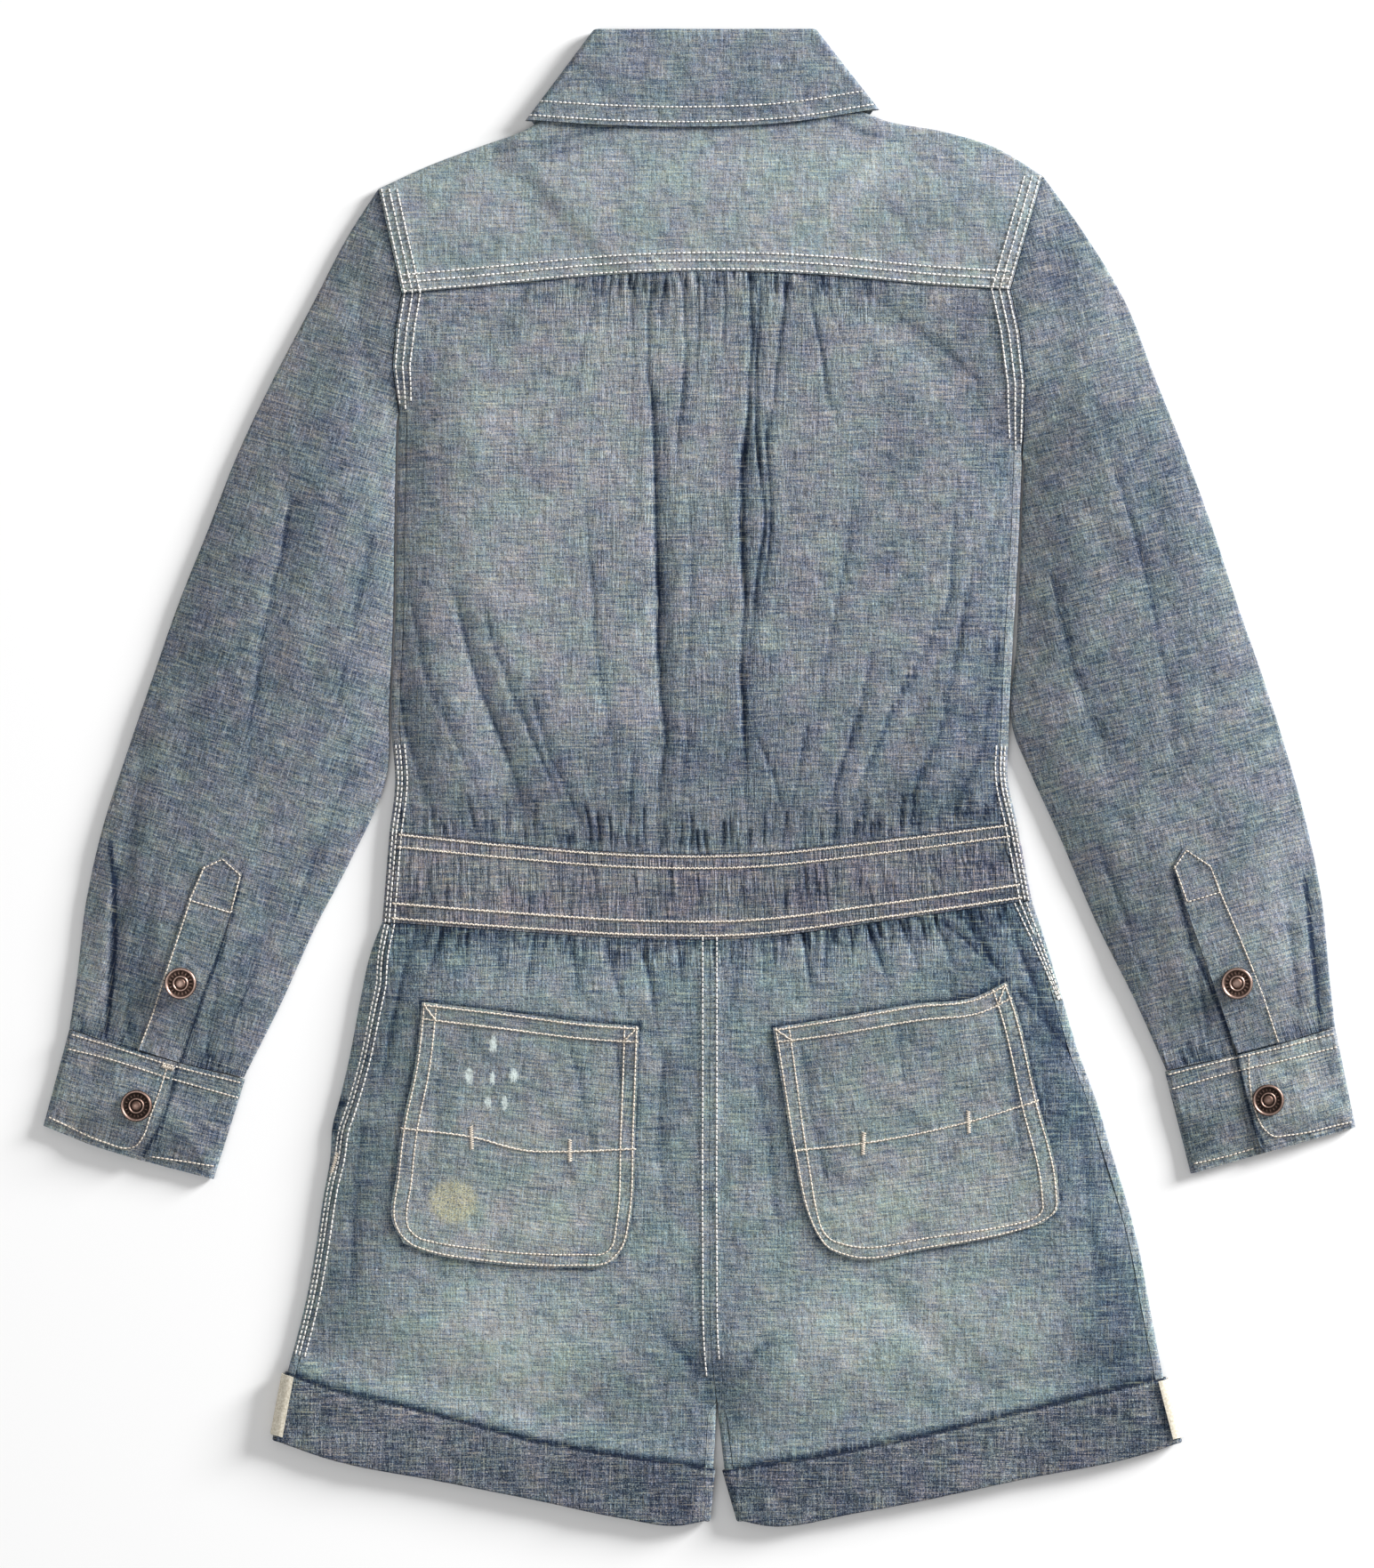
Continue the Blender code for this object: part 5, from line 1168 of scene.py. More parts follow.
for side, name in enumerate(NAMES):
    edge = PLACKET_EDGES[side]
    above, above_across = crossing(edge, WAIST_TOP_LINE)
    below, below_across = crossing(edge, WAIST_BOTTOM_LINE)
    inner = part_of(edge, above, below)
    top = half_of(WAIST_TOP_LINE, above_across, side)
    bottom = half_of(WAIST_BOTTOM_LINE, below_across, side)
    edges = in_order(side, BAND_SIDES[side], inner)
    piece = wrapped(
        f"band_front_{name}", top, bottom, edges, in_order(side, always, never), spread(14), spread(60),
        BAND_CLOTH, [f"waistband_front_{name}"],
    )

# Shorts: two chambray backs joined by the centre back seam and gathered into the waistband, and two fronts
# that wrap round the sides and the inside of the legs. The pocket mouth in the left side seam shows as a
# dark edge of painted shade.
SHORTS_CLOTH = chambray("chambray shorts", 0.505, 170.0, (0.955, 1.01, 1.0), 1.08)
CENTRE_BACK = ((6, -87), (6, -156), (6, -252), (7, -310), (10, -340))
CROTCH = np.array((10.0, -340.0))
POCKET_MOUTH = ((386, 1238), (377, 1252), (376, 1268), (384, 1284))
TURN_UPS = [
    Patch(curve(fold), curve(top), along([fold[0], top[0]]), along([fold[-1], top[-1]]))
    for fold, top in zip(TURN_FOLD, TURN_TOP)
]
INSEAM_START, INSEAM_END = 0.88, 0.975  # the inside leg seam's part of the inner edge
TURN_TUCK = 5.0  # how far the leg goes down behind its turn-up


def inside_leg(down):
    return smooth((np.asarray(down) - 0.865) / 0.03)


def leg_frame(side):
    turn_up = TURN_UPS[side]
    tuck = 1 - TURN_TUCK / turn_up.height()
    outside, inside = in_order(side, 0.0, 1.0)
    points = SHORTS_SIDE[side]
    line = curve([WAIST_BOTTOM_LINE(outside), *points[1:-1], turn_up.plain(outside, 1.0)])
    outer = joined((line, INSEAM_END), (along([line(1.0), turn_up.plain(outside, tuck)]), 1.0))
    edge = turn_up.plain(inside, 1.0)
    inseam = ((along([CROTCH, edge]), INSEAM_END), (along([edge, turn_up.plain(inside, tuck)]), 1.0))
    return (lambda share: turn_up.plain(share, tuck)), outer, inseam


LEG_ROWS = runs((0, 0.25, 32), (0.25, 0.86, 40), (0.865, 1.0, 22))
# Gathers under the waistband, long folds down the seat and short ones at the crotch and the right pocket
SEAT_FOLDS = (
    (1.4, 2.0, (470, 1040), (455, 1090), (440, 1150), (428, 1230)),
    (1.2, 1.8, (500, 1040), (488, 1080), (475, 1115)),
    (1.1, 1.6, (526, 1043), (520, 1100)),
    (1.2, 1.7, (562, 1047), (562, 1100)),
    (1.3, 1.8, (602, 1050), (590, 1115)),
    (1.1, 1.8, (640, 1052), (655, 1125)),
    (1.3, 2.0, (682, 1054), (700, 1130)),
    (1.4, 2.0, (716, 1055), (728, 1090), (740, 1160)),
    (1.2, 1.8, (762, 1056), (766, 1115)),
    (1.2, 1.8, (832, 1055), (822, 1110), (818, 1160)),
    (1.1, 1.6, (860, 1053), (858, 1110)),
    (1.3, 1.8, (902, 1048), (915, 1125)),
    (1.1, 1.6, (932, 1045), (925, 1100)),
    (1.3, 1.8, (976, 1040), (1000, 1108)),
    (1.3, 1.8, (1012, 1035), (1040, 1105)),
    (1.2, 1.8, (1050, 1030), (1078, 1098)),
    (1.3, 2.0, (1090, 1025), (1122, 1095)),
    (1.4, 2.2, (1130, 1020), (1168, 1120), (1196, 1210)),
    (1.0, 3.5, (748, 1180), (742, 1290), (752, 1400)),
    (1.0, 4.0, (850, 1190), (866, 1300), (880, 1420)),
    (0.9, 4.0, (408, 1260), (400, 1360), (396, 1500)),
    (0.8, 4.5, (1212, 1230), (1226, 1340), (1236, 1480)),
    (1.1, 2.6, (742, 1492), (768, 1524), (796, 1556)),
    (1.0, 3.0, (868, 1500), (842, 1530), (812, 1562)),
    (1.0, 2.6, (424, 1080), (404, 1150), (396, 1230)),
    (1.5, 1.4, (1142, 1112), (1168, 1142), (1198, 1178), (1216, 1204)),
    (1.4, 1.3, (1060, 1036), (1092, 1062), (1114, 1088)),
    (1.4, 1.3, (1084, 1032), (1108, 1072), (1134, 1106)),
)
# Most are worn and darker places in the cloth; the narrow dark one at the crotch (806, 1560) is painted
# shade in the fold there
SEAT_FADES = (
    (0.17, 580, 1510, 130, 85), (0.06, 720, 1480, 50, 90), (0.08, 470, 1530, 70, 70),
    (0.13, 910, 1500, 70, 60), (0.15, 1060, 1490, 130, 65), (0.05, 1170, 1440, 50, 60),
    (0.07, 960, 1560, 90, 40), (-0.10, 790, 1520, 35, 120), (-0.09, 405, 1110, 45, 90),
    (-0.16, 1185, 1180, 55, 200), (-0.14, 1255, 1480, 50, 130), (0.05, 640, 1130, 120, 40),
    (-0.07, 790, 1170, 60, 110), (-0.05, 440, 1200, 40, 110), (-0.05, 1180, 1180, 40, 110),
    (-0.06, 780, 1590, 60, 50), (0.05, 900, 1120, 60, 40), (0.05, 600, 1240, 220, 90),
    (0.05, 960, 1320, 130, 120), (-0.13, 480, 1050, 80, 40), (-0.13, 1110, 1075, 50, 80),
    (-0.08, 725, 1490, 45, 80), (-0.13, 1265, 1500, 50, 90), (0.08, 570, 1500, 60, 70),
    (-0.10, 300, 1500, 40, 60), (-0.10, 1200, 1260, 40, 60), (0.07, 590, 1560, 60, 30),
    (0.03, 1010, 1480, 110, 40), (-0.12, 806, 1560, 14, 40), (0.05, 660, 1390, 220, 50),
    (-0.04, 1170, 1120, 30, 60), (0.05, 1080, 1520, 60, 40), (0.05, 1170, 1500, 40, 40),
)
POCKETS = (
    {
        "top": ((-149, -121), (-106, -126), (-59, -132), (-32, -134)),
        "left": ((-149, -121), (-153, -156), (-160, -189), (-163, -215), (-165, -239), (-159, -251)),
        "right": ((-32, -134), (-34, -189), (-36, -235), (-39, -250), (-44, -259)),
        "bottom": ((-159, -251), (-146, -256), (-119, -261), (-66, -264), (-51, -263), (-44, -259)),
    },
    {
        "top": ((40, -135), (82, -128), (117, -122), (150, -118), (166, -110)),
        "left": ((40, -135), (44, -160), (51, -201), (59, -236), (64, -247)),
        "right": ((166, -110), (169, -118), (183, -174), (194, -222), (194, -232), (186, -240)),
        "bottom": ((64, -247), (70, -254), (82, -259), (124, -254), (177, -243), (186, -240)),
    },
)
start = share_where(WAIST_BOTTOM_LINE, 0, CENTRE_BACK[0][0])
# How far in from the edge the side seam of each leg lies, at these shares of its length
SEAM_SHARES = (0.0, 0.06, 0.13, 0.30, 0.42, 0.56, 0.70, 1.0)
SEAM_INSETS = ((4.5, 7.0, 10.0, 9.0, 7.5, 4.5, 4.5, 4.5), (4.5, 4.5, 4.5, 4.5, 4.5, 4.5, 4.5, 4.5))
for side, name in enumerate(NAMES):
    hem, outer, inseam = leg_frame(side)
    seam = curve([WAIST_BOTTOM_LINE(start), *CENTRE_BACK[1:-1], CROTCH])
    inner = joined((seam, INSEAM_START), *inseam)

    def outer_inset(down, side=side):
        return np.interp(down, SEAM_SHARES, SEAM_INSETS[side])

    def moved_in(line, sign, is_inner, outer_inset=outer_inset):
        def at(down):
            down = np.asarray(down, float)
            if is_inner:
                distance = mix(HALF_GAP, SEAM_INSET, inside_leg(down))
            else:
                distance = outer_inset(down) + SEAM_GAP
            return line(down) - square_to(line, down, sign) * distance[..., None]

        return at

    sign = 2 * side - 1
    edges = in_order(side, moved_in(outer, sign, False), moved_in(inner, -sign, True))
    patch = inset_patch(half_of(WAIST_BOTTOM_LINE, start, side), hem, *edges)
    spot = patch.at(spread(162)[None, :], LEG_ROWS[:, None], 0.0, 0.0, HALF_GAP, HALF_GAP)
    relief = Relief(spot).hills(30, 0.35, 21, 0.012).hills(12, 0.18, 22, 0.014).hills(55, 0.3, 23)
    relief.folds(SEAT_FOLDS)
    relief.folds(small_folds(WAIST_BOTTOM_LINE, 0.02, 0.98, 64, 32, -1, 9, 1.35), 1)
    relief.gathered(WAIST_BOTTOM_LINE(spread(60)), 34, 0.9)
    # Painted shade under the waistband, a painted shadow above the turn-up and round each pocket, darkest at
    # its top
    relief.shade(WAIST_BOTTOM_LINE(spread(60)), 1.8, 0.22)
    relief.shade(TURN_TOP[side], 2.0, 0.60)
    for key, amount in (("top", 0.50), ("left", 0.24), ("right", 0.24), ("bottom", 0.24)):
        relief.shade(POCKETS[side][key], 1.7, amount)
    relief.seam(CENTRE_BACK[:-1], 5.0, 0.35, 0.2, 6.0)
    relief.fades(SEAT_FADES)
    piece = cloth(f"seat_{name}", draped(spot, relief), SHORTS_CLOTH, [f"shorts_back_{name}"], relief)

    start_share, waist_share = crossing(PLACKET_EDGES[side], WAIST_BOTTOM_LINE)
    _, shoulder, tip = placket_corners(2 * side - 1)
    inner = joined(
        (along([PLACKET_EDGES[side](start_share), shoulder]), 0.70),
        (along([shoulder, tip]), 0.80),
        (along([tip, CROTCH]), INSEAM_START),
        *inseam,
    )

    def side_shape(relief, angle):
        # Painted shade at the pocket mouth
        relief.shade(pixel(*POCKET_MOUTH), 1.6, 0.45)

    top = half_of(WAIST_BOTTOM_LINE, waist_share, side)
    edges, grows = in_order(side, outer, inner), in_order(side, always, inside_leg)
    piece = wrapped(
        f"leg_front_{name}", top, hem, edges, grows, LEG_ROWS, spread(36), SHORTS_CLOTH,
        [f"shorts_front_{name}"], in_order(side, outer_inset, SIDE_SEAM), side_shape,
    )

# Sleeves: one piece of chambray each, set into the armholes, folded flat beside the body and pleated into
# the cuffs. Creases are start, end, depth and half width in mm. Folds and pleat lines are in the
# photograph's pixels; the pleat lines are painted shade only.
SLEEVE_CLOTH = chambray("chambray sleeves", 0.45, 90.0, (1.005, 0.985, 0.975), 1.02)
SLEEVE_CREASES = (
    ((-300, 20), (-322, -136), -0.8, 4), ((-292, -30), (-305, -136), -0.9, 5),
    ((-271, 60), (-282, -40), -0.9, 9), ((-200, 100), (-214, 20), -0.9, 8),
    ((-246, 90), (-262, -30), -0.8, 12), ((-214, -20), (-250, -120), -0.8, 8),
    ((328, -30), (337, -135), -0.8, 4), ((315, -30), (322, -135), -0.8, 5),
    ((205, 150), (250, 90), -0.9, 9), ((262, 100), (291, 0), -0.9, 9), ((206, 60), (236, -40), -0.9, 8),
    ((236, -40), (256, -140), -0.8, 7), ((-186, 290), (-176, 200), -0.8, 7),
    ((196, 285), (196, 190), -0.8, 8),
)
SLEEVE_FOLDS = (
    (1.9, 1.9, (131, 970), (127, 1040), (122, 1110), (117, 1170)),
    (1.0, 2.0, (152, 1040), (146, 1110), (140, 1175)),
    (1.0, 2.0, (246, 1090), (240, 1140), (232, 1205)),
    (1.3, 2.6, (330, 560), (300, 700), (285, 800), (276, 900)),
    (0.9, 3.0, (420, 600), (395, 720), (360, 860)),
    (0.9, 2.4, (395, 860), (350, 980), (310, 1090)),
    (1.9, 1.9, (1468, 985), (1474, 1050), (1482, 1110), (1487, 1160)),
    (1.0, 2.0, (1450, 1040), (1458, 1110), (1462, 1170)),
    (1.0, 2.0, (1345, 1090), (1356, 1150), (1362, 1190)),
    (1.1, 2.8, (1250, 520), (1290, 650), (1316, 780), (1326, 900)),
    (0.9, 3.0, (1180, 640), (1210, 760), (1250, 880)),
    (0.9, 2.4, (1230, 940), (1270, 1040), (1300, 1140)),
)
# Pleat lines drawn only as painted shade: places in pixels and how dark
SLEEVE_PLEATS = (
    (
        (((123, 945), (128, 990), (130, 1060), (126, 1105), (118, 1167)), 0.80),
        (((96, 1120), (92, 1165)), 0.25),
        (((288, 1090), (262, 1150), (246, 1200)), 0.20),
    ),
    (
        (((1468, 985), (1472, 1030), (1478, 1085), (1486, 1160)), 0.72),
        (((1330, 1090), (1346, 1140), (1356, 1190)), 0.20),
        (((1382, 1130), (1388, 1160), (1392, 1186)), 0.40),
    ),
)
# The slits' folded edges, in pixels, where painted shade lies beside them
SLIT_EDGES = (
    ((272, 984), (252, 1060), (228, 1120), (202, 1196)),
    ((1320, 984), (1338, 1060), (1366, 1120), (1391, 1186)),
)
SLEEVE_FADES = (
    (0.05, 400, 330, 60, 60), (-0.03, 250, 760, 60, 140), (-0.04, 150, 1040, 40, 90),
    (-0.03, 330, 1060, 50, 90), (0.09, 290, 400, 60, 120), (0.08, 85, 1090, 40, 130),
    (0.05, 1230, 330, 60, 80), (0.05, 1350, 900, 50, 100), (-0.04, 1150, 680, 45, 260),
    (0.09, 1440, 1060, 50, 110), (-0.09, 1150, 270, 50, 60), (0.04, 330, 940, 60, 60),
    (-0.04, 1300, 800, 60, 120), (0.03, 1310, 1000, 60, 60), (-0.14, 1315, 540, 30, 90),
    (-0.09, 1260, 470, 40, 50), (-0.14, 1205, 300, 30, 50), (-0.10, 365, 540, 40, 90),
    (-0.09, 240, 810, 40, 60), (0.11, 365, 250, 40, 40), (-0.09, 1385, 960, 30, 50),
    (0.10, 115, 1085, 30, 60), (0.06, 1150, 680, 30, 200), (0.05, 300, 400, 30, 60),
    (0.08, 1320, 1085, 20, 30),
)
ARMHOLE_SHARE = 0.11  # the armhole's share of the sleeve's inner edge
for side, name in enumerate(NAMES):
    sign = 2 * side - 1
    points = np.array(ARMHOLES[side], float) + (sign * SEAM_GAP, 0)
    shoulder, corner = points[:2]
    outer_line = curve(SLEEVE_OUTER[side])
    inner_line = joined((along(points[1:]), ARMHOLE_SHARE), (curve(SLEEVE_INNER[side]), 1.0))
    up_armhole = (shoulder - corner) / length_of(shoulder - corner)

    def outer_square(down, line=outer_line, sign=sign, up_armhole=up_armhole):
        past_armhole = smooth(np.asarray(down, float) / 0.06)[..., None]
        run = mix(up_armhole, square_to(line, down, sign), past_armhole)
        return run / length_of(run)[..., None]

    def outer(down, line=outer_line, square=outer_square):
        return line(down) - square(down) * FOLD_REACH

    def inner_square(down, line=inner_line, sign=sign):
        return square_to(line, down, -sign)

    def grown(down):
        return smooth((np.asarray(down, float) - ARMHOLE_SHARE) / 0.02)

    def inner(down, line=inner_line, square=inner_square, grown=grown):
        return line(down) - square(down) * ((FOLD_REACH + 1.0) * grown(down))[..., None]

    ends = along(in_order(side, shoulder, corner))
    edges = in_order(side, outer, inner)
    squares = in_order(side, outer_square, inner_square)
    hem = curve([edges[0](1.0), *CUFF_TOP[side][1:-1], edges[1](1.0)])
    patch = Patch(ends, hem, *edges)
    rows = runs((0, ARMHOLE_SHARE, 16), (0.1125, 0.14, 9), (0.15, 1.0, 98))
    downs = rows * (1 - HALF_GAP / patch.height())
    fold = np.linspace(90, -90, 9)[1:-1]
    stations = [(0.0, angle) for angle in fold[::-1]] + [(share, 90.0) for share in spread(88)]
    stations += [(1.0, angle) for angle in fold] + [(share, -90.0) for share in np.linspace(1, 0, 20)]
    stations.append(stations[0])
    spots, outwards, reaches = [], [], []
    for share, angle in stations:
        spot = patch.plain(share, downs)
        reach = np.full(len(downs), FOLD_REACH)
        if abs(angle) != 90 and (share > 0.5) == (side == 0):
            spot = np.where((rows < 0.1099)[:, None], np.nan, spot)
            reach = FOLD_REACH * grown(rows)
        spots.append(spot)
        outwards.append(squares[0 if share < 0.5 else 1](downs))
        reaches.append(reach)
    angle = np.array([angle for _, angle in stations])[None, :]
    spot = np.stack(spots, 1)
    relief = Relief(spot).hills(36, 0.4, 31, 0.015).hills(13, 0.2, 32, 0.014).hills(70, 0.3, 33, 0.02)
    shallow = creases(relief.x, relief.y, SLEEVE_CREASES)
    # The shallow creases are painted a little darker in their troughs, as shade
    relief.add(shallow, 0.03 * shallow).folds(SLEEVE_FOLDS)
    relief.folds(small_folds(patch.bottom, 0.05, 0.95, 20, 26, 1, 12 + side), 1)
    relief.gathered(patch.bottom(spread(30)), 16, 0.7)
    # Painted shade under the cuff seam, beside the slit's folded edge, along the armhole and in the pleat
    # lines
    relief.shade(patch.bottom(spread(30)), 1.6, 0.2)
    relief.shade(pixel(*SLIT_EDGES[side]), 1.2, 0.50)
    relief.shade(ARMHOLES[side], 2.0, 0.16)
    relief.fades(SLEEVE_FADES)
    for line, strength in SLEEVE_PLEATS[side]:
        relief.shade(pixel(*line), 0.9, strength)
    skin = draped(spot, relief, angle, np.stack(outwards, 1), np.stack(reaches, 1))
    piece = cloth(f"arm_{name}", skin, SLEEVE_CLOTH, [f"sleeve_{name}"], relief, (-17, 15)[side])

# Turn-ups: the end of each leg, folded back over itself once more. The cloth's darker inner side shows on
# them. The collar is a turned band too. Its net runs from under its own outer layer, round the fold and out
# to its edge.
TURN_CLOTH = chambray("chambray turn-ups", 0.33, 250.0, (1.03, 0.975, 0.96), 1.4)
LYING_GAP = 0.5  # between a band's two layers


def turned_band(name, patch, stations, inset, tuck, shares, finish, replaces, dip=None, shape=None):
    """stations gives the places along a row: their shares of its length and the cloth's angle there."""
    height = patch.height()
    middle = LYING_GAP / 2
    full = WALL + middle

    def rows_of(is_outer):
        roll, under, over = (full, -WALL, WALL) if is_outer else (middle, 0.0, 0.0)
        rows = [(tuck, under)]
        rows += [(share * height, under) for share in shares[::-1] if share * height < tuck - 4]
        for angle in np.linspace(-90, 90, 9):
            turn = math.radians(angle)
            rows.append((full - roll * math.cos(turn), middle + roll * math.sin(turn)))
        return rows + [(share * height, LYING_GAP + over) for share in shares]

    reliefs = []

    def skin(is_outer):
        net, angles, outwards, lifts = [], [], [], []
        for distance, lift in rows_of(is_outer):
            down = distance / height
            share, angle = stations(down, lift)
            spot = patch.at(share, np.full(share.shape, down), inset, inset)
            outward = patch.sideways(np.full(share.shape, down)) * np.where(share < 0.5, -1, 1)[:, None]
            if dip is not None:
                drop = np.where(angle == -90, dip(share), 0.0)
                spot = spot - np.stack([np.zeros_like(drop), drop], -1)
            net.append(spot)
            angles.append(angle)
            outwards.append(outward)
            lifts.append(np.full(share.shape, lift))
        spot, angle, outward, lift = (np.stack(part) for part in (net, angles, outwards, lifts))
        relief = Relief(spot)
        if shape:
            shape(relief)
        relief.rise = np.where((lift > 0) & (angle > -90), relief.rise, 0.0)
        reliefs.append(relief)
        return draped(spot, relief, angle, outward, lift=lift)(0.0)

    outer, inner = skin(True), skin(False)
    return cloth(name, lambda off: outer if off == 0.0 else inner, finish, replaces, reliefs[0])


def round_leg(down, lift):
    fold = np.linspace(90, -90, 9)[1:-1]
    share = np.concatenate([np.zeros(7), spread(110), np.ones(7), np.linspace(1, 0, 36), [0.0]])
    angle = np.concatenate([fold[::-1], np.full(110, 90), fold, np.full(36, -90), fold[-1:]])
    return share, angle


TURN_FADES = (
    (0.05, 450, 1600, 90, 50), (-0.06, 770, 1650, 60, 50), (0.03, 1050, 1620, 90, 40),
    (-0.04, 1260, 1600, 50, 50), (-0.07, 760, 1630, 60, 50), (-0.08, 900, 1640, 90, 40),
)


def turn_shape(relief):
    relief.hills(18, 0.35, 41, 0.02).hills(7, 0.2, 42, 0.02)
    for line in TURN_TOP:
        away, _, _ = distance_along(relief.x, relief.y, line)
        # Along the top edge: painted shadow where the edge lies over the leg, and a paler band just below it
        pale_edge = bell((away - 2.0) / 0.8)
        relief.add(0.0, 0.16 * pale_edge - 0.55 * bell(away / 0.9))
    relief.fades(TURN_FADES)


for side, name in enumerate(NAMES):
    patch = TURN_UPS[side]
    tuck = patch.height() - TURN_TUCK - 1.0
    piece = turned_band(
        f"hem_fold_{name}", patch, round_leg, FOLD_REACH, tuck, np.linspace(0.12, 1, 20), TURN_CLOTH,
        [f"turn_up_{name}"], shape=turn_shape,
    )

# Seam tape: a folded cream cotton tape covers the side seam, and shows at its end, where the leg is turned
# up.
TAPE = Finish("cotton tape")
tape_place = TAPE.node("ShaderNodeTexCoord", 3)
TAPE_COLOURS = ((0.3, (0.50, 0.45, 0.35)), (0.7, (0.78, 0.73, 0.62)))
TAPE.drive("Base Color", TAPE.ramp(TAPE.noise(tape_place, 900.0), TAPE_COLOURS))
for side, name in enumerate(NAMES):
    patch = TURN_UPS[side]
    near, end = (0.009, 0.0) if side == 0 else (0.994, 1.0)
    stations = [(mix(near, end, share), 90) for share in spread(5)]
    stations += [(end, angle) for angle in (60, 30, 0, -30)]
    if side == 0:
        stations = stations[::-1]
    downs = mix(1 - 1 / patch.height(), 3 / patch.height(), spread(24))
    spot = [patch.at(np.full(24, share), downs, FOLD_REACH, FOLD_REACH) for share, _ in stations]
    spot = np.stack(spot, 1)
    outward = np.stack([patch.sideways(downs) * (2 * side - 1) for _ in stations], 1)
    angle = np.array([angle for _, angle in stations], float)[None, :]
    skin = draped(spot, None, angle, outward, lift=LAYER + LYING_GAP + 0.8)
    piece = cloth(f"tape_{name}", skin, TAPE.material, [f"hem_tape_{name}"], wall=0.6)

# Collar: a shirt collar of chambray that rolls over its stand. The stand is sewn into the neck, and two
# rows of stitches follow the collar's edge.
COLLAR_CLOTH = chambray("chambray collar", 0.50, 290.0, (0.965, 0.985, 1.01), 0.95)
leaf = curve(LEAF_EDGE)
collar_patch = Patch(along(ROLL), leaf, along([ROLL[0], leaf(0.0)]), along([ROLL[1], leaf(1.0)]))


def round_neck(reach, fine):
    fold = np.linspace(90, -90, 9)[1:-1]
    share = [mix(reach, 0.0, spread(fine)), np.zeros(7), spread(3 * fine), np.ones(7)]
    share.append(mix(1.0, 1.0 - reach, spread(fine)))
    angle = [np.full(fine, -90.0), fold[::-1], np.full(3 * fine, 90.0), fold, np.full(fine, -90.0)]
    return np.concatenate(share), np.concatenate(angle)


def open_front(down, lift):
    return round_neck(0.5 - (mix(0.012, 0.17, down) if lift > 0 else 0.012), 40)


COLLAR_FADES = (
    (0.05, 700, 60, 40, 20), (0.04, 880, 50, 30, 20), (-0.04, 800, 110, 120, 14),
)


def collar_shape(relief):
    relief.hills(17, 0.3, 51, 0.01).hills(8, 0.18, 52, 0.015)
    relief.seam(LEAF_EDGE, 11.0, 0.3, 0.12, 6.0)
    relief.fades(COLLAR_FADES)


piece = turned_band(
    "collar_leaf", collar_patch, open_front, FOLD_REACH + LAYER, WALL + 3.25, np.linspace(0.1, 1, 30),
    COLLAR_CLOTH, ["collar"], dip=neck_dip, shape=collar_shape,
)
roll = 1.2 + LYING_GAP / 2 + 3 + SEAM_GAP
drop = roll / (ROLL[0][1] - LEAF_EDGE[0][1])
stand_left = (mix(ROLL[0][0], LEAF_EDGE[0][0], drop) + LAYER, ROLL[0][1] - roll)
stand_right = (mix(ROLL[1][0], LEAF_EDGE[-1][0], drop) - LAYER, ROLL[1][1] - roll)
stand = Patch(
    along([stand_left, stand_right]), curve(BACK_NECK), along([stand_left, BACK_NECK[0]]),
    along([stand_right, BACK_NECK[-1]]),
)
share, angle = round_neck(0.488, 30)
downs = np.linspace(0, 1 - HALF_GAP / stand.height(), 10)[:, None]
spot = stand.at(share[None, :], downs, FOLD_REACH, FOLD_REACH)
drop = np.where(angle == -90, neck_dip(share), 0.0)
spot = spot - np.stack([np.zeros_like(drop), drop], -1)[None]
outward = stand.sideways(downs) * np.where(share < 0.5, -1, 1)[None, :, None]
piece = cloth("collar_base", draped(spot, None, angle[None, :], outward), COLLAR_CLOTH, ["collar_stand"])

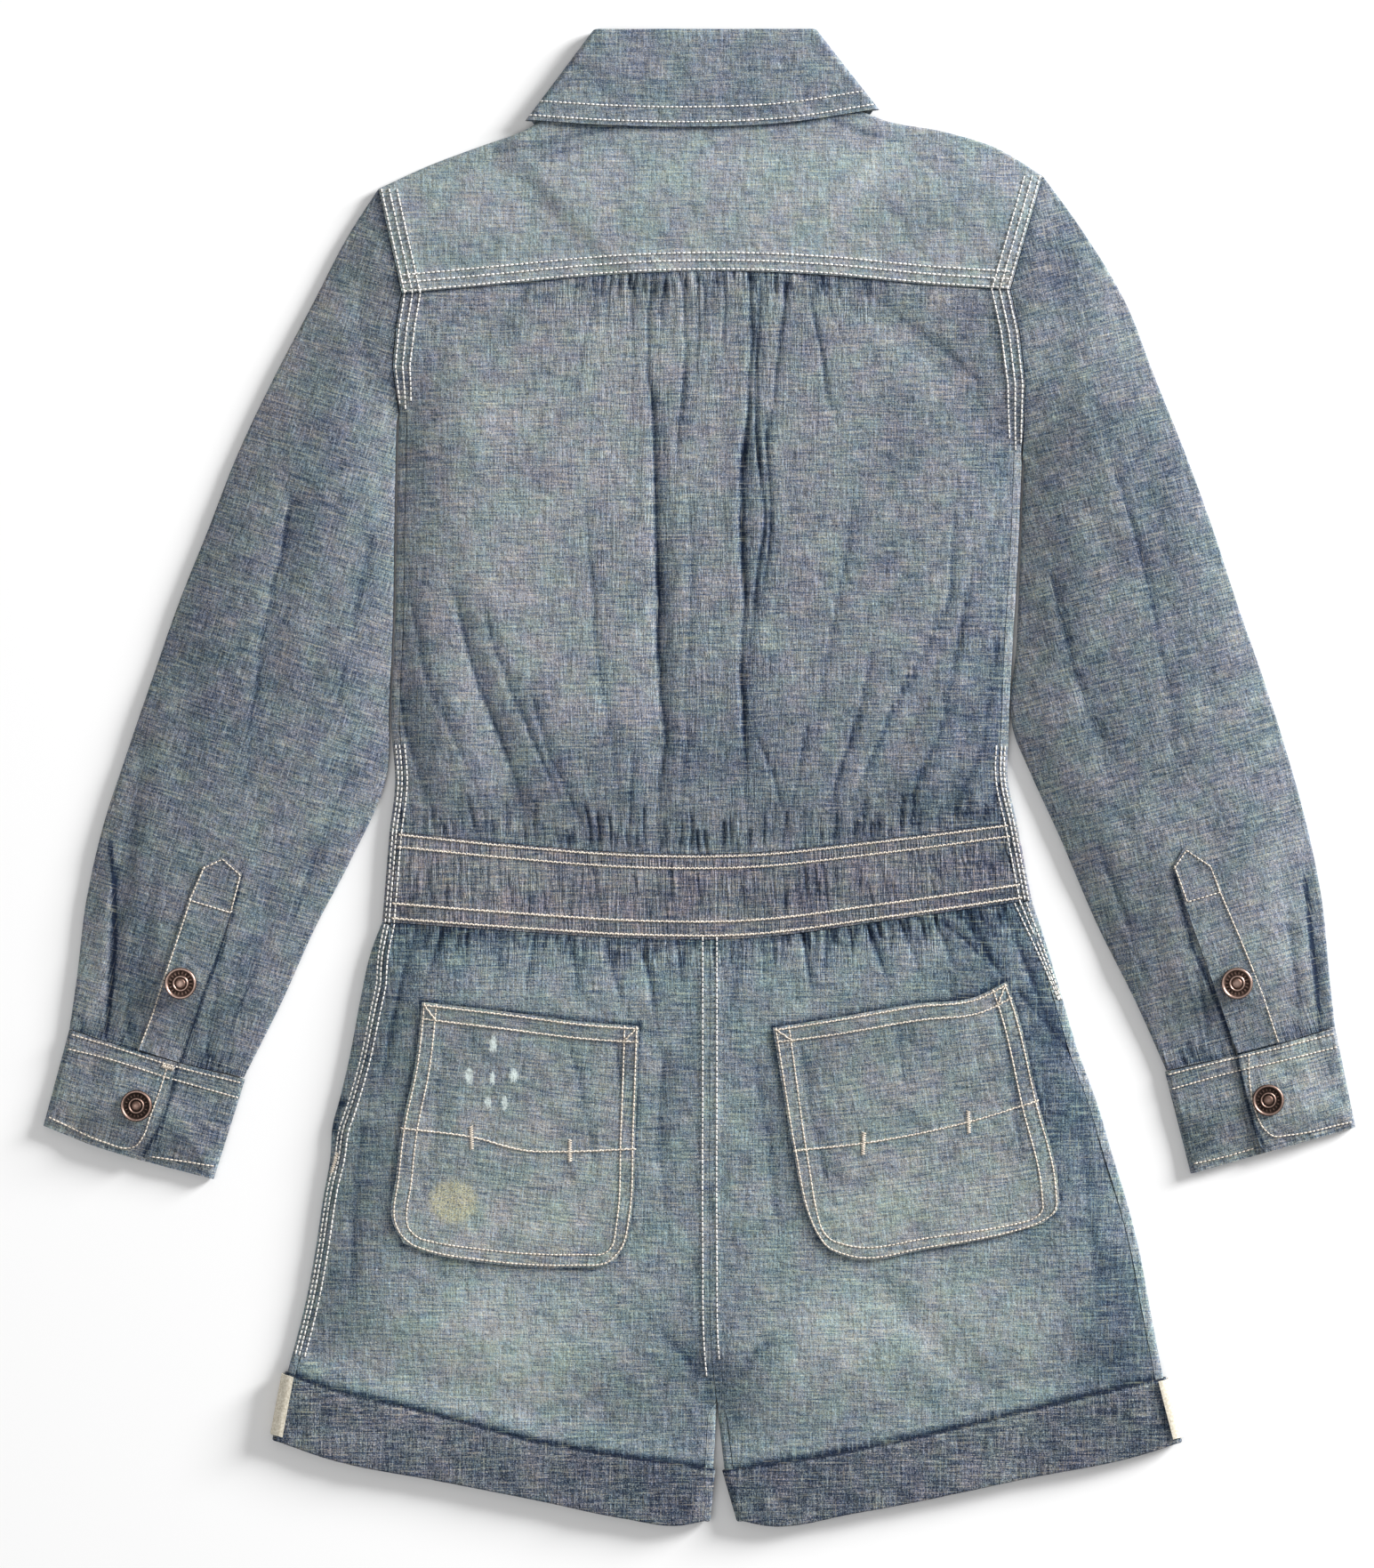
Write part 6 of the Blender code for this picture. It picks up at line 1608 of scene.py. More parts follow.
# Cuffs: doubled strips of chambray round the ends of the sleeves. The upper end of each laps over the lower
# and is snapped to it, so that a step shows across the cuff.
CUFF_CLOTH = chambray("chambray cuffs", 0.445, 330.0, (1.0, 0.985, 0.96), 1.1)
CUFF_WALL = 1.2
LAP_ENDS = (0.625, 0.415)  # where the lap ends, as a share of the cuff's width
LAP_LENGTH = 0.26
# The edges of the laps, in pixels, where painted shadow lies under them
LAP_EDGES = (
    ((200, 1198), (192, 1235), (180, 1268), (162, 1298)),
    ((1391, 1185), (1398, 1225), (1408, 1262), (1420, 1286)),
)
CUFF_FADES = (
    (0.09, 70, 1230, 45, 60), (-0.07, 250, 1270, 40, 60), (0.10, 1455, 1220, 60, 60),
    (-0.04, 1350, 1270, 40, 50),
)
for side, name in enumerate(NAMES):
    top, bottom, end = CUFF_TOP[side], CUFF_BOTTOM[side], LAP_ENDS[side]
    patch = Patch(curve(top), curve(bottom), along([top[0], bottom[0]]), along([top[-1], bottom[-1]]))
    cuff_height = math.dist(top[0], bottom[0])
    near, far = in_order(side, 0.0, 1.0)
    lap_start = end - LAP_LENGTH if side == 0 else end + LAP_LENGTH
    fold = np.linspace(90, -90, 9)[1:-1]
    share = [mix(lap_start, far, spread(44)), np.full(7, far), mix(far, near, spread(30))]
    share += [np.full(7, near), mix(near, end, spread(60))]
    share = np.concatenate(share)
    angle = np.concatenate([np.full(44, 90.0), fold, np.full(30, -90.0), fold[::-1], np.full(60, 90.0)])
    is_over = np.arange(len(share)) >= 88
    before = abs(lap_start - near) - np.abs(share - near)
    lap = np.where(is_over, (CUFF_WALL + SEAM_GAP + 0.4) * smooth(1 - (before - 0.02) / 0.22), 0.0)
    lap = lap + np.where(angle == 90, 0.4, 0.0)
    down = spread(34)[:, None]
    rounded = mix(near, share, 1 - 0.06 * np.clip((down - 0.8) / 0.2, 0, 1) ** 2)
    shares = np.where(is_over, rounded, share)
    spot = patch.at(shares, mix(HALF_GAP / cuff_height, 1.0, down), FOLD_REACH, FOLD_REACH)
    outward = patch.sideways(down) * np.where(shares < 0.5, -1, 1)[..., None]
    relief = Relief(spot).hills(9, 0.16, 61, 0.015).hills(16, 0.2, 62, 0.02)
    relief.seam(top, 9.0, 0.25, 0.12, 5.0).seam(bottom, 5.0, 0.15, 0.12, 5.0)
    relief.fades(CUFF_FADES)
    relief.add(lap)
    # Painted shadow under the lap's edge
    relief.shade(pixel(*LAP_EDGES[side]), 0.9, 0.50)
    grain = math.degrees(math.atan2(top[-1][1] - top[0][1], top[-1][0] - top[0][0]))
    if side == 1:
        spot, angle, outward = spot[:, ::-1], angle[::-1], outward[:, ::-1]
        relief.rise, relief.tone = relief.rise[:, ::-1], relief.tone[:, ::-1]
    skin = draped(spot, relief, angle[None, :], outward)
    piece = cloth(f"wrist_{name}", skin, CUFF_CLOTH, [f"cuff_{name}"], relief, grain, CUFF_WALL)

# Patch pockets: two pieces of chambray on the seat, hemmed at the top and sewn down on three sides with two
# rows of stitches. The left one has six small worn spots and a yellowed patch. What lies on a panel follows
# the panel's finished surface, found by a ray from above.
def ground(names):
    graph = bpy.context.evaluated_depsgraph_get()
    return [BVHTree.FromObject(bpy.data.objects[name], graph) for name in names]


def heights(trees, spots):
    flat = spots.reshape(-1, 2)
    found = np.full(len(flat), np.nan)
    for index, (x, y) in enumerate(flat):
        start = Vector(((x - MIDDLE[0]) / 1000, (y - MIDDLE[1]) / 1000, 0.1))
        hits = [tree.ray_cast(start, Vector((0, 0, -1)))[0] for tree in trees]
        hits = [hit.z * 1000 for hit in hits if hit is not None]
        if hits:
            found[index] = max(hits)
    return found.reshape(spots.shape[:-1])


def laid_on(spots, floor_here, relief):
    """The skin of cloth that lies on another piece, whose height is floor_here."""
    return lambda off: np.concatenate([spots, (floor_here + relief.rise + off)[..., None]], -1)


# Worn spots: middle and half width and height, in pixels
FLECKS = (
    (555, 1173, 4.5, 9), (528, 1209, 4, 9), (554, 1212, 3, 7), (578, 1209, 4.5, 7), (549, 1239, 3.5, 6),
    (568, 1239, 3.2, 8),
)
STAIN, STAIN_HALF_WIDTH, STAIN_HALF_HEIGHT = (510, 1350), 15.0, 13.0
POCKET_WIDTH, POCKET_HEIGHT = 120, 140


def pocket_marks(finish, colour):
    x, y, _ = finish.parts(finish.node("ShaderNodeTexCoord", 3))
    x, y = x * 1000.0 + MIDDLE[0], y * 1000.0 + MIDDLE[1]
    streak = finish.noise(finish.vector(x * 1.6, y * 0.5, 1.0), 1.0, 2.0, 0.6)
    total = None
    for px, py, half_width, half_height in FLECKS:
        (mx, my), = pixel((px, py))
        dx, dy = (x - mx) * (1 / (half_width * PIXEL)), (y - my) * (1 / (half_height * PIXEL))
        near = (1.35 - (dx * dx + dy * dy) + (streak - 0.5) * 4.5).between(0.0, 0.9)
        total = near if total is None else total.maths("MAXIMUM", near)
    colour = finish.blend(total * 0.85, colour, (0.60, 0.68, 0.66))
    (mx, my), = pixel(STAIN)
    dx, dy = (x - mx) * (1 / STAIN_HALF_WIDTH), (y - my) * (1 / STAIN_HALF_HEIGHT)
    rough = finish.noise(finish.vector(x * 0.9, y * 1.5, 8.0), 1.0, 3.0, 0.7)
    stain = (1.0 - (dx * dx + dy * dy)).between(0.0, 0.5) * rough.between(0.44, 0.56)
    return finish.blend(stain * 0.85, colour, (0.54, 0.51, 0.31))


POCKET_FOLDS = (
    (1.0, 2.5, (640, 1175), (662, 1260), (672, 1330)),
    (0.8, 2.2, (690, 1165), (700, 1230)),
    (0.8, 2.8, (500, 1160), (490, 1260), (482, 1330)),
    (0.8, 2.6, (900, 1170), (915, 1270), (940, 1360)),
    (0.8, 2.6, (1120, 1130), (1140, 1230), (1150, 1330)),
    (0.7, 3.0, (1010, 1150), (1020, 1240)),
)
POCKET_FADES = (
    (0.08, 640, 1370, 60, 40), (0.12, 530, 1390, 90, 45), (-0.05, 540, 1190, 80, 40),
    (0.10, 970, 1370, 80, 50), (0.09, 1100, 1350, 70, 40), (-0.04, 1000, 1180, 90, 30),
    (0.05, 570, 1290, 90, 40), (-0.08, 1160, 1180, 40, 90),
)
POCKET_CLOTH = chambray("chambray pockets", 0.55, 210.0, (0.99, 1.005, 0.98), 1.05, pocket_marks)
POCKET_PATCHES = []
for side, name in enumerate(NAMES):
    edges = POCKETS[side]
    patch = Patch(*(curve(edges[key]) for key in ("top", "bottom", "left", "right")))
    POCKET_PATCHES.append(patch)
    across, down = spread(88)[None, :], spread(90)[:, None]
    spots = patch.at(across, down)
    floor_here = heights(ground([f"seat_{name}"]), spots)
    floor_here = np.where(np.isnan(floor_here), np.nanmean(floor_here), floor_here)
    relief = Relief(spots).hills(22, 0.35, 71, 0.02).hills(8, 0.16, 72, 0.015)
    to_edge = np.minimum(np.minimum(across, 1 - across) * POCKET_WIDTH, (1 - down) * POCKET_HEIGHT)
    from_top = down * POCKET_HEIGHT
    gape = bell(from_top / 9) * smooth(np.minimum(across, 1 - across) / 0.25)
    hem = 0.5 * smooth((10 - from_top) / 1.6)
    relief.add(0.9 + 0.35 * smooth((8.5 - to_edge) / 2) + 0.5 * smooth(to_edge / 40) + hem + 0.9 * gape)
    # Puckers along the edges, painted paler on their crests and darker between them, as light and shade
    wave = np.sin(2 * math.pi * (across * POCKET_WIDTH + down * POCKET_HEIGHT) / 5.5)
    wave = wave * smooth((9 - to_edge) / 4)
    worn_edge = 0.05 * bell(to_edge / 1.2) + 0.04 * bell(from_top / 1.5)
    relief.add(0.16 * wave, 0.08 * wave + worn_edge)
    relief.folds(POCKET_FOLDS)
    relief.fades(POCKET_FADES)
    skin = laid_on(spots, floor_here, relief)
    piece = cloth(f"patch_{name}", skin, POCKET_CLOTH, [f"pocket_{name}"], relief, (-6, 7)[side], 0.6)

# Sleeve plackets: a pointed strip of chambray covers the slit above each cuff and is sewn down along its
# edges.
PLACKETS = (
    (
        ((-267, -48), (-256, -42), (-246, -52)),
        ((-267, -48), (-275, -66), (-302, -147)),
        ((-246, -52), (-252, -73), (-280, -154)),
    ),
    (
        ((256, -48), (262, -37), (277, -47)),
        ((256, -48), (262, -68), (291, -149)),
        ((277, -47), (282, -61), (314, -143)),
    ),
)
PLACKET_HEADS = ((258, 1030), (1334, 1020))
STRIP_WIDTH = 22
for side, name in enumerate(NAMES):
    tip, left_side, right_side = PLACKETS[side]
    left, right = along(left_side), along(right_side)
    patch = Patch(along(tip), along([left(1.0), right(1.0)]), left, right)
    across, down = spread(22)[None, :], spread(80)[:, None]
    spots = patch.at(across, down)
    floor_here = heights(ground([f"arm_{name}"]), spots)
    relief = Relief(spots).hills(9, 0.12, 81, 0.02)
    to_edge = np.minimum(across, 1 - across) * STRIP_WIDTH
    relief.add(0.95, 0.05 * bell(to_edge / 0.9))
    # Painted shade beside the strip's folded edge
    relief.shade(pixel(PLACKET_HEADS[side], *SLIT_EDGES[side][1:]), 0.8, 0.35)
    skin = laid_on(spots, floor_here, relief)
    replaced = [f"sleeve_placket_{name}"]
    piece = cloth(f"slit_strip_{name}", skin, SLEEVE_CLOTH, replaced, relief, (-18, 18)[side], 0.6)

# Stitches: rows of cotton thread that dive into the cloth at both ends of each stitch, beside small dark
# discs of painted shade for the holes they dive into. A node group sets one bowed thread after another along
# each row, and the rows lie on the finished pieces.
def thread_finish(name, dark, light):
    finish = Finish(name, 0.75)
    place = finish.node("ShaderNodeTexCoord", 3)
    finish.drive("Base Color", finish.ramp(finish.noise(place, 420.0, 3.0), ((0.35, dark), (0.62, light))))
    finish.shader.inputs["Sheen Weight"].default_value = 0.2
    return finish.material


WHITE_THREAD = thread_finish("pale thread", (0.60, 0.57, 0.53), (0.84, 0.82, 0.78))
CREAM_THREAD = thread_finish("cream thread", (0.52, 0.45, 0.37), (0.80, 0.71, 0.60))
HOLE_SHADE = Finish("needle hole shade")
HOLE_SHADE_COLOURS = ((0.3, (0.02, 0.03, 0.045)), (0.7, (0.06, 0.075, 0.095)))
HOLE_SHADE.drive("Base Color", HOLE_SHADE.ramp(HOLE_SHADE.noise(HOLE_SHADE.node("ShaderNodeTexCoord", 3), 500.0), HOLE_SHADE_COLOURS))


def stitch_group():
    group = bpy.data.node_groups.new("stitches", "GeometryNodeTree")
    face = group.interface
    face.new_socket("Rows", in_out="INPUT", socket_type="NodeSocketGeometry")
    for name in ("Pitch", "Length", "Thread", "Zigzag"):
        face.new_socket(name, in_out="INPUT", socket_type="NodeSocketFloat")
    face.new_socket("Seed", in_out="INPUT", socket_type="NodeSocketInt")
    face.new_socket("Finish", in_out="INPUT", socket_type="NodeSocketMaterial")
    face.new_socket("Stitches", in_out="OUTPUT", socket_type="NodeSocketGeometry")
    nodes, links = group.nodes, group.links
    given = nodes.new("NodeGroupInput").outputs
    result = nodes.new("NodeGroupOutput")

    def join(value, slot):
        if isinstance(value, bpy.types.NodeSocket):
            links.new(value, slot)
        else:
            slot.default_value = value

    def node(kind, settings=None, **inputs):
        new = nodes.new(kind)
        for name, value in (settings or {}).items():
            setattr(new, name, value)
        for name, value in inputs.items():
            join(value, new.inputs[name.replace("_", " ")])
        return new

    def maths(operation, first, second):
        new = nodes.new("ShaderNodeMath")
        new.operation = operation
        join(first, new.inputs[0])
        join(second, new.inputs[1])
        return new.outputs[0]

    def times(first, second):
        return maths("MULTIPLY", first, second)

    def vector(x=0.0, y=0.0, z=0.0):
        return node("ShaderNodeCombineXYZ", X=x, Y=y, Z=z).outputs[0]

    half = times(given["Length"], 0.5)
    sunk = times(given["Thread"], -0.4)
    start = vector(times(half, -1.0), z=sunk)
    end = vector(half, z=sunk)
    middle = vector(z=times(given["Thread"], 0.9))
    # A dark disc beside each stitch: painted shade for the hole where the thread dives into the cloth
    hole = node("GeometryNodeMeshCircle", {"fill_type": "NGON"}, Vertices=6, Radius=0.5)
    hole_shade_place = vector(times(given["Pitch"], 0.5), z=-0.00003)
    hole_shade_length = times(maths("SUBTRACT", given["Pitch"], given["Length"]), 1.5)
    hole_shade_size = vector(hole_shade_length, times(given["Thread"], 1.1), 1.0)
    hole_shade = node("GeometryNodeTransform", Geometry=hole.outputs[0], Translation=hole_shade_place, Scale=hole_shade_size)
    bow = node("GeometryNodeCurveQuadraticBezier", Resolution=4, Start=start, Middle=middle, End=end)
    thick = times(given["Thread"], 0.5)
    ring = node("GeometryNodeCurvePrimitiveCircle", Resolution=5, Radius=thick)
    thread = node(
        "GeometryNodeCurveToMesh", Curve=bow.outputs[0], Profile_Curve=ring.outputs[0], Fill_Caps=True,
    )
    marks = node("GeometryNodeCurveToPoints", {"mode": "LENGTH"}, Curve=given["Rows"], Length=given["Pitch"])
    facing = node("FunctionNodeAlignRotationToVector", {"axis": "X"}, Vector=marks.outputs["Tangent"])
    upright = node(
        "FunctionNodeAlignRotationToVector", {"axis": "Z", "pivot_axis": "X"}, Rotation=facing.outputs[0],
        Vector=(0.0, 0.0, 1.0),
    )
    parity = maths("MODULO", node("GeometryNodeInputIndex").outputs[0], 2.0)
    turn = times(maths("SUBTRACT", times(parity, 2.0), 1.0), given["Zigzag"])
    loose = node("FunctionNodeRandomValue", {"data_type": "FLOAT"}, Seed=given["Seed"])
    loose.inputs[2].default_value, loose.inputs[3].default_value = -0.07, 0.07
    spin = node("FunctionNodeEulerToRotation", Euler=vector(z=maths("ADD", turn, loose.outputs[1])))
    turned = node(
        "FunctionNodeRotateRotation", {"rotation_space": "LOCAL"}, Rotation=upright.outputs[0],
        Rotate_By=spin.outputs[0],
    )
    size = node("FunctionNodeRandomValue", {"data_type": "FLOAT"}, Seed=given["Seed"])
    size.inputs[2].default_value, size.inputs[3].default_value = 0.86, 1.08
    both = node("GeometryNodeJoinGeometry")
    for piece, finish in ((thread, given["Finish"]), (hole_shade, HOLE_SHADE.material)):
        placed = node(
            "GeometryNodeInstanceOnPoints", Points=marks.outputs["Points"], Instance=piece.outputs[0],
            Rotation=turned.outputs[0], Scale=size.outputs[1],
        )
        real = node("GeometryNodeRealizeInstances", Geometry=placed.outputs[0])
        finished = node("GeometryNodeSetMaterial", Geometry=real.outputs[0], Material=finish)
        links.new(finished.outputs[0], both.inputs[0])
    links.new(both.outputs[0], result.inputs[0])
    return group


STITCHES = stitch_group()
ROW_STEP = 0.9  # between the places that a row is laid through
STEEPEST = 0.9  # rise over one step, past which the cloth is too steep to carry a stitch


def stitch(
    name, rows, grounds, pitch=2.65, length=1.95, thread=0.95, zigzag=0.0, finish=CREAM_THREAD, seed=1,
    lift=0.1,
):
    """Rows are lines of places in mm, in the plane. They are laid on the named pieces."""
    trees = ground(grounds)
    line = bpy.data.curves.new(name, "CURVE")
    line.dimensions = "3D"
    for row in rows:
        row = np.asarray(row, float)
        total = length_of(np.diff(row, axis=0)).sum()
        places = along(row)(spread(max(int(total / ROW_STEP), 2)))
        z = heights(trees, places)
        places, z = places[~np.isnan(z)], z[~np.isnan(z)]
        if len(z) < 3:
            continue
        level = np.abs(np.gradient(z)) < STEEPEST
        places, z = places[level], z[level]
        points = (np.concatenate([places, (z + lift)[:, None]], -1) - MIDDLE) / 1000
        spline = line.splines.new("POLY")
        spline.points.add(len(points) - 1)
        spline.points.foreach_set("co", np.concatenate([points, np.ones((len(points), 1))], -1).ravel())
    laid = placed(name, line)
    modifier = laid.modifiers.new("stitches", "NODES")
    modifier.node_group = STITCHES
    values = {"Pitch": pitch / 1000, "Length": length / 1000, "Thread": thread / 1000}
    values |= {"Zigzag": zigzag, "Seed": seed, "Finish": finish}
    for item in STITCHES.interface.items_tree:
        if item.in_out == "INPUT" and item.name in values:
            modifier[item.identifier] = values[item.name]
    graph = bpy.context.evaluated_depsgraph_get()
    mesh = bpy.data.meshes.new_from_object(laid.evaluated_get(graph), depsgraph=graph)
    bpy.data.objects.remove(laid, do_unlink=True)
    mesh.shade_smooth()
    piece = placed(name, mesh)
    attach(piece, "root")
    return piece


def beside(line, distance, start=0.0, end=1.0, side=1, count=60):
    share = np.linspace(start, end, count)
    return line(share) + square_to(line, share, side) * distance

# Rows along the yoke seam and the armholes, three each
rows = [beside(YOKE_LINE, distance, 0.006, 0.994) for distance in (0.8, 5.5, 9.6)]
for side in (0, 1):
    sign = 1 - 2 * side
    upper = along(ARMHOLES[side][:2])
    rows += [upper(np.linspace(0.02, 1, 30)) + (sign * distance, 0.0) for distance in (1.6, 5.8, 10.0)]
for side in (0, 1):
    sign = 1 - 2 * side
    lower = along(ARMHOLES[side][1:])
    for distance, stop in ((1.6, 1.0), (5.8, 0.97), (10.0, 0.9)):
        share = np.linspace(0.02, stop, 40)
        drift = np.stack([sign * distance * (1 - 0.35 * share**3), np.zeros(40)], -1)
        rows.append(lower(share) + drift)
stitch("stitches_yoke", rows, ["yoke", "back_panel"], finish=WHITE_THREAD)

# Rows along the waistband: two pairs of chain stitch
rows = [band.plain(np.linspace(0.003, 0.997, 260), row) for row in BAND_ROWS]
stitch("stitches_band_top", rows[:2], ["band_back"], 1.25, 1.2, 0.95, 0.5, seed=2)
stitch("stitches_band_bottom", rows[2:], ["band_back"], 1.35, 1.6, 1.1, 0.38, seed=3)

# Rows along the side seams, three each, and two down the centre back
rows = []
for side in (0, 1):
    sign = 2 * side - 1
    for distance in (1.8, 3.8, 6.6):
        rows.append(beside(SIDES[side], -distance, 0.80, 1.0, sign))
        rows.append(beside(BAND_SIDES[side], -distance, 0.0, 1.0, sign))
    _, outer, _ = leg_frame(side)
    share = np.linspace(0.0, 0.93 if side == 0 else 0.20, 90)
    base = np.interp(share, SEAM_SHARES, SEAM_INSETS[side])
    for distance in (-2.8, -0.8, 2.4) if side == 0 else (3.4, 6.4, 9.4):
        inset = np.maximum(base + distance, 1.7) if side == 0 else distance * (1 - 0.75 * share / 0.20)
        rows.append(outer(share) - square_to(outer, share, sign) * inset[:, None])
back = curve(CENTRE_BACK)
rows += [beside(back, distance, 0.0, end) for distance, end in ((-3.8, 0.927), (3.8, 0.893))]
over = [f"{part}_{side}" for part in ("seat", "leg_front", "band_front", "front_panel") for side in NAMES]
over += ["back_panel", "band_back"]
stitch("stitches_seams", rows, over, 2.8, 2.0, 0.9, finish=WHITE_THREAD)

# Rows on the pockets: two round three sides, two along the hem, one across, a small triangle at each upper
# corner and short dense bars where the cloth is strained
SEWN_WIDTH, SEWN_HEIGHT = 118.0, 134.0
CORNER = 0.05  # the rounding of the lower corners
double, cream = [], []
for side in (0, 1):
    patch = POCKET_PATCHES[side]
    for inset in (1.4, 7.9):
        a, d = inset / SEWN_WIDTH, inset / SEWN_HEIGHT
        quarter = spread(10) * math.pi / 2
        rise, run = CORNER * (1 - np.sin(quarter)), CORNER * (1 - np.cos(quarter))
        path = [patch.plain(a, np.linspace(0.01, 1 - d - CORNER, 50))]
        path.append(patch.plain(a + run, 1 - d - rise))
        path.append(patch.plain(np.linspace(a + CORNER, 1 - a - CORNER, 50), 1 - d))
        path.append(patch.plain(1 - a - rise, 1 - d - run))
        path.append(patch.plain(1 - a, np.linspace(1 - d - CORNER, 0.01, 50)))
        double.append(np.concatenate(path))
    for inset in (1.6, 9.0):
        cream.append(patch.plain(np.linspace(0.012, 0.988, 60), inset / SEWN_HEIGHT))
    for near in (0, 1):
        far = abs(near - 8.3 / SEWN_WIDTH)
        down = np.linspace(0.012, 9.0 / SEWN_HEIGHT, 6)
        cream.append(patch.plain(np.linspace(abs(near - 0.012), far, 6), down))
cross = (
    ((453, 1268), (532, 1278), (592, 1293), (641, 1294), (713, 1291)),
    ((894, 1293), (968, 1285), (1088, 1261), (1167, 1237)),
)
cream += [curve(pixel(*line))(spread(60)) for line in cross]
stitch("stitches_pockets", double, ["patch_left", "patch_right"], 2.3, 1.75, 0.92, 0.05, seed=4)
stitch("stitches_pocket_hems", cream, ["patch_left", "patch_right"], 1.7, 1.9, 0.95, 0.25, seed=5)
BARS = (
    ((530, 1266), (531, 1291)), ((641, 1281), (641, 1305)), ((971, 1273), (970, 1297)),
    ((1088, 1249), (1089, 1273)), ((379, 1297), (373, 1318)), ((183, 1198), (195, 1202)),
)
over = ["patch_left", "patch_right", "leg_front_left", "wrist_left"]
stitch("stitches_bars", [pixel(*bar) for bar in BARS], over, 0.6, 2.1, 0.65, 1.25, seed=6, lift=0.3)

# Rows on the collar, the cuffs and the sleeve plackets
rows = [beside(leaf, distance, 0.012, 0.988) for distance in (2.6, 10.6)]
stitch("stitches_collar", rows, ["collar_leaf"], 2.5, 1.8, 0.85, 0.0, WHITE_THREAD, 7)
CUFF_STITCHES = (
    ((82, 1164), (120, 1175), (200, 1200), (268, 1217)),
    ((78, 1180), (120, 1190), (196, 1214), (266, 1234)),
    ((187, 1203), (180, 1226), (170, 1254), (160, 1280), (152, 1289), (143, 1291), (120, 1285), (56, 1257)),
    ((172, 1301), (200, 1305), (238, 1311)),
    ((1498, 1163), (1440, 1178), (1392, 1189), (1316, 1208)),
    ((1502, 1178), (1440, 1193), (1396, 1203), (1320, 1224)),
    ((1404, 1187), (1405, 1219), (1411, 1249), (1420, 1268), (1431, 1277), (1450, 1276), (1519, 1262)),
    ((1345, 1308), (1380, 1300), (1408, 1292)),
)
rows = [curve(pixel(*row))(spread(60)) for row in CUFF_STITCHES]
stitch("stitches_cuffs", rows, ["wrist_left", "wrist_right"], 2.3, 1.7, 0.85, seed=8)
SLIT_STITCHES = (
    ((230, 976), (251, 966), (271, 984), (260, 1026), (214, 1012), (230, 976)),
    ((215, 1012), (199, 1060), (172, 1140), (156, 1180)),
    ((1320, 975), (1333, 956), (1360, 974), (1371, 1003), (1334, 1014), (1320, 975)),
    ((1370, 1001), (1392, 1052), (1420, 1120), (1437, 1170)),
)
over = ["slit_strip_left", "slit_strip_right", "arm_left", "arm_right"]
stitch("stitches_slits", [pixel(*row) for row in SLIT_STITCHES], over, 2.3, 1.7, 0.85, seed=9)

# Snaps: ring caps of worn antique copper, pressed through the cloth. Between the rim and the inner ring
# lies a sunk band with a row of dots. The caps of the front closure lie face down and are plainer.
COPPER = Finish("antique copper", 0.36, 0.95)
place = COPPER.node("ShaderNodeTexCoord", 3)
grime = COPPER.noise(place, 900.0, 4.0, 0.65)
bright = (COPPER.attribute("wear_and_painted_light") + (grime - 0.5) * 0.7).clamped(0.0, 1.0)
COPPER_COLOURS = ((0.0, (0.030, 0.020, 0.017)), (0.5, (0.20, 0.125, 0.10)), (1.0, (0.62, 0.44, 0.37)))
COPPER.drive("Base Color", COPPER.ramp(bright, COPPER_COLOURS))
COPPER.drive("Roughness", 0.62 - bright * 0.32)
# Sections: share of the radius, height in mm and brightness. The brightness is partly the worn antique
# finish, dark in its hollows, and partly painted highlight on the dome and the raised rings.
CAP_SECTION = (
    (0.00, 2.05, 0.9), (0.10, 2.03, 0.8), (0.20, 1.95, 0.6), (0.29, 1.78, 0.4), (0.33, 1.25, 0.1),
    (0.37, 1.2, 0.05), (0.40, 1.7, 0.7), (0.43, 1.95, 1.0), (0.47, 1.9, 0.9), (0.50, 1.5, 0.3),
    (0.53, 1.15, 0.0), (0.58, 1.12, 0.0), (0.66, 1.12, 0.0), (0.74, 1.15, 0.0), (0.80, 1.25, 0.1),
    (0.84, 1.75, 0.6), (0.88, 2.1, 1.0), (0.92, 2.15, 1.0), (0.96, 1.9, 0.6), (1.00, 1.4, 0.3),
    (1.00, 0.7, 0.1), (0.97, 0.0, 0.0),
)
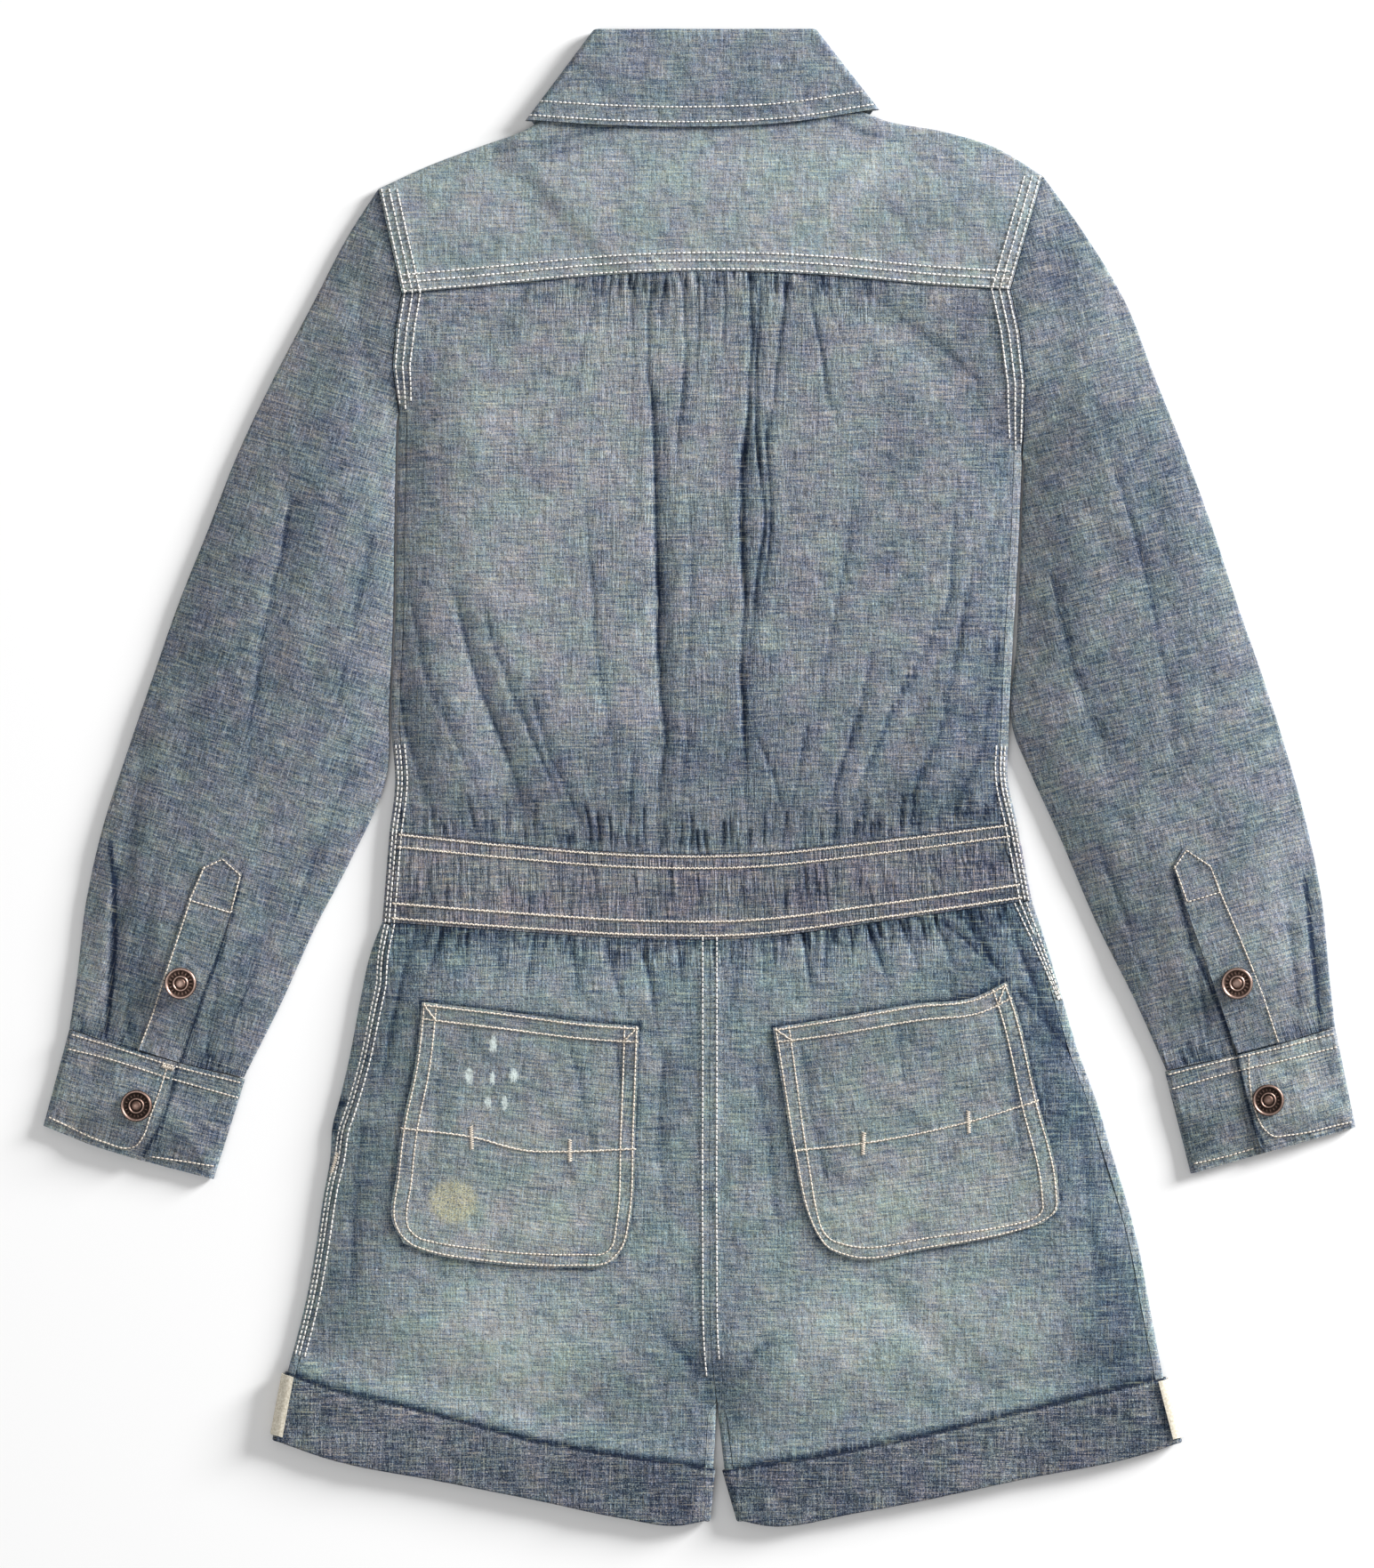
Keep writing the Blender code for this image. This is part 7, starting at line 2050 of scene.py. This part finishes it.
PLAIN_SECTION = (
    (0.00, 1.4, 0.5), (0.3, 1.38, 0.5), (0.5, 1.3, 0.3), (0.6, 1.05, 0.1), (0.7, 1.05, 0.1),
    (0.78, 1.35, 0.8), (0.88, 1.35, 0.8), (0.96, 1.1, 0.4), (1.00, 0.7, 0.2), (0.98, 0.0, 0.0),
)
DOTS = 18
CAP_RADIUS, PLAIN_RADIUS = 8.5, 7.5


def cap(node, section, radius, dots, flip=1, wear=0.0):
    """A turned cap in the place of a solid. flip is 1 where it faces up and -1 where it faces down."""
    low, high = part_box(node)
    middle = [(low[k] + high[k]) / 2 for k in range(2)]
    base = low[2] if flip == 1 else high[2]
    sides = 90 if dots else 40
    turn = np.linspace(0, 2 * math.pi, sides, endpoint=False)
    points, tones = [], []
    for share, rise, tone in section:
        dot = np.zeros(sides)
        if dots and 0.55 < share < 0.8:
            lean = 0.6 if share > 0.7 else 0.0
            dot_height = 0.35 if share == 0.66 else 0.18
            dot = np.maximum(np.cos(turn * DOTS + lean), 0.0) ** 2 * dot_height
        x = middle[0] + radius * share * np.cos(turn) / 1000
        y = middle[1] + radius * share * np.sin(turn) / 1000
        points.append(np.stack([x, y, base + flip * (rise + dot) / 1000], -1))
        # The raised dots are painted paler, partly worn finish and partly painted highlight
        tones.append(tone + wear + dot * 2.2)
    points, tones = np.concatenate(points), np.concatenate(tones)
    faces = []
    for ring in range(len(section) - 1):
        for step in range(sides):
            after = (step + 1) % sides
            inside, outside = ring * sides, (ring + 1) * sides
            face = [inside + step, outside + step, outside + after, inside + after]
            faces.append(face if flip == 1 else face[::-1])
    mesh = bpy.data.meshes.new("cap_" + node)
    mesh.from_pydata(points.tolist(), [], faces)
    mesh.validate()
    mesh.attributes.new("wear_and_painted_light", "FLOAT", "POINT").data.foreach_set("value", tones.astype(np.float32))
    mesh.shade_smooth()
    mesh.materials.append(COPPER.material)
    piece = placed("cap_" + node, mesh)
    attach(piece, "root")
    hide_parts(node)


for node in sorted(frame["nodes"]):
    if node.startswith("snap_front"):
        cap(node, PLAIN_SECTION, PLAIN_RADIUS, False, -1)
    elif node.startswith("snap"):
        cap(node, CAP_SECTION, CAP_RADIUS, True, wear=-0.18 if "cuff" in node else 0.02)
